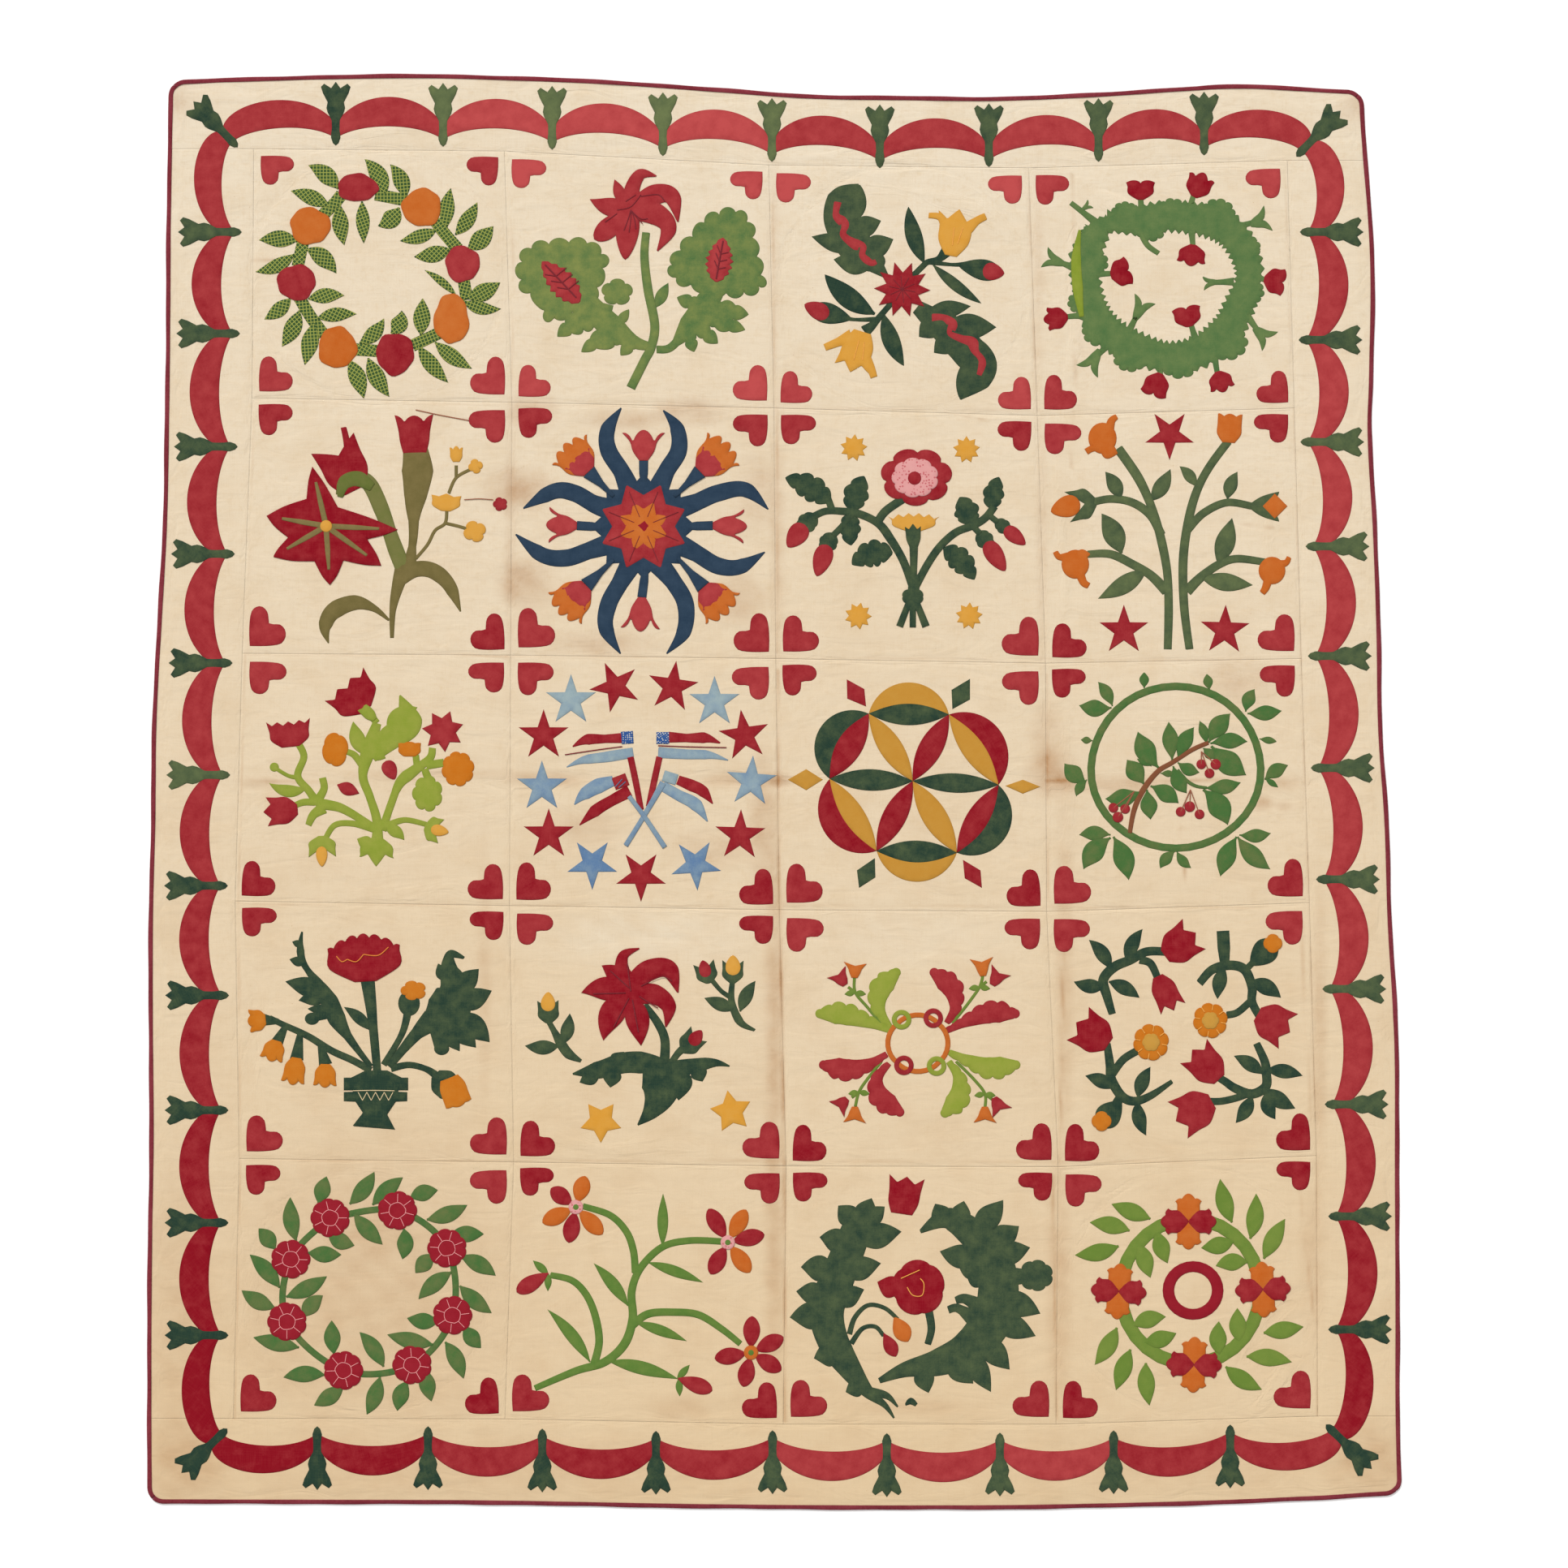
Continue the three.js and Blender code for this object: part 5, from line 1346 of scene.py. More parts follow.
def flower_urn(c):
    """A dark green urn with a scalloped red flower, drooping orange bells and a big jagged leaf."""
    urn = [
        stem([(78, 89), (78, 94)], [12, 32]), stem([(60, 96.5), (95.5, 96.5)], 7),
        stem([(77.5, 99), (77.5, 104)], [26, 23]), stem([(60, 103.5), (95, 103.5)], [5, 6, 6, 5]),
        stem([(77.5, 105), (77.3, 112), (76.6, 120.7)], [24, 13.5, 23.6]),
    ]
    c.sew("green", *urn, layer=1, fade=0.05, puff=0.6)
    c.stitch("thread_pale", [(65, 100.2), (76, 100), (88, 100.2)], 1.4, 3)
    for k in range(8):
        c.stitch(
            "thread_pale", [(68 + 2.4 * k, 101 + 4.5 * (k % 2)), (70.4 + 2.4 * k, 105.5 - 4.5 * (k % 2))],
            1.3, 3,
        )
    c.sew("green", stem([(73, 38), (75.5, 58), (78.5, 90)], [8, 5, 4.5]), fade=0.1)
    left = [
        stem(
            [(75, 87), (65, 74), (57, 62), (52, 51), (47, 42), (41, 35), (37, 28), (36, 20), (37, 12.5)],
            [3, 3.6, 5, 10, 10, 5, 3.4, 4.4, 1],
        ),
        leaf((52, 48), (27.7, 40), 11, 1), leaf((51, 50), (35, 50.5), 8, 1), leaf((54, 56), (40, 55), 6),
        disc((42.5, 60.5), 4, 3.4), stem([(54, 58), (44, 60)], 4), leaf((39, 30), (30, 27.7), 5.5),
        leaf((37, 20), (31.5, 18), 4),
    ]
    c.sew("green", *left, fade=0.12)
    c.sew(
        "green",
        stem([(75, 89), (65, 83.5), (53, 78), (40, 70), (26, 63.5), (19, 60)], [4, 4, 4, 3.6, 3.2]),
        stem([(47, 75), (50, 86)], [3, 7.5]), stem([(36, 68), (34, 83)], [3, 7.5]),
        stem([(28, 64.5), (23, 74)], [3, 7]), stem([(24, 62), (15, 61)], [3, 7]),
        leaf((75, 67), (60, 54), 6.5, 1), fade=0.15,
    )
    for base, tip in (
        ((17, 61), (7, 62)), ((23, 72.5), (19.5, 84)), ((34, 82), (31.5, 97)), ((50, 85.5), (49.5, 98.5)),
    ):
        c.sew("amber", bloom(base, tip, 13, 3, 0.2, 0.4, 0.85, 0.1, False), layer=2, fade=0.2, puff=0.5)
    big = [
        stem([(85, 87), (93, 77), (101, 68), (109, 61)], [4, 5, 7, 13]),
        stem([(108, 64), (116, 55), (121, 44), (118, 33), (119, 25), (126.5, 27)], [12, 21, 20, 13, 6, 1.5]),
        disc((119, 56), 11, 14), leaf((116, 40), (112, 30), 7), leaf((122, 46), (134.5, 33), 11),
        leaf((122, 54), (141.7, 45), 12), leaf((122, 58), (140.5, 73.5), 13, -1),
        leaf((118, 60), (133, 76.5), 12), leaf((113, 62), (124, 78.5), 10),
        stem([(110, 62), (114, 76)], [8, 8]), disc((114, 77), 4.2, 3.6),
    ]
    c.sew("green", *big, fade=0.15, puff=0.5)
    c.sew("green", stem([(86, 88), (96, 86), (106, 88.5), (113, 93.5)], [4, 3.6, 3.4, 5]),
          bloom((110.5, 91), (122, 103), 15, 2, 0.1, 0.4, 1.0, 0.3, False), fade=0.15)
    c.sew(
        "amber", bloom((118, 93), (124, 109), 15, 3, 0.06, 0.7, 0.98, 0.1, False), layer=1, fade=0.2,
        puff=0.6,
    )
    c.sew("green", stem([(82, 86), (92, 69), (95.5, 56)], [3.6, 3.4, 4.5]), disc((96, 52), 6, 7), fade=0.15)
    c.sew("amber", disc((98.5, 45), 7.2, 5.6, 5, 0.2), layer=1, fade=0.25, puff=0.5)
    c.sew(
        "red", bloom((72, 40), (70.5, 13.5), 40, 7, 0.1, 0.3, 0.98, 0.28, False), layer=2, fade=0.12,
        puff=0.7,
    )
    for line in (
        [(56, 26), (59, 29), (62, 27.7)], [(62, 27.7), (67, 29), (71, 25)],
        [(71, 25), (79, 25.5), (84.7, 21)],
    ):
        c.stitch("thread_orange", line, 1.8, 5)


def lily_and_leaf(c):
    """A red lily with dark veins, a large three-lobed leaf, sprigs with buds and two yellow stars."""
    c.sew("green", stem([(78, 56), (86, 67), (90, 77), (89.5, 92)], [4, 5, 5.4, 6]), fade=0.15)
    big = [
        stem([(89, 92), (78, 90), (66, 90), (52, 94), (36, 96.5)], [9, 13, 12, 10, 1]),
        stem([(87, 96), (105, 92), (119, 90), (128, 92)], [12, 10, 7, 0.8]),
        stem([(88, 94), (87, 108), (82, 118), (74, 126.5)], [22, 22, 11, 0.8]),
        leaf((62, 92), (66, 83.5), 12), leaf((60, 92), (58, 104.5), 11), leaf((100, 92), (98, 112), 14),
        leaf((52, 96), (40, 101.5), 9), leaf((108, 92), (112, 101), 10),
    ]
    c.sew("green", *big, fade=0.12, puff=0.5)
    c.sew(
        "green", stem([(41, 89), (34, 85), (30, 80), (26, 73), (21, 64)], [2, 6, 6, 3.6, 3]),
        leaf((28, 80), (8, 80), 8.5, -1), leaf((30, 79), (34.3, 61), 8, 1),
        calyx((22, 67), (21.5, 53.5), 12.5, 0.3), fade=0.25,
    )
    c.sew(
        "green", stem([(142.7, 71), (134, 66), (129, 54), (129.5, 42)], [1.6, 5, 4, 3]),
        leaf((131, 59), (113, 52), 8), leaf((134, 60), (143, 42), 8, -1),
        calyx((129.5, 43.5), (129.8, 30), 12.5, 0.35), stem([(129, 52), (123, 48), (117, 41)], [3, 2.6, 3]),
        calyx((116, 43.5), (112.5, 31), 12.5, 0.35), fade=0.25,
    )
    c.sew(
        "green", stem([(93, 91), (98, 84), (102, 81)], [4, 4, 5]), calyx((100, 83.5), (110, 73), 13, 0.3),
        fade=0.2,
    )
    c.sew("yellow", bud((21.5, 60), (21.7, 48.5), 8.5), layer=1)
    c.sew("yellow", bud((129.8, 39), (129.8, 27), 9), layer=1)
    c.sew("red", bud((105, 79.5), (111.5, 71), 8), layer=1, fade=0.2)
    c.sew("red", bud((114.5, 40), (112, 30), 7.5), layer=1, fade=0.3)
    petals = [
        stem([(70, 46), (65, 36), (66, 27), (75, 23)], [12, 9, 6, 0.8]), leaf((69, 46), (53, 33), 11, 1),
        leaf((70, 50), (41, 49), 14, 3), leaf((70, 49), (54, 77), 15, 3.5),
        leaf((70, 50), (76, 80), 14, -1),
        stem([(72, 50), (84, 50), (92, 57), (90.5, 69)], [12, 12, 9, 0.8]),
        stem([(72, 44), (80, 36), (92, 35), (97.7, 49)], [12, 12, 10, 0.8]), disc((70, 48), 9),
    ]
    c.sew("red", *petals, layer=2, fade=0.1, puff=0.7)
    for line in ([(70, 48), (68, 32)], [(69, 46), (58, 36)], [(67, 49), (48, 49.5)], [(69, 52), (60, 69)],
                 [(71, 53), (74.5, 72)], [(75, 51), (86, 58)], [(76, 45), (88, 39.5), (94, 42)]):
        c.stitch("thread_dark", line, 1.8, 5)
    c.sew("yellow", star((52.5, 124.3), 12.6, 6.8, 5, 180), fade=0.1, puff=0.5)
    c.sew("yellow", star((128.8, 118.5), 12.6, 6.8, 5, -10), fade=0.1, puff=0.5)


def chain_of_plumes(c):
    """A ring with four loops, scalloped plumes in pairs and a spray of lilies at each corner."""
    plumes = [
        ("lime", [(66, 66), (59, 55), (60, 44), (69, 35)], 1),
        ("lime", [(66, 67), (54, 62), (40, 57.5), (27, 57.7)], -1),
        ("red", [(97, 63), (102, 54), (100, 43), (90, 35)], -1),
        ("red", [(97, 67), (109, 61), (122, 56.5), (134.7, 57.7)], 1),
        ("red", [(64, 80), (54, 86), (42, 89), (29, 86)], 1),
        ("red", [(65, 85), (58, 94), (60, 104), (71, 112)], -1),
        ("lime", [(98, 79), (109, 84), (121, 88), (135, 86)], -1),
        ("lime", [(98, 84), (104, 93), (104, 104), (96, 112.5)], 1),
    ]
    for cloth, points, side in plumes:
        c.sew(
            cloth, stem(points, [3.5, 5.5, 9, 12.5, 12.5, 5.5], 6, 0.3, -side), disc(points[-1], 2.6),
            fade=0.35, puff=0.5,
        )
    c.sew(
        "orange", disc((81, 74), 18, 17, 4, 0.03, 45), layer=1,
        holes=[disc((81, 74), 15.2, 14.2, 4, 0.03, 45)], fade=0.35,
    )
    loops = [("lime", (72, 61)), ("red", (89.5, 60.2)), ("red", (73.3, 86.2)), ("lime", (91.3, 86.6))]
    for cloth, (x, y) in loops:
        c.sew(cloth, disc((x, y), 5.4), layer=2, holes=[disc((x, y), 2.7)], fade=0.3)
    stems = [[(60.5, 63), (53, 54), (46.5, 46), (46, 38)], [(100, 63), (108, 53), (115, 43), (117, 36)],
             [(61, 84), (53, 94), (48.5, 101), (46.5, 109)], [(102, 84), (112, 94), (118, 102), (118, 110)]]
    for k, points in enumerate(stems):
        x, y = points[2]
        toward = 1 if k in (1, 3) else -1
        c.sew(
            "ring_green", stem(points, 1.7),
            stem([(x, y), (x + 4 * toward, y + (-3 if k < 2 else 3))], 1.7),
            leaf((x, y), (x - 6, y + 1), 3.4), leaf((x, y), (x + 6, y + 1), 3.4), fade=0.2,
        )
    lilies = [
        ((46, 38), (46.6, 29.5)), ((117, 37), (116, 27)), ((46.3, 109), (46, 118)),
        ((118, 109), (118, 118)),
    ]
    for base, tip in lilies:
        c.sew("orange", bloom(base, tip, 13, 2, 0.22, 0.25, 0.45, 0.0), layer=2, fade=0.3)
    lilies = [
        ((41, 42), (36, 34.5)), ((122, 42), (127, 33.5)), ((42, 104.5), (36, 110.5)),
        ((123, 104), (127.5, 112.5)),
    ]
    for base, tip in lilies:
        c.sew("red", bloom(base, tip, 12.5, 2, 0.22, 0.25, 0.5, 0.0), layer=2, fade=0.3)


def four_rose_sprays(c):
    """Four curling dark green sprays with red tulips, two amber buds and two amber roses."""
    c.sew(
        "green",
        stem(
            [(36, 58), (33, 48), (31, 39), (37, 32), (46, 28), (55, 23.5), (66, 23.5)],
            [4, 5.5, 5.5, 5, 4.6],
        ),
        stem([(51, 28), (57, 30), (61, 38)], [4.4, 4.4, 4]), leaf((35, 33), (23, 17), 8, 1.5),
        leaf((44, 29), (52.7, 11), 8, -1.5), leaf((32, 42), (14.7, 40), 8, -1.5),
        leaf((34, 40), (51, 49), 8, -1), fade=0.1,
    )
    c.sew(
        "green",
        stem(
            [(84, 41), (91, 33.5), (101, 31), (109, 33.5), (113, 43), (113, 51), (117, 59)],
            [4.4, 5.2, 5.4, 5, 4.4],
        ),
        stem([(112, 51), (105, 57), (99, 58.5)], 4), stem([(98, 31), (97, 12)], [5, 7, 7]),
        leaf((98, 32), (94, 49.7), 8, 1), leaf((112, 40), (129, 49), 9, -1.5),
        stem([(109, 34), (116, 27)], 3.6), fade=0.12,
    )
    c.sew(
        "green",
        stem(
            [(33, 74), (34.7, 86), (35.5, 94), (41, 103), (48, 106), (57, 103), (69, 95)],
            [4, 5, 5.5, 5, 4, 2.4],
        ),
        stem([(36, 91), (42, 83), (50, 78)], 4.4), leaf((37, 99), (21, 92), 8, 1),
        leaf((50, 104), (57, 87), 8, -1), leaf((50, 106), (54.7, 125), 8, 1.5),
        stem([(40, 103), (35, 111)], 3.6), fade=0.1,
    )
    c.sew(
        "green",
        stem(
            [(115.5, 74), (120, 84), (121, 91), (120.5, 98), (113, 102), (104, 99), (98, 95), (93, 92)],
            [4, 5, 5.4, 5, 4],
        ),
        stem([(113, 101), (105, 104), (96, 106), (88, 106)], 4), leaf((119, 91), (103, 81), 8, 1),
        leaf((121, 89), (141, 92), 8, -1), leaf((120, 99), (137, 110), 9, 1),
        leaf((120, 102), (126, 116), 8, 1), leaf((113, 103), (104, 118), 8, -1), fade=0.12,
    )
    tulips = [
        ((65, 26), (82, 13), 21), ((61, 37), (70, 56), 15), ((116, 58), (134, 68), 22),
        ((34, 74.5), (16, 62.5), 22), ((95, 94), (80, 77.5), 20), ((91, 106), (71, 117), 23),
    ]
    for k, (base, tip, width) in enumerate(tulips):
        c.sew(
            "red", bloom(base, tip, width, 3, 0.2, 0.38, 0.88, 0.05), layer=1, fade=0.1 + 0.08 * (k % 3),
            puff=0.5,
        )
    for base, cup, tip, size in (
        ((112, 31), (126, 18), (124.5, 19), 10.5), ((41, 106), (28.5, 119.5), (30, 117), 11),
    ):
        c.sew("green", petal(base, cup, 14), layer=1, fade=0.1)
        c.sew("amber", disc(tip, 0.5 * size, 0.5 * size, 4, 0.14, 45), layer=3, fade=0.2)
    for middle, across, high in (((90, 61.5), 9.6, 9.8), ((57.3, 73.5), 9.9, 10.2)):
        c.sew("amber", disc(middle, across, high, 8, 0.12, 10), layer=2, puff=0.6, fade=0.1)
        c.sew("gold", disc(middle, 0.5 * across, 0.5 * high, 6, 0.12, 30), layer=5, puff=0.4, fade=0.6)
        for k in range(8):
            angle = math.radians(45 * k + 10)
            spoke = [
                (middle[0] + r * across * math.cos(angle), middle[1] + r * high * math.sin(angle))
                for r in (0.6, 0.9)
            ]
            c.stitch("thread_yellow", spoke, 1.6, 4)


def wreath_of_roses(c):
    """A round wreath with eight red roses and leaves inside and out."""
    roses = [
        (54, 31), (90.5, 27), (117.5, 47.5), (120.5, 84), (98.5, 111), (61.2, 114), (30.5, 87.5),
        (32.5, 53.5),
    ]
    around = roses + roses[:1]
    c.sew("wreath_green", stem(around, 3.6), fade=0.2)
    leaves = [
        ((47.5, 23), (52, 8.5)), ((64.5, 23.5), (78, 6)), ((77, 24), (93.5, 9)), ((97.5, 20), (112.5, 16)),
        ((106.5, 32), (128.5, 24)), ((119, 40), (137.5, 39.8)), ((125, 52), (144, 62.5)),
        ((124.5, 68), (141.8, 82.8)), ((127, 90), (136, 101.8)), ((116.5, 98.5), (126.5, 118.5)),
        ((105, 113), (109, 130.8)), ((96, 120), (90.5, 136)), ((81, 117.5), (73.8, 138)),
        ((61, 123), (45.2, 133)), ((51, 116.5), (28.5, 117.8)), ((37, 101.5), (12.2, 96)),
        ((24, 80), (5.8, 70.5)), ((26.5, 69), (10.2, 51)), ((24, 48), (15, 36.8)),
        ((35.5, 43.5), (32.3, 19.8)), ((42, 50), (60, 51)), ((30, 74), (52.2, 62.8)),
        ((39, 85), (50, 73.2)), ((56, 105), (54.8, 86.8)), ((83, 112), (70, 93.2)),
        ((110, 100), (85, 94.5)), ((113, 87), (95.8, 85.5)), ((120, 60.5), (102, 75.2)),
        ((110, 51), (100.3, 61)), ((94, 37), (93.2, 53.5)), ((67, 29), (82.5, 45.5)),
        ((53, 40), (67.2, 46)),
    ]
    shapes = [
        bladed(base, tip, 9, 1.2 * math.sin(1.9 * k), 0.95, 0.95) for k, (base, tip) in enumerate(leaves)
    ]
    c.each("wreath_green", shapes, layer=1, fade=0.25)
    for k, middle in enumerate(roses):
        c.sew("crimson", disc(middle, 10.8, 10.6, 9, 0.08, 20 * k), layer=2, fade=0.3, puff=0.7)
        web = disc(middle, 4.6, 4.4, 0, 0, 25 * k)[::5]
        c.stitch("thread_pink", np.vstack([web, web[:1]]), 1.1, 4)
        for m in range(7):
            angle = math.radians(51.4 * m + 15 * k)
            ray = [(middle[0] + r * math.cos(angle), middle[1] + r * math.sin(angle)) for r in (4.6, 9.2)]
            c.stitch("thread_pink", ray, 1.1, 4)


def three_wheel_flowers(c):
    """Branching green stems with long leaves and three flowers of separate round petals."""
    branches = [
        stem(
            [
                (17.5, 125.5), (40, 116), (56, 111), (67, 101), (71.5, 87), (71, 72), (76, 59), (88, 47.5),
                (103, 44), (121, 44.5),
            ],
            [3.4, 4, 4.6, 5, 4.6, 4.2, 4, 3.8, 3.6],
        ),
        stem([(73, 62), (72, 50), (68, 39), (59, 30), (44, 25)], [4, 4, 3.8, 3.4]),
        stem([(50, 113), (53, 100), (51, 86), (46, 74), (38, 66), (26, 63)], [4.4, 4.2, 4, 3.4]),
        stem([(71, 91), (80, 84.5), (94, 83.5), (108, 85), (121, 93), (131, 101)], [4.6, 4.2, 4, 3.4]),
        leaf((48, 111), (24.5, 82), 7, 1.5), leaf((69, 80), (50, 56.5), 7, 1),
        leaf((88, 47), (88.3, 18), 6, 0), leaf((80, 56), (110.5, 67.2), 6, -0.5),
        leaf((73, 89), (101.5, 99.5), 6, -0.5), leaf((58, 110.5), (97, 120.5), 7.5, -1),
        leaf((96, 120.5), (103, 112.5), 4), leaf((97, 120), (97.5, 130), 4),
        leaf((25, 62.5), (16.5, 55), 4.4), leaf((25, 62), (24.7, 72), 4),
    ]
    c.sew("spring_green", *branches, fade=0.3)
    for cup, tip in (((25, 62), (7.5, 72.5)), ((96.5, 120), (115.5, 126.8))):
        c.sew("red", petal(cup, tip, 9), layer=1, fade=0.3, puff=0.5)
    wheels = [
        (
            (40.2, 25.5),
            [
                ("orange", 43.5, 14.5), ("red", 31.5, 19), ("orange", 27.5, 31.5), ("red", 37.5, 39),
                ("orange", 50.5, 36),
            ],
        ),
        (
            (124, 45),
            [
                ("red", 116.5, 32), ("orange", 131, 32.5), ("red", 138, 42), ("orange", 132.5, 56.5),
                ("red", 117.5, 57),
            ],
        ),
        (
            (136.8, 105.8),
            [
                ("red", 137.2, 92), ("red", 149, 100), ("red", 148, 112.5), ("red", 134, 118.5),
                ("red", 123, 108),
            ],
        ),
    ]
    for k, (middle, petals) in enumerate(wheels):
        for cloth, x, y in petals:
            dx, dy = x - middle[0], y - middle[1]
            length = math.hypot(dx, dy)
            base = (middle[0] + 3 * dx / length, middle[1] + 3 * dy / length)
            tip = (middle[0] + (length + 6.4) * dx / length, middle[1] + (length + 6.4) * dy / length)
            c.sew(cloth, bladed(base, tip, 9.4, 0, 1.15, 0.6), layer=1, fade=0.2, puff=0.6)
        c.sew("orange" if k == 2 else "pink", disc(middle, 4), layer=2, puff=0.3)
        c.sew("spring_green", disc(middle, 1.8), layer=3)


def fern_wreath(c):
    """Two big jagged dark green fronds that curl together, with a tulip, a rose and two drops."""
    left = [
        stem(
            [(66, 138), (61, 131), (52, 124), (42, 111), (33, 96), (30, 80), (36, 62), (43, 44), (48, 28)],
            [1, 5, 11, 16, 18, 19, 18, 17, 13],
        ),
        leaf((42, 46), (26, 41), 13, 1), leaf((34, 60), (16, 57), 14, 1), leaf((32, 84), (10, 84), 15, 1),
        leaf((38, 104), (23, 106), 13, 1), leaf((46, 34), (36, 24), 12), leaf((48, 34), (54, 20), 12),
        leaf((50, 34), (61, 24.5), 10), leaf((46, 44), (70, 38), 14, -1), leaf((38, 62), (59, 55), 13, -1),
        leaf((34, 78), (50, 69), 12, -1), leaf((30, 72), (13.5, 70), 12), leaf((50, 120), (40, 124), 10),
        stem([(52, 124), (62, 126), (68, 132)], [6, 4, 1]),
    ]
    right = [
        stem(
            [
                (58, 118), (72, 112), (90, 108), (107, 100), (119, 84), (122, 66), (118, 50), (107, 38),
                (94, 31), (80, 38),
            ],
            [3, 9, 15, 20, 22, 22, 20, 17, 12, 2],
        ),
        leaf((94, 34), (88, 23), 11), leaf((100, 35), (103.5, 21.5), 11),
        leaf((108, 38), (124.5, 21), 13, 1), leaf((116, 44), (133, 35), 13, 1),
        leaf((118, 52), (139, 46.5), 13), disc((142, 61.5), 9.5, 8.5, 7, 0.12),
        stem([(122, 62), (136, 62)], [12, 8]), leaf((120, 74), (144.5, 82), 14, -1),
        leaf((118, 84), (142, 94), 13), leaf((112, 94), (128, 112), 13), leaf((104, 100), (118, 124), 12),
        leaf((94, 106), (108.5, 119.5), 12), leaf((80, 110), (84.5, 124.5), 11),
        leaf((112, 52), (90.5, 48.5), 13, -1), leaf((114, 62), (100, 55), 10),
        leaf((116, 66), (104.5, 60), 10), stem([(112, 78), (104, 74), (99, 75)], [9, 6, 4]),
        stem([(108, 84), (100, 79), (95, 80)], [9, 5, 4]), leaf((118, 58), (101, 51), 9),
    ]
    c.sew("green", *left, fade=0.22, puff=0.5)
    c.sew("green", *right, fade=0.24, puff=0.5)
    c.sew(
        "green", stem([(84.5, 80), (86, 90), (84, 98.5)], [4.5, 4.2, 3.6]),
        stem([(72, 131), (75, 129), (78, 131)], [1, 4, 2]), fade=0.15,
    )
    c.sew("green", stem([(42, 93), (45, 84), (52, 77.5), (61, 79), (68, 85)], [3, 2.4, 2.2]),
          stem([(43, 98), (49, 90), (56, 89), (60.5, 94)], [3, 2.4, 2.2]), fade=0.15)
    c.sew("red", bloom((70, 28.5), (73, 8.5), 19, 3, 0.18, 0.6, 0.85, 0.0), layer=1, fade=0.12, puff=0.6)
    c.sew(
        "red", disc((79, 68), 14.4, 15, 5, 0.08, 10), leaf((70, 70), (57, 65), 12), layer=1, fade=0.08,
        puff=0.8,
    )
    for line in ([(69.7, 63), (79.7, 58.5)], [(73, 67.7), (76, 72), (81, 72), (82, 66), (80, 63)]):
        c.stitch("thread_yellow", line, 1.6, 4)
    c.sew("orange", bladed((66, 83.5), (73.5, 97), 9.6, 0, 1.3, 0.7), layer=1, fade=0.3, puff=0.5)
    c.sew("red", bladed((60.5, 92.5), (67, 105), 7.6, 0, 1.3, 0.7), layer=1, fade=0.2, puff=0.5)


def wreath_of_crosses(c):
    """An olive green wreath with four cross-shaped flowers in red and orange, and a small red ring inside."""
    ring = disc((74.5, 72), 42.2, 43.6)
    c.sew("ring_green", ring, holes=[disc((74.5, 72), 34.8, 36.2)], fade=0.2)
    leaves = [
        ((52.5, 32), (31, 23.8)), ((41, 38.5), (19, 34)), ((35, 47), (10.8, 52)), ((56.5, 39), (62, 56.5)),
        ((47, 46), (52.5, 64.5)), ((97.5, 34), (91, 10)), ((107.5, 43), (110.8, 18)),
        ((115, 54), (126.8, 32)), ((98.5, 44.5), (80.5, 48)), ((106, 56), (88.5, 58)),
        ((34, 92), (21.8, 112.5)), ((41.5, 104), (33.5, 126.5)), ((50, 111.5), (52, 135)),
        ((43, 91), (61, 86)), ((49, 100), (66.8, 95)), ((115, 95), (137, 91.5)),
        ((105.5, 108), (130.5, 111)), ((94, 113.5), (114, 126.2)), ((90.5, 107), (90.3, 88.5)),
        ((101.5, 100), (100.5, 81.2)),
    ]
    shapes = [
        bladed(base, tip, 9.6, 1.2 * math.sin(2.3 * k), 0.92, 1.0) for k, (base, tip) in enumerate(leaves)
    ]
    c.each("ring_green", shapes, layer=1, fade=0.15)
    crosses = [((73.5, 33.5), 0), ((35, 72), 4), ((114.5, 71), -3), ((76.5, 112.5), 2)]
    for (x, y), turn in crosses:
        for k in range(4):
            angle = math.radians(90 * k - 90 + turn)
            tip = (x + 15.4 * math.cos(angle), y + 15.4 * math.sin(angle))
            cloth = "orange" if k % 2 == 0 else "red"
            c.sew(
                cloth, bloom((x, y), tip, 14.5, 3, 0.14, 0.12, 0.8, 0.28, False), layer=2 + k % 2, fade=0.2,
                puff=0.6,
            )
    c.sew("crimson", disc((76, 71.5), 16.8, 16.2), layer=1, holes=[disc((76, 71.5), 10.4, 10.2)], fade=0.2)


# The chart of each block: its design, upper left corner in mm and the size of a square
BLOCKS = [
    (fruit_wreath, (-915.6, 1099.7), 3.0356), (red_lily, (-453.6, 1099.7), 2.9461),
    (star_and_tulips, (-5.6, 1099.7), 3.0356), (ruffled_wreath, (442.4, 1099.7), 3.125),
    (amaryllis, (-915.6, 665.7), 3.0356), (star_and_plumes, (-453.6, 679.7), 2.9461),
    (tied_roses, (-5.6, 665.7), 3.0356), (twin_stems, (442.4, 679.7), 3.125),
    (lime_bush, (-915.6, 245.7), 3.0356), (flags_and_stars, (-453.6, 245.7), 2.9461),
    (petal_rosette, (-5.6, 231.7), 3.0356), (cherry_branch, (442.4, 231.7), 3.125),
    (flower_urn, (-929.6, -202.3), 3.125), (lily_and_leaf, (-453.6, -202.3), 2.9461),
    (chain_of_plumes, (-5.6, -202.3), 3.125), (four_rose_sprays, (470.4, -202.3), 3.125),
    (wreath_of_roses, (-936.6, -636.3), 3.1696), (three_wheel_flowers, (-467.6, -636.3), 3.125),
    (fern_wreath, (-5.6, -636.3), 3.2143), (wreath_of_crosses, (484.4, -636.3), 3.125),
]


def sew_block(number):
    design, corner, square = BLOCKS[number - 1]
    chart = Chart(number, corner, square)
    design(chart)
    chart.finish()


# Light on a flat white face of the stage, so a cloth's own colour is its colour in the light divided by this
LIGHT_GAIN = 1.28


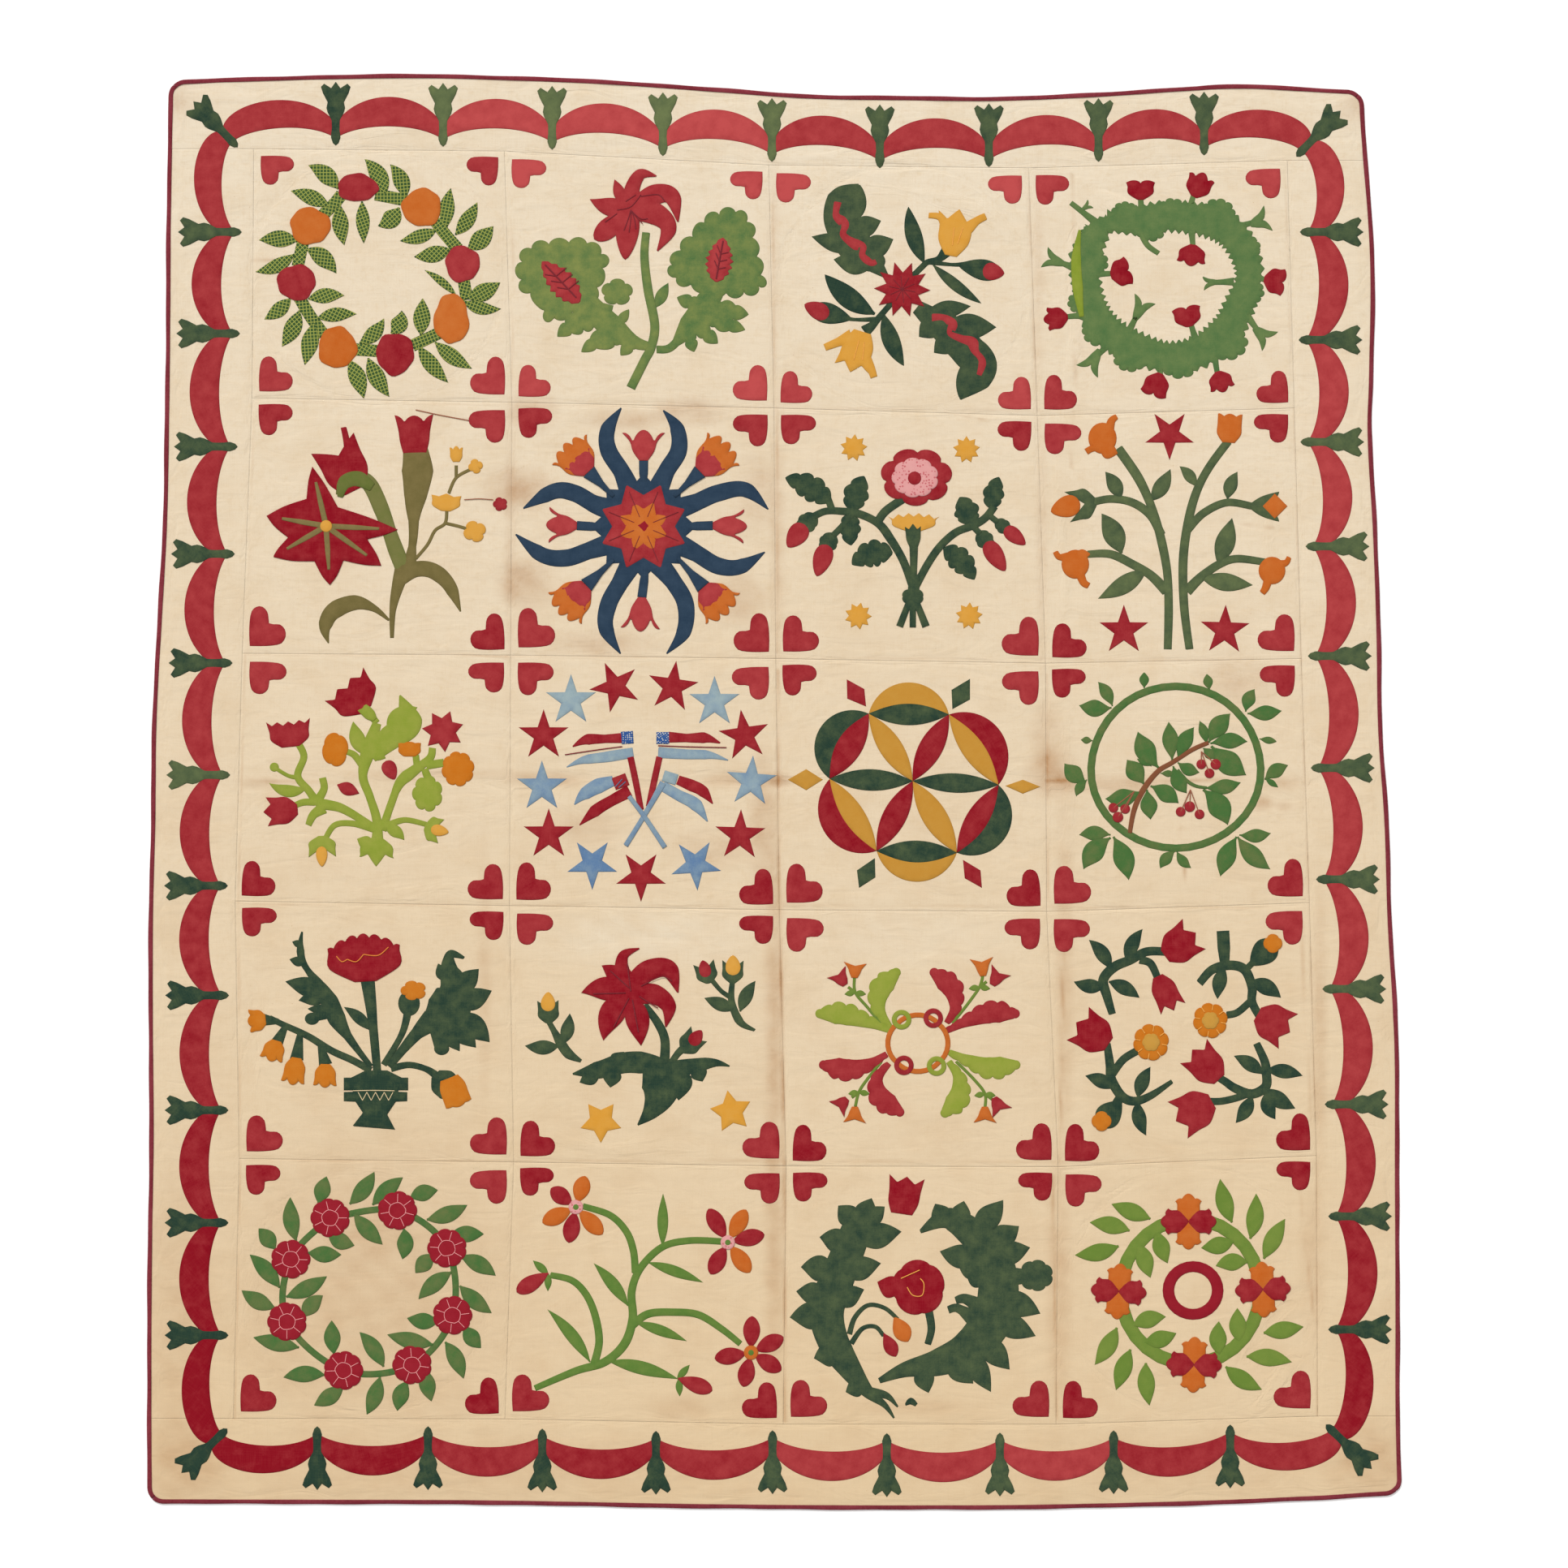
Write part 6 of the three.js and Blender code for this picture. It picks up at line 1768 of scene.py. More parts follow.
def tone(colour, share=1.0):
    """The cloth's own colour for one seen in the stage's light, as hex or linear values, or a share of it."""
    seen = linear(colour) if isinstance(colour, str) else tuple(colour)
    return tuple(v * share / LIGHT_GAIN for v in seen) + (1.0,)


def add_node(tree, kind, inputs, output=0, **settings):
    """Adds a node. Its inputs, by name or number, are fixed values or links. Gives one of its outputs."""
    node = tree.nodes.new("ShaderNode" + kind)
    for key, value in settings.items():
        setattr(node, key, value)
    for key, value in inputs.items():
        if isinstance(value, bpy.types.NodeSocket):
            tree.links.new(value, node.inputs[key])
        else:
            node.inputs[key].default_value = value
    return node.outputs[output] if len(node.outputs) else None


# A wave texture repeats once in a mm at this scale
WAVE_PER_MM = 0.314


def threads(tree, place, pitch):
    """The height of a plain weave: threads along and across, at a pitch in mm."""
    shape = {
        "Vector": place, "Scale": WAVE_PER_MM / pitch, "Distortion": 0.6, "Detail": 1.0,
        "Detail Scale": 0.6,
    }
    along = add_node(tree, "TexWave", shape, "Fac", bands_direction="X")
    across = add_node(tree, "TexWave", shape, "Fac", bands_direction="Y")
    return add_node(tree, "Math", {0: along, 1: across}, operation="MULTIPLY")


def slubs(tree, place):
    """Thicker threads that run a long way across the cloth, both ways."""
    runs = []
    for scale in ((0.03, 0.9, 1), (0.9, 0.03, 1)):
        run = add_node(tree, "Mapping", {"Vector": place, "Scale": scale})
        runs.append(add_node(tree, "TexNoise", {"Vector": run, "Scale": 1.0, "Detail": 1.0}))
    both = add_node(tree, "Math", {0: runs[0], 1: runs[1]}, operation="ADD")
    return add_node(tree, "Math", {0: both, 1: 0.5}, operation="MULTIPLY")


# The relief of each cloth's weave, in mm
MUSLIN_LIFT = 0.25
COTTON_LIFT = 0.22
COARSE_LIFT = 0.3
PAPER_LIFT = 0.01
# The wrinkles' two directions: degrees, mm along and mm across
WRINKLE_WAYS = ((8, 150, 46), (62, 130, 60))


def wrinkles(tree, place):
    """The soft crumpling of slack muslin as a height, and its sharpest folds, which also mark where painted
    shade darkens the creases.
    """
    heights = []
    for degrees, along, across in WRINKLE_WAYS:
        turned = add_node(tree, "Mapping", {
            "Vector": place, "Rotation": (0, 0, math.radians(degrees)), "Scale": (1 / along, 1 / across, 1),
        })
        heights.append(add_node(tree, "TexNoise", {
            "Vector": turned, "Scale": 1.0, "Detail": 2.0, "Roughness": 0.5, "Distortion": 1.4,
        }))
    bent = add_node(tree, "Math", {0: heights[0], 1: 0.5}, operation="SUBTRACT")
    folded = add_node(tree, "Math", {0: bent}, operation="ABSOLUTE")
    crease_and_shade_mask = add_node(tree, "Math", {0: folded, 1: -8.0, 2: 1.0}, operation="MULTIPLY_ADD", use_clamp=True)
    soft = add_node(tree, "Math", {0: heights[0], 1: heights[1]}, operation="ADD")
    return add_node(tree, "Math", {0: crease_and_shade_mask, 1: 0.07, 2: soft}, operation="MULTIPLY_ADD"), crease_and_shade_mask


def above(tree, value, level, gain):
    """How far a value stands over a level, times a gain, held between 0 and 1."""
    over = add_node(tree, "Math", {0: value, 1: level}, operation="SUBTRACT")
    return add_node(tree, "Math", {0: over, 1: gain}, operation="MULTIPLY", use_clamp=True)


def matt_cloth(tree, colour, height, lift, rough=0.92, sheen=0.03):
    """A matt fibre surface: no clear gloss, a faint sheen, and a thread relief with a lift in mm."""
    relief = add_node(tree, "Bump", {"Strength": 0.8, "Distance": lift * MM, "Height": height})
    surface = add_node(tree, "BsdfPrincipled", {
        "Base Color": colour, "Normal": relief, "Roughness": rough, "Specular IOR Level": 0.1,
        "Sheen Weight": sheen, "Sheen Roughness": 0.55,
    })
    add_node(tree, "OutputMaterial", {"Surface": surface})


def new_material(name):
    material = bpy.data.materials.new(name)
    material.use_nodes = True
    material.node_tree.nodes.clear()
    return material, material.node_tree


# Weave pitches in mm, drawn about three times as coarse as real calico so that they can be seen
CALICO_PITCH = 1.3
MUSLIN_PITCH = 1.5
BACKING_PITCH = 1.2 * MUSLIN_PITCH
STITCH_PITCH = 1.8
TWILL_PITCH = 1.6

# Each dyed cotton: its name, its fresh colour, its faded colour, and how uneven its dye is
COTTONS = {
    "red": ("turkey_red_cotton", "#8A0018", "#C24E4E", 0.5),
    "crimson": ("crimson_cotton", "#8E1020", "#A82C3A", 0.4),
    "green": ("overdyed_dark_green_cotton", "#223B30", "#6E7A4E", 0.6),
    "mid_green": ("mid_green_cotton", "#4C7040", "#7C8C54", 0.7),
    "wreath_green": ("grass_green_cotton", "#466F38", "#78794A", 0.9),
    "ring_green": ("fresh_olive_cotton", "#688434", "#8C9A48", 0.5),
    "olive": ("olive_brown_cotton", "#626F30", "#7E7A48", 0.7),
    "lime": ("yellow_green_cotton", "#86992F", "#A8A850", 0.6),
    "orange": ("cheddar_orange_cotton", "#C25E18", "#D48040", 0.5),
    "yellow": ("chrome_yellow_cotton", "#DA9A36", "#E0AC58", 0.5),
    "gold": ("old_gold_cotton", "#C48C34", "#CC9C48", 0.5),
    "amber": ("amber_cotton", "#C87014", "#D48C38", 0.5),
    "navy": ("indigo_navy_cotton", "#20354A", "#42566A", 0.5),
    "blue": ("faded_blue_cotton", "#5F7FA6", "#9DB0B4", 0.8),
    "bronze": ("bronze_brown_cotton", "#6A6034", "#8A7A4C", 0.7),
    "leaf_green": ("mottled_leaf_green_cotton", "#4C7040", "#8E9450", 0.9),
    "spring_green": ("spring_green_cotton", "#527A30", "#7F9048", 0.6),
    "brown": ("brown_cotton", "#84432F", "#8E6A42", 0.5),
}
THREADS = {
    "thread_dark": ("dark_red_embroidery_thread", "#6E1420"),
    "thread_pink": ("pale_pink_embroidery_thread", "#D88C8C"),
    "thread_pale": ("unbleached_embroidery_thread", "#C8B48C"),
    "thread_yellow": ("yellow_embroidery_thread", "#D69440"),
    "thread_orange": ("orange_embroidery_thread", "#C8742C"),
    "thread_brown": ("brown_embroidery_thread", "#8A5038"),
    "thread_blue": ("grey_blue_embroidery_thread", "#4C6682"),
}


def faded_dye(tree, fresh, faded, uneven, place):
    """The colour and height of dyed cloth: fresh to faded, mottled, with painted shade at the turned edge."""
    broad = add_node(tree, "TexNoise", {"Vector": place, "Scale": 0.045, "Detail": 3.0, "Roughness": 0.6})
    fine = add_node(tree, "TexNoise", {"Vector": place, "Scale": 0.4, "Detail": 2.0, "Roughness": 0.7})
    swing = add_node(tree, "Math", {0: broad, 1: 1.6 * uneven, 2: -0.8 * uneven}, operation="MULTIPLY_ADD")
    grain = add_node(tree, "Math", {0: fine, 1: 0.5 * uneven, 2: -0.25 * uneven}, operation="MULTIPLY_ADD")
    moved = add_node(tree, "Math", {0: swing, 1: grain}, operation="ADD")
    fade = add_node(tree, "Attribute", {}, "Fac", attribute_name="fade")
    share = add_node(tree, "Math", {0: fade, 1: moved}, operation="ADD", use_clamp=True)
    worn = add_node(tree, "Mix", {0: share, 6: tone(fresh), 7: tone(faded)}, 2, data_type="RGBA")
    weave = threads(tree, place, CALICO_PITCH)
    thick = slubs(tree, place)
    pale = above(tree, thick, 0.42, 0.5)
    lit = add_node(tree, "Mix", {0: pale, 6: worn, 7: tone(faded)}, 2, data_type="RGBA")
    # Painted shade: a darker copy of the fresh colour along each piece's edge
    edge = add_node(tree, "Attribute", {}, "Fac", attribute_name="edge")
    edge_shade = add_node(tree, "Math", {0: edge, 1: 0.3}, operation="MULTIPLY")
    edge_shaded = add_node(tree, "Mix", {0: edge_shade, 6: lit, 7: tone(fresh, 0.45)}, 2, data_type="RGBA")
    height = add_node(tree, "Math", {0: thick, 1: 0.8, 2: weave}, operation="MULTIPLY_ADD")
    return edge_shaded, height


def dyed_cotton(key):
    """Plain woven calico dyed in the piece: matt, a fine weave, faded unevenly, with painted shade along its
    turned edges.
    """
    name, fresh, faded, uneven = COTTONS[key]
    chosen = bpy.context.scene.quilt_cloths
    fresh, faded = getattr(chosen, f"{key}_fresh", fresh), getattr(chosen, f"{key}_faded", faded)
    material, tree = new_material(name)
    place = add_node(tree, "Attribute", {}, "Vector", attribute_name="cloth_place")
    colour, height = faded_dye(tree, fresh, faded, uneven, place)
    matt_cloth(tree, colour, height, COTTON_LIFT)
    return material


# The printed check: the distance between its yellow lines and half a line's width
CHECK_PITCH = 5.8
CHECK_LINE_HALF = 0.7


def checked_print():
    """Dark green calico block printed with a fine grid: thin yellow lines 5.8 mm apart."""
    material, tree = new_material("green_calico_with_yellow_check_print")
    place = add_node(tree, "Attribute", {}, "Vector", attribute_name="cloth_place")
    colour, height = faded_dye(tree, "#33502C", "#4A6636", 0.5, place)
    lines = []
    for way in ("X", "Y"):
        run = add_node(tree, "SeparateXYZ", {"Vector": place}, way)
        across = add_node(tree, "Math", {0: run, 1: CHECK_PITCH / 2}, operation="PINGPONG")
        lines.append(add_node(tree, "Math", {0: across, 1: CHECK_LINE_HALF}, operation="LESS_THAN"))
    grid = add_node(tree, "Math", {0: lines[0], 1: lines[1]}, operation="MAXIMUM")
    inked = add_node(tree, "Math", {0: grid, 1: 0.8}, operation="MULTIPLY")
    printed = add_node(tree, "Mix", {0: inked, 6: colour, 7: tone("#A9AE54")}, 2, data_type="RGBA")
    matt_cloth(tree, printed, height, COTTON_LIFT)
    return material


def sprigged_print():
    """Pale pink calico block printed with small broken red sprigs about 5 mm apart."""
    material, tree = new_material("pink_calico_with_red_sprig_print")
    place = add_node(tree, "Attribute", {}, "Vector", attribute_name="cloth_place")
    colour, height = faded_dye(tree, "#DE9696", "#EAB4AE", 0.4, place)
    cells = add_node(tree, "TexVoronoi", {"Vector": place, "Scale": 0.2, "Randomness": 0.6}, "Distance")
    sprig = add_node(tree, "Math", {0: cells, 1: 0.34}, operation="LESS_THAN")
    ragged = add_node(tree, "TexNoise", {"Vector": place, "Scale": 0.9, "Detail": 2.0})
    broken = add_node(tree, "Math", {0: ragged, 1: 0.42}, operation="GREATER_THAN")
    inked = add_node(tree, "Math", {0: sprig, 1: broken}, operation="MULTIPLY")
    share = add_node(tree, "Math", {0: inked, 1: 0.75}, operation="MULTIPLY")
    printed = add_node(tree, "Mix", {0: share, 6: colour, 7: tone("#B83A48")}, 2, data_type="RGBA")
    matt_cloth(tree, printed, height, COTTON_LIFT)
    return material


def flecked_print():
    """Blue calico with small pale discharged flecks, about 3.5 mm apart."""
    material, tree = new_material("blue_calico_with_pale_fleck_print")
    place = add_node(tree, "Attribute", {}, "Vector", attribute_name="cloth_place")
    colour, height = faded_dye(tree, "#1F4C90", "#4A6AA0", 0.4, place)
    cells = add_node(tree, "TexVoronoi", {"Vector": place, "Scale": 0.28, "Randomness": 0.35}, "Distance")
    fleck = add_node(tree, "Math", {0: cells, 1: 0.3}, operation="LESS_THAN")
    share = add_node(tree, "Math", {0: fleck, 1: 0.8}, operation="MULTIPLY")
    printed = add_node(tree, "Mix", {0: share, 6: colour, 7: tone("#E6E2D0")}, 2, data_type="RGBA")
    matt_cloth(tree, printed, height, COTTON_LIFT)
    return material


def embroidery(key):
    """Raised satin stitches of mercerised cotton: short slanting stitches with a soft gloss."""
    name, colour = THREADS[key]
    material, tree = new_material(name)
    place = add_node(tree, "Attribute", {}, "Vector", attribute_name="cloth_place")
    shape = {"Vector": place, "Scale": WAVE_PER_MM / STITCH_PITCH, "Distortion": 1.5}
    stitches = add_node(tree, "TexWave", shape, "Fac", bands_direction="DIAGONAL")
    uneven = add_node(tree, "TexNoise", {"Vector": place, "Scale": 0.2, "Detail": 2.0})
    mottled = add_node(tree, "Mix", {0: uneven, 6: tone(colour), 7: tone(colour, 1.5)}, 2, data_type="RGBA")
    matt_cloth(tree, mottled, stitches, COARSE_LIFT, rough=0.7, sheen=0.2)
    return material


def bound_edge():
    """Wine red twill tape folded over the rim: fine slanting ribs, worn pale in places."""
    material, tree = new_material("wine_red_twill_tape")
    place = add_node(tree, "Attribute", {}, "Vector", attribute_name="cloth_place")
    shape = {"Vector": place, "Scale": WAVE_PER_MM / TWILL_PITCH, "Distortion": 0.4}
    twill = add_node(tree, "TexWave", shape, "Fac", bands_direction="DIAGONAL")
    broad = add_node(tree, "TexNoise", {"Vector": place, "Scale": 0.012, "Detail": 3.0, "Roughness": 0.6})
    fine = add_node(tree, "TexNoise", {"Vector": place, "Scale": 0.25, "Detail": 3.0, "Roughness": 0.7})
    both = add_node(tree, "Math", {0: broad, 1: fine}, operation="ADD")
    worn = above(tree, both, 0.72, 1.3)
    red = tone(bpy.context.scene.quilt_cloths.binding_red)
    colour = add_node(tree, "Mix", {0: worn, 6: red, 7: tone("#96404A")}, 2, data_type="RGBA")
    height = add_node(tree, "Math", {0: twill, 1: fine}, operation="ADD")
    matt_cloth(tree, colour, height, COARSE_LIFT)
    return material


def muslin_ground():
    """Unbleached muslin: a plain weave with slubs, yellowed, with brown stains, fold lines and flecks,
    painted shadow along the seams and folds, and painted shade in the sharpest wrinkles.
    """
    material, tree = new_material("aged_cream_muslin")
    chosen = bpy.context.scene.quilt_cloths
    place = add_node(tree, "Attribute", {}, "Vector", attribute_name="cloth_place")
    age = add_node(tree, "Attribute", {}, "Fac", attribute_name="age")
    stain = add_node(tree, "Attribute", {}, "Fac", attribute_name="stain")
    pale, aged = tone(chosen.muslin_pale), tone(chosen.muslin_aged)
    colour = add_node(tree, "Mix", {0: age, 6: pale, 7: aged}, 2, data_type="RGBA")
    deeper = add_node(tree, "Mix", {0: age, 6: tone("#E5D1B3"), 7: tone("#D9BB94")}, 2, data_type="RGBA")
    broad = add_node(tree, "TexNoise", {"Vector": place, "Scale": 0.011, "Detail": 4.0, "Roughness": 0.6})
    fine = add_node(tree, "TexNoise", {"Vector": place, "Scale": 0.09, "Detail": 4.0, "Roughness": 0.7})
    flecks = add_node(tree, "TexNoise", {"Vector": place, "Scale": 0.33, "Detail": 2.0, "Roughness": 0.6})
    thick = slubs(tree, place)
    crumpled, crease_and_shade_mask = wrinkles(tree, place)
    uneven = add_node(tree, "Math", {0: fine, 1: 0.7, 2: 0.62}, operation="MULTIPLY_ADD")
    # The stain attribute also carries painted shadow lines along the seams and folds
    browned_and_shadowed = add_node(tree, "Math", {0: stain, 1: uneven}, operation="MULTIPLY", use_clamp=True)
    layers = [
        (above(tree, broad, 0.45, 2.2), deeper), (above(tree, fine, 0.52, 1.8), tone("#DFC7A4")),
        (browned_and_shadowed, tone("#AF7C4C")), (above(tree, stain, 0.0, -1.0), tone("#F0E6D2")),
        (above(tree, flecks, 0.72, 8.0), tone("#B48C62")), (above(tree, thick, 0.5, 1.2), tone("#D3B58E")),
        # Painted shade: the sharpest wrinkle folds are darkened to tan
        (above(tree, crease_and_shade_mask, 0.86, 1.2), tone("#D9BE98")),
    ]
    for share, over in layers:
        colour = add_node(tree, "Mix", {0: share, 6: colour, 7: over}, 2, data_type="RGBA")
    weave = threads(tree, place, MUSLIN_PITCH)
    woven = add_node(tree, "Math", {0: weave, 1: thick}, operation="ADD")
    lifted = chosen.wrinkle_rise / (MUSLIN_LIFT * MM)
    height = add_node(tree, "Math", {0: crumpled, 1: lifted, 2: woven}, operation="MULTIPLY_ADD")
    matt_cloth(tree, colour, height, MUSLIN_LIFT)
    return material


def muslin_backing():
    """Coarser unbleached muslin on the underside: plain weave, slubs and faint clouding."""
    material, tree = new_material("coarse_unbleached_muslin")
    place = add_node(tree, "Attribute", {}, "Vector", attribute_name="cloth_place")
    broad = add_node(tree, "TexNoise", {"Vector": place, "Scale": 0.01, "Detail": 4.0, "Roughness": 0.6})
    colour = add_node(tree, "Mix", {0: broad, 6: tone("#E4D3B4"), 7: tone("#D3B78F")}, 2, data_type="RGBA")
    weave = threads(tree, place, BACKING_PITCH)
    height = add_node(tree, "Math", {0: weave, 1: slubs(tree, place)}, operation="ADD")
    matt_cloth(tree, colour, height, COARSE_LIFT)
    return material


def white_floor():
    """The stage's smooth white paper floor."""
    material, tree = new_material("smooth_white_paper")
    place = add_node(tree, "TexCoord", {}, "Object")
    fibres = add_node(tree, "TexNoise", {"Vector": place, "Scale": 300.0, "Detail": 2.0})
    colour = add_node(
        tree, "Mix", {0: fibres, 6: (0.9, 0.9, 0.9, 1), 7: (0.94, 0.94, 0.94, 1)}, 2, data_type="RGBA",
    )
    matt_cloth(tree, colour, fibres, PAPER_LIFT, rough=0.95, sheen=0.0)
    return material


PRINTS = {
    "check": checked_print,
    "pink": sprigged_print,
    "blue_print": flecked_print,
    "binding": bound_edge,
    "ground": muslin_ground,
    "backing": muslin_backing,
}
MADE_CLOTHS = {}


def cloth_of(key):
    """The material of a cloth, made once."""
    if key not in MADE_CLOTHS:
        if key in COTTONS:
            MADE_CLOTHS[key] = dyed_cotton(key)
        elif key in THREADS:
            MADE_CLOTHS[key] = embroidery(key)
        else:
            MADE_CLOTHS[key] = PRINTS[key]()
    return MADE_CLOTHS[key]


def grid_shares(length, near=(2.0, 4.5, 8.5)):
    """Shares along a side, closer together near both its ends."""
    count = int(round((length - 2 * near[-1]) / GROUND_STEP))
    middle = np.linspace(near[-1], length - near[-1], count + 1)
    line = np.concatenate([[0], near[:-1], middle, length - np.array(near[-2::-1]), [length]])
    return line / length


def slab(name, cloth, x, y, top, under):
    """A closed cloth with its upper face on a grid of points and a flat underside."""
    rows, columns = x.shape
    points = np.column_stack([x.ravel(), y.ravel(), top.ravel()])
    index = np.arange(rows * columns).reshape(rows, columns)
    a, b, c, d = index[:-1, :-1], index[:-1, 1:], index[1:, 1:], index[1:, :-1]
    faces = np.vstack([
        np.column_stack([a.ravel(), b.ravel(), c.ravel()]), np.column_stack([a.ravel(), c.ravel(), d.ravel()])
    ])
    loop = np.concatenate([index[0, :-1], index[:-1, -1], index[-1, :0:-1], index[:0:-1, 0]])
    base = points[loop].copy()
    base[:, 2] = under
    low = len(points) + np.arange(len(loop))
    following, low_following = np.roll(loop, -1), np.roll(low, -1)
    walls = np.vstack([
        np.column_stack([loop, low, low_following]), np.column_stack([loop, low_following, following])
    ])
    flat, bottom = triangulated(base[:, :2], [], [list(range(len(loop)))], 1)
    nearest = ((flat[:, None, :] - base[None, :, :2]) ** 2).sum(axis=2).argmin(axis=1)
    bottom = low[nearest][bottom][:, ::-1]
    if ((x[0, 1] - x[0, 0]) * (y[1, 0] - y[0, 0])) < 0:
        faces, walls = faces[:, ::-1], walls[:, ::-1]
    points = np.vstack([points, base])
    attributes = [
        ("cloth_place", "FLOAT_VECTOR", points),
        ("stain", "FLOAT", ground_stain_and_shadow(points[:, 0], points[:, 1])),
        ("age", "FLOAT", ground_age(points[:, 0], points[:, 1])),
    ]
    piece = mesh_object(name, points, np.vstack([faces, walls, bottom]), attributes, cloth_of(cloth))
    return piece


def ground_slab(name, x, y):
    """A piece of the upper muslin, which rests on the backing."""
    height = ground_height(x.ravel(), y.ravel()).reshape(x.shape)
    return slab(name, "ground", x, y, height, BACKING_THICK)


def block_ground(row, column):
    """The muslin square under one design."""
    s = grid_shares(450.0)[None, :]
    t = grid_shares(435.0)[:, None]
    corner_x, corner_y = SEAM_X[
        row : row + 2, column : column + 2,
    ], SEAM_Y[row : row + 2, column : column + 2]
    x, y = (
        (1 - t) * (
            (1 - s) * corner[0, 0] + s * corner[0, 1]
        ) + t * ((1 - s) * corner[1, 0] + s * corner[1, 1])
        for corner in (corner_x, corner_y)
    )
    return ground_slab(f"block_{row * COLUMNS + column + 1:02d}_ground", x, y)


# Usual sizes of the border's strips, and how many times a grid is fitted to edges that depend on each other
QUILT_WIDE = 2160.0
SIDE_LONG = 2180.0
STRIP_WIDE = 130.0
FIT_ROUNDS = 4


def border_ground(side):
    """One border strip. The upper and lower ones reach the corners."""
    along, across = grid_shares(QUILT_WIDE), grid_shares(STRIP_WIDE, (2.0, 4.5, 9.0))
    if side in ("top", "bottom"):
        u, v = along[None, :] + 0 * across[:, None], across[:, None] + 0 * along[None, :]
        x, y = QUILT_WIDE * (u - 0.5), np.full(u.shape, 1160.0 if side == "top" else -1160.0)
        for _ in range(FIT_ROUNDS):
            x = left_rim(y) + u * (right_rim(y) - left_rim(y))
            if side == "top":
                y = seam_across(0, x) + v * (top_rim(x) - seam_across(0, x))
            else:
                y = bottom_rim(x) + v * (seam_across(ROWS, x) - bottom_rim(x))
    else:
        u, v = across[None, :] + 0 * along[:, None], along[:, None] + 0 * across[None, :]
        x, y = np.full(u.shape, -1000.0 if side == "left" else 1000.0), SIDE_LONG * (v - 0.5)
        for _ in range(FIT_ROUNDS):
            y = seam_across(ROWS, x) + v * (seam_across(0, x) - seam_across(ROWS, x))
            if side == "left":
                x = left_rim(y) + u * (seam_down(0, y) - left_rim(y))
            else:
                x = seam_down(COLUMNS, y) + u * (right_rim(y) - seam_down(COLUMNS, y))
    return ground_slab(f"border_ground_{side}", x, y)


def backing_sheet():
    """The plain sheet underneath, which lies flat."""
    u, v = np.meshgrid(np.linspace(0, 1, 60), np.linspace(0, 1, 66))
    near = np.array([0, 0.003, 0.008, 0.016])
    u[:, :4], u[:, -4:] = near, 1 - near[::-1]
    x, y = 2140 * (u - 0.5), 2440 * (v - 0.5)
    for _ in range(FIT_ROUNDS):
        x = left_rim(y) + u * (right_rim(y) - left_rim(y))
        y = bottom_rim(x) + v * (top_rim(x) - bottom_rim(x))
    return slab("backing_sheet", "backing", x, y, np.full(x.shape, BACKING_THICK), 0.0)


def rim_runs():
    """The quilt's edge as four runs, from the middle of each rounded corner to the next, clockwise."""
    runs = {}
    x = np.arange(left_rim(1210.0) + 40, right_rim(1200.0) - 40, 6.0)
    start = np.array([left_rim(1210.0) + 6.5, *(left_rim(1210.0) + 6.5 + np.array([2, 5, 9, 14, 20, 27]))])
    stop = right_rim(1200.0) - (start - left_rim(1210.0))[::-1]
    line = np.concatenate([start, x, stop])
    runs["top"] = np.column_stack([line, top_rim(line)])
    x = np.arange(left_rim(-1220.0) + 40, right_rim(-1205.0) - 40, 6.0)
    start = left_rim(-1220.0) + np.array([6.5, 8.5, 11.5, 15.5, 20.5, 26.5, 33.5])
    stop = right_rim(-1205.0) - (start - left_rim(-1220.0))[::-1]
    line = np.concatenate([start, x, stop])
    runs["bottom"] = np.column_stack([line, bottom_rim(line)])[::-1]
    low, high = runs["bottom"][0], runs["top"][-1]
    y = np.arange(high[1] - 24, low[1] + 24, -6.0)
    near = np.array([3.5, 7, 11, 15.5])
    y = np.concatenate([high[1] - near, y, low[1] + near[::-1]])
    drop = corner_drop(np.minimum(top_rim(right_rim(y) - 30) - y, y - bottom_rim(right_rim(y) - 30)))
    side = np.column_stack([right_rim(y) - drop, y])
    runs["right"] = np.vstack([high, side, low])
    low, high = runs["bottom"][-1], runs["top"][0]
    y = np.arange(low[1] + 24, high[1] - 24, 6.0)
    y = np.concatenate([low[1] + near, y, high[1] - near[::-1]])
    drop = corner_drop(np.minimum(top_rim(left_rim(y) + 30) - y, y - bottom_rim(left_rim(y) + 30)))
    side = np.column_stack([left_rim(y) + drop, y])
    runs["left"] = np.vstack([low, side, high])
    return runs


# The folded binding in section: outwards from the ground's edge, and up
BINDING_SECTION = [
    (-1.6, 3.0), (-1.6, 4.1), (-0.6, 4.45), (1.2, 4.45), (3.2, 4.35), (4.7, 3.8), (5.7, 2.9), (6.1, 1.8),
    (5.9, 0.8), (5.0, 0.1), (0.3, 0.05), (0.3, 3.0),
]


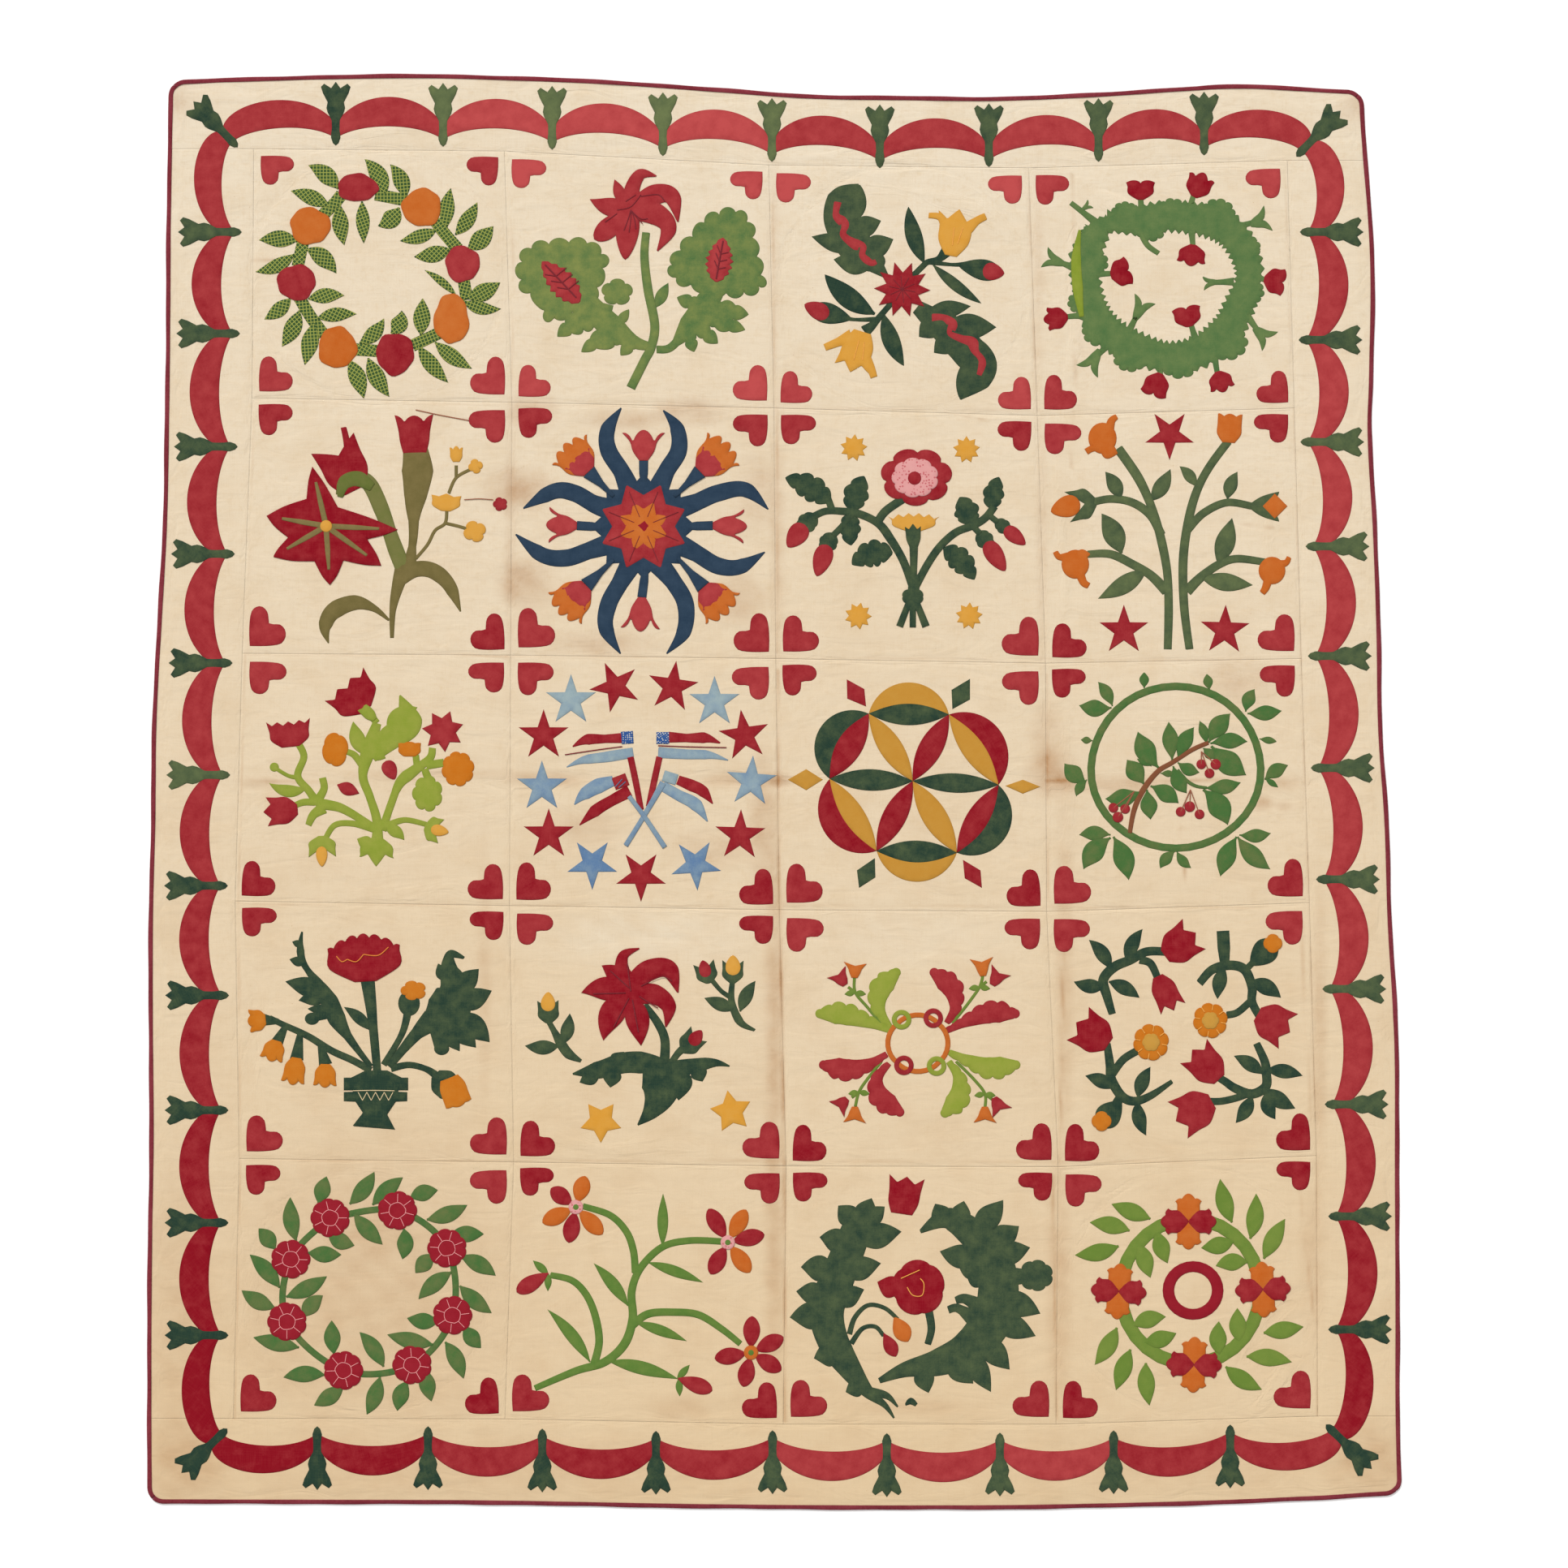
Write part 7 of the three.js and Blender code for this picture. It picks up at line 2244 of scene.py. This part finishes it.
def binding_strip(side, run):
    """One side's binding: its section swept along the edge, with closed ends."""
    slope = np.gradient(run, axis=0)
    slope /= np.linalg.norm(slope, axis=1, keepdims=True)
    outwards = np.column_stack([-slope[:, 1], slope[:, 0]])
    gone = np.concatenate([[0], np.cumsum(np.linalg.norm(np.diff(run, axis=0), axis=1))])
    wider = 1 + 0.06 * np.sin(gone / 47) + 0.05 * np.sin(gone / 19 + 1)
    taller = 1 + 0.035 * np.sin(gone / 31 + 2) + 0.03 * np.sin(gone / 13)
    size = len(BINDING_SECTION)
    rings, places = [], []
    for k, (out, up) in enumerate(BINDING_SECTION):
        spread = out * wider if out > 0 else np.full(len(run), out)
        flat = run + outwards * spread[:, None]
        rings.append(np.column_stack([flat, up * taller]))
        places.append(np.column_stack([gone, np.full(len(run), out + 0.5 * up), 0 * gone]))
    points = np.stack(rings, axis=1).reshape(-1, 3)
    place = np.stack(places, axis=1).reshape(-1, 3)
    i = np.arange(len(run) - 1)[:, None] * size
    k = np.arange(size)[None, :]
    a, b = (i + k).ravel(), (i + (k + 1) % size).ravel()
    faces = np.vstack([np.column_stack([a, b + size, a + size]), np.column_stack([a, b, b + size])])
    first = np.column_stack([np.zeros(size - 2), np.arange(2, size), np.arange(1, size - 1)]).astype(int)
    last = first[:, ::-1] + (len(run) - 1) * size
    piece = mesh_object(
        f"binding_tape_{side}", points, np.vstack([faces, first, last])[:, ::-1],
        [("cloth_place", "FLOAT_VECTOR", place)], cloth_of("binding"),
    )
    return piece


def direction(degrees):
    """The unit vector at an angle from the right, turned anticlockwise."""
    return np.array([math.cos(math.radians(degrees)), math.sin(math.radians(degrees))])


def tulip_outline(tip, angle):
    """A garland tulip from the tip of its stem outwards."""
    forward = direction(angle)
    beside = np.array([-forward[1], forward[0]])
    halves = [(along, -half) for along, half in TULIP_PROFILE]
    points = [(0, 0)] + halves + [(0.9, -8), (1.0, 0), (0.9, 8)] + [
        (along, -half) for along, half in halves[::-1]
    ]
    return np.array([tip + along * TULIP_LENGTH * forward + half * beside for along, half in points])


def swag_outline(first, second, out_first, out_second):
    """A swag between two tulips, shaped like a shallow crescent."""
    share = np.linspace(0, 1, 41)[:, None]
    way = out_first + share * (out_second - out_first)
    way /= np.linalg.norm(way, axis=1, keepdims=True)
    arch = (np.sqrt(1.3 - (2 * share - 1) ** 2) - math.sqrt(0.3)) / (math.sqrt(1.3) - math.sqrt(0.3))
    line = first + share * (second - first)
    inner = line + way * (SWAG_INNER_END + SWAG_INNER_BULGE * arch)
    outer = line + way * (SWAG_OUTER_END + SWAG_OUTER_BULGE * arch)
    return np.vstack([inner, outer[::-1]])


# Each side's tulips as stem tips, its outward direction, its end corners and how its pieces have faded
GARLAND_SIDES = {
    "top": ([(x, y) for x, y in TOP_TULIPS], 90, (0, 1), TOP_FADES, TOP_GREEN_FADES),
    "bottom": ([(x, y) for x, y in BOTTOM_TULIPS], -90, (3, 2), BOTTOM_FADES, BOTTOM_GREEN_FADES),
    "left": ([(x, y) for y, x in LEFT_TULIPS], 180, (0, 3), LEFT_FADES, LEFT_GREEN_FADES),
    "right": ([(x, y) for y, x in RIGHT_TULIPS], 0, (1, 2), RIGHT_FADES, RIGHT_GREEN_FADES),
}


def garland_patch(outline, layer, fade, turn):
    """One cut shape of the garland or one heart, in mm."""
    return patch_mesh({
        "outlines": [outline], "holes": [], "layer": layer, "fade": fade, "turn": turn, "puff": 0.4,
    })


def garland(side):
    """One side's red swags and green tulips."""
    tips, angle, (first, last), fades, green_fades = GARLAND_SIDES[side]
    corners = [CORNER_TULIPS[first], CORNER_TULIPS[last]]
    standing = [(np.array(corners[0][:2]), corners[0][2])]
    standing += [(np.array(tip), angle) for tip in tips]
    standing += [(np.array(corners[1][:2]), corners[1][2])]
    swags = []
    for k, fade in enumerate(fades):
        (tip, turn), (next_tip, next_turn) = standing[k], standing[k + 1]
        outline = swag_outline(
            tip.astype(float), next_tip.astype(float), direction(turn), direction(next_turn),
        )
        swags.append(garland_patch(outline, 0, fade, 13 * k))
    tulips = [garland_patch(tulip_outline(tip, turn), 1, fade, 17 * k)
              for k, ((tip, turn), fade) in enumerate(zip(standing[1:-1], green_fades))]
    if side in ("top", "bottom"):
        for corner in (first, last):
            x, y, turn = CORNER_TULIPS[corner]
            tulips.append(
                garland_patch(tulip_outline(np.array([x, y]), turn), 1, CORNER_GREEN_FADES[corner], turn)
            )
    return [sewn(f"garland_{side}_swags", "red", swags), sewn(f"garland_{side}_tulips", "green", tulips)]


# A heart at a block's corner, in shares of its size: its runs meet in corners
HEART_RUNS = [
    [
        (0.0, 0.0), (0.3, -0.01), (0.62, 0.0), (0.87, 0.05), (0.99, 0.22), (0.97, 0.4), (0.84, 0.52),
        (0.66, 0.53), (0.54, 0.56),
    ],
    [
        (0.54, 0.56), (0.53, 0.68), (0.5, 0.84), (0.37, 0.97), (0.2, 0.97), (0.07, 0.86), (0.01, 0.62),
        (-0.01, 0.3), (0.0, 0.0),
    ],
]
HEART_INSET = 12.0


def heart(row, column, down, right):
    """The heart in one corner of a block, its point towards the corner."""
    number = row * COLUMNS + column
    wobble = math.sin(7.3 * number + 2.9 * down + 4.7 * right)
    corner = np.array([SEAM_X[row + down, column + right], SEAM_Y[row + down, column + right]])
    across = np.array([-1.0 if right else 1.0, 0.0])
    along = np.array([0.0, 1.0 if down else -1.0])
    lean = 0.03 * wobble
    across, along = across + lean * along, along - lean * across
    size = bpy.context.scene.quilt_cloths.heart_size / MM * (1 + 0.05 * wobble) * (0.94 if row == 0 else 1.0)
    shape = rounded(HEART_RUNS)
    start = corner + (HEART_INSET + 1.5 * wobble) * (across + along)
    tall = size * (1.05 if down else 0.88) * (1 + 0.05 * math.sin(5.1 * number + right))
    line = start + size * shape[:, :1] * across + tall * shape[:, 1:] * along
    pale = 0.36 + 0.12 * wobble + (0.35 if row == 0 and column in (1, 2) else 0)
    pale += (0.15 if row == 0 else 0) - 0.04 * row + (0.0 if down else 0.08)
    return garland_patch(line, 0, pale, 41 * number + 20 * down)


def sew_hearts(row):
    """The four hearts of each block in a row, one piece for each block."""
    for column in range(COLUMNS):
        meshes = [heart(row, column, down, right) for down in (0, 1) for right in (0, 1)]
        sewn(f"block_{row * COLUMNS + column + 1:02d}_hearts", "red", meshes)


def colour_choice(name, text, description):
    """A colour that can be changed in the panel."""
    return bpy.props.FloatVectorProperty(
        name=name, description=description, default=linear(text), size=3, min=0, max=1, subtype="COLOR"
    )


class QuiltCloths(bpy.types.PropertyGroup):
    """The sizes and colours of the quilt that can be changed."""

    heart_size: bpy.props.FloatProperty(
        name="Heart size", description="Length of the corner hearts along the block", default=0.061,
        min=0.02, max=0.1, subtype="DISTANCE", unit="LENGTH",
    )
    wrinkle_rise: bpy.props.FloatProperty(
        name="Wrinkle rise", description="Height of the muslin's soft wrinkles", default=0.0018, min=0,
        max=0.01, subtype="DISTANCE", unit="LENGTH",
    )
    thread_lift: bpy.props.FloatProperty(
        name="Thread lift", description="How far embroidery stands up, as a share of its width", default=0.35,
        min=0.1, max=0.8, subtype="FACTOR",
    )
    red_fresh: colour_choice("Fresh red", "#8A0018", "Red cotton where it has kept its dye")
    red_faded: colour_choice("Faded red", "#C24E4E", "Red cotton where it has faded")
    green_fresh: colour_choice("Fresh green", "#223B30", "Dark green cotton where it has kept its dye")
    green_faded: colour_choice("Faded green", "#6E7A4E", "Dark green cotton where it has faded")
    muslin_pale: colour_choice("Pale muslin", "#EDDEC6", "Ground muslin near the top")
    muslin_aged: colour_choice("Aged muslin", "#E2C8A2", "Ground muslin near the bottom")
    binding_red: colour_choice("Binding red", "#6E1F2A", "The tape round the edge")


class QuiltStage(bpy.types.PropertyGroup):
    """The light, floor and camera."""

    sun_strength: bpy.props.FloatProperty(
        name="Sun strength", description="Strength of the low light from the upper left", default=2.7,
        min=0, max=20,
    )
    sun_height: bpy.props.FloatProperty(
        name="Sun height", description="Angle of the light over the floor", default=math.radians(38),
        min=0.1, max=math.pi / 2, subtype="ANGLE", unit="ROTATION",
    )
    sun_spread: bpy.props.FloatProperty(
        name="Sun spread", description="How soft the light's shadows are", default=math.radians(14),
        min=0, max=math.pi, subtype="ANGLE", unit="ROTATION",
    )
    sky_strength: bpy.props.FloatProperty(
        name="Sky strength", description="Strength of the even white light from all round", default=0.8,
        min=0, max=5,
    )
    camera_height: bpy.props.FloatProperty(
        name="Camera height", description="Height of the camera over the floor", default=7.513, min=1, max=40,
        subtype="DISTANCE", unit="LENGTH",
    )


class QUILT_OT_ground(bpy.types.Operator):
    """Sew the twenty muslin squares and the four border strips"""

    bl_idname = "quilt.sew_ground"
    bl_label = "Sew the ground"

    def execute(self, context):
        for row in range(ROWS):
            for column in range(COLUMNS):
                block_ground(row, column)
        for side in ("top", "right", "bottom", "left"):
            border_ground(side)
        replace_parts(bpy.data.objects["block_10_ground"], BODY_NODE)
        return {"FINISHED"}


class QUILT_OT_backing(bpy.types.Operator):
    """Lay the plain muslin backing"""

    bl_idname = "quilt.lay_backing"
    bl_label = "Lay the backing"

    def execute(self, context):
        backing_sheet()
        return {"FINISHED"}


class QUILT_OT_binding(bpy.types.Operator):
    """Fold the narrow wine red binding over the four edges"""

    bl_idname = "quilt.bind_edges"
    bl_label = "Bind the edges"

    def execute(self, context):
        for (side, run), node in zip(sorted(rim_runs().items()), sorted(BINDING_NODES)):
            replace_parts(binding_strip(side, run), node)
        return {"FINISHED"}


class QUILT_OT_garland(bpy.types.Operator):
    """Applique the border's red swags and green tulips"""

    bl_idname = "quilt.sew_garland"
    bl_label = "Sew the garland"

    def execute(self, context):
        for side, node in zip(("top", "right", "bottom", "left"), GARLAND_NODES):
            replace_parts(garland(side)[0], node)
        return {"FINISHED"}


class QUILT_OT_hearts(bpy.types.Operator):
    """Applique a red heart in each corner of each block"""

    bl_idname = "quilt.sew_hearts"
    bl_label = "Sew the hearts"

    def execute(self, context):
        for row in range(ROWS):
            sew_hearts(row)
        return {"FINISHED"}


class QUILT_OT_first_row(bpy.types.Operator):
    """Applique the fruit wreath, the red lily, the star with tulips and the ruffled wreath"""

    bl_idname = "quilt.sew_first_row"
    bl_label = "Sew the first row"

    def execute(self, context):
        for number in (1, 2, 3, 4):
            sew_block(number)
        return {"FINISHED"}


class QUILT_OT_second_row(bpy.types.Operator):
    """Applique the amaryllis, the star with plumes, the tied roses and the twin stems"""

    bl_idname = "quilt.sew_second_row"
    bl_label = "Sew the second row"

    def execute(self, context):
        for number in (5, 6, 7, 8):
            sew_block(number)
        return {"FINISHED"}


class QUILT_OT_third_row(bpy.types.Operator):
    """Applique the lime bush, the flags and stars, the petal rosette and the cherry branch"""

    bl_idname = "quilt.sew_third_row"
    bl_label = "Sew the third row"

    def execute(self, context):
        for number in (9, 10, 11, 12):
            sew_block(number)
        return {"FINISHED"}


class QUILT_OT_fourth_row(bpy.types.Operator):
    """Applique the flower urn, the lily and leaf, the chain of plumes and the four rose sprays"""

    bl_idname = "quilt.sew_fourth_row"
    bl_label = "Sew the fourth row"

    def execute(self, context):
        for number in (13, 14, 15, 16):
            sew_block(number)
        return {"FINISHED"}


class QUILT_OT_fifth_row(bpy.types.Operator):
    """Applique the wreath of roses, the three wheel flowers, the fern wreath and the wreath of crosses"""

    bl_idname = "quilt.sew_fifth_row"
    bl_label = "Sew the fifth row"

    def execute(self, context):
        for number in (17, 18, 19, 20):
            sew_block(number)
        return {"FINISHED"}


class QUILT_OT_declare(bpy.types.Operator):
    """Does nothing: no piece is declared as a sheet here"""

    bl_idname = "quilt.declare_cloths"
    bl_label = "Declare the cloths"

    def execute(self, context):
        return {"FINISHED"}


class QUILT_OT_stage(bpy.types.Operator):
    """Set the floor, the light and the camera straight above"""

    bl_idname = "quilt.set_stage"
    bl_label = "Set the stage"

    def execute(self, context):
        lay_floor(context.scene)
        set_lights(context.scene)
        set_camera(context.scene)
        return {"FINISHED"}


class QUILT_PT_sewing(bpy.types.Panel):
    """Lists the quilt's steps and settings"""

    bl_idname = "QUILT_PT_sewing"
    bl_label = "Album quilt"
    bl_space_type = "VIEW_3D"
    bl_region_type = "UI"
    bl_category = "Quilt"

    def draw(self, context):
        for operator in OPERATORS:
            self.layout.operator(operator.bl_idname)
        for group in (context.scene.quilt_cloths, context.scene.quilt_stage):
            for key in group.__annotations__:
                self.layout.prop(group, key)


# In the order in which main calls them
OPERATORS = (
    QUILT_OT_ground, QUILT_OT_backing, QUILT_OT_binding, QUILT_OT_garland, QUILT_OT_hearts,
    QUILT_OT_first_row, QUILT_OT_second_row, QUILT_OT_third_row, QUILT_OT_fourth_row, QUILT_OT_fifth_row,
    QUILT_OT_declare, QUILT_OT_stage,
)
GROUPS = (QuiltCloths, QuiltStage)


CAMERA_MIDDLE = (0.0168, 0.0133)
CAMERA_LENS = 100
CAMERA_SENSOR = 36
CAMERA_FAR = 60
FLOOR_LEVEL = -0.0002
FLOOR_HALF = 12.0
# Warm white light, and the level part of the sun's way over the floor
SKY_COLOUR = (1.0, 0.995, 0.985, 1)
SUN_COLOUR = (1.0, 0.985, 0.96)
SUN_WAY = (0.42, -0.9)


def lay_floor(scene):
    mesh = bpy.data.meshes.new("floor")
    half = FLOOR_HALF
    corners = [(-half, -half), (half, -half), (half, half), (-half, half)]
    mesh.from_pydata([(*corner, FLOOR_LEVEL) for corner in corners], [], [(0, 1, 2, 3)])
    mesh.materials.append(white_floor())
    floor = bpy.data.objects.new("floor", mesh)
    scene.collection.objects.link(floor)


def set_lights(scene):
    """An even white light from all round, and a soft low one from the upper left."""
    stage = scene.quilt_stage
    world = bpy.data.worlds.new("even_white_light")
    world.use_nodes = True
    sky = world.node_tree.nodes["Background"]
    sky.inputs["Color"].default_value = SKY_COLOUR
    sky.inputs["Strength"].default_value = stage.sky_strength
    scene.world = world
    light = bpy.data.lights.new("window_light", "SUN")
    light.energy = stage.sun_strength
    light.angle = stage.sun_spread
    light.color = SUN_COLOUR
    sun = bpy.data.objects.new("window_light", light)
    high = stage.sun_height
    towards = Vector((SUN_WAY[0] * math.cos(high), SUN_WAY[1] * math.cos(high), -math.sin(high)))
    sun.rotation_euler = towards.to_track_quat("-Z", "Y").to_euler()
    scene.collection.objects.link(sun)


def set_camera(scene):
    """A long lens straight above the quilt, and plain colours."""
    lens = bpy.data.cameras.new("camera_above")
    lens.lens = CAMERA_LENS
    lens.sensor_width = CAMERA_SENSOR
    lens.clip_end = CAMERA_FAR
    camera = bpy.data.objects.new("camera_above", lens)
    camera.location = (*CAMERA_MIDDLE, scene.quilt_stage.camera_height)
    scene.collection.objects.link(camera)
    scene.camera = camera
    scene.view_settings.view_transform = "Standard"
    scene.view_settings.look = "None"


def register():
    for kind in (*GROUPS, *OPERATORS, QUILT_PT_sewing):
        bpy.utils.register_class(kind)
    bpy.types.Scene.quilt_cloths = bpy.props.PointerProperty(type=QuiltCloths)
    bpy.types.Scene.quilt_stage = bpy.props.PointerProperty(type=QuiltStage)


def unregister():
    del bpy.types.Scene.quilt_stage
    del bpy.types.Scene.quilt_cloths
    for kind in (QUILT_PT_sewing, *reversed(OPERATORS), *reversed(GROUPS)):
        bpy.utils.unregister_class(kind)


def main():
    """Sews the whole quilt in order."""
    register()
    for operator in OPERATORS:
        group, name = operator.bl_idname.split(".")
        getattr(getattr(bpy.ops, group), name)()


if __name__ == "__main__":
    main()
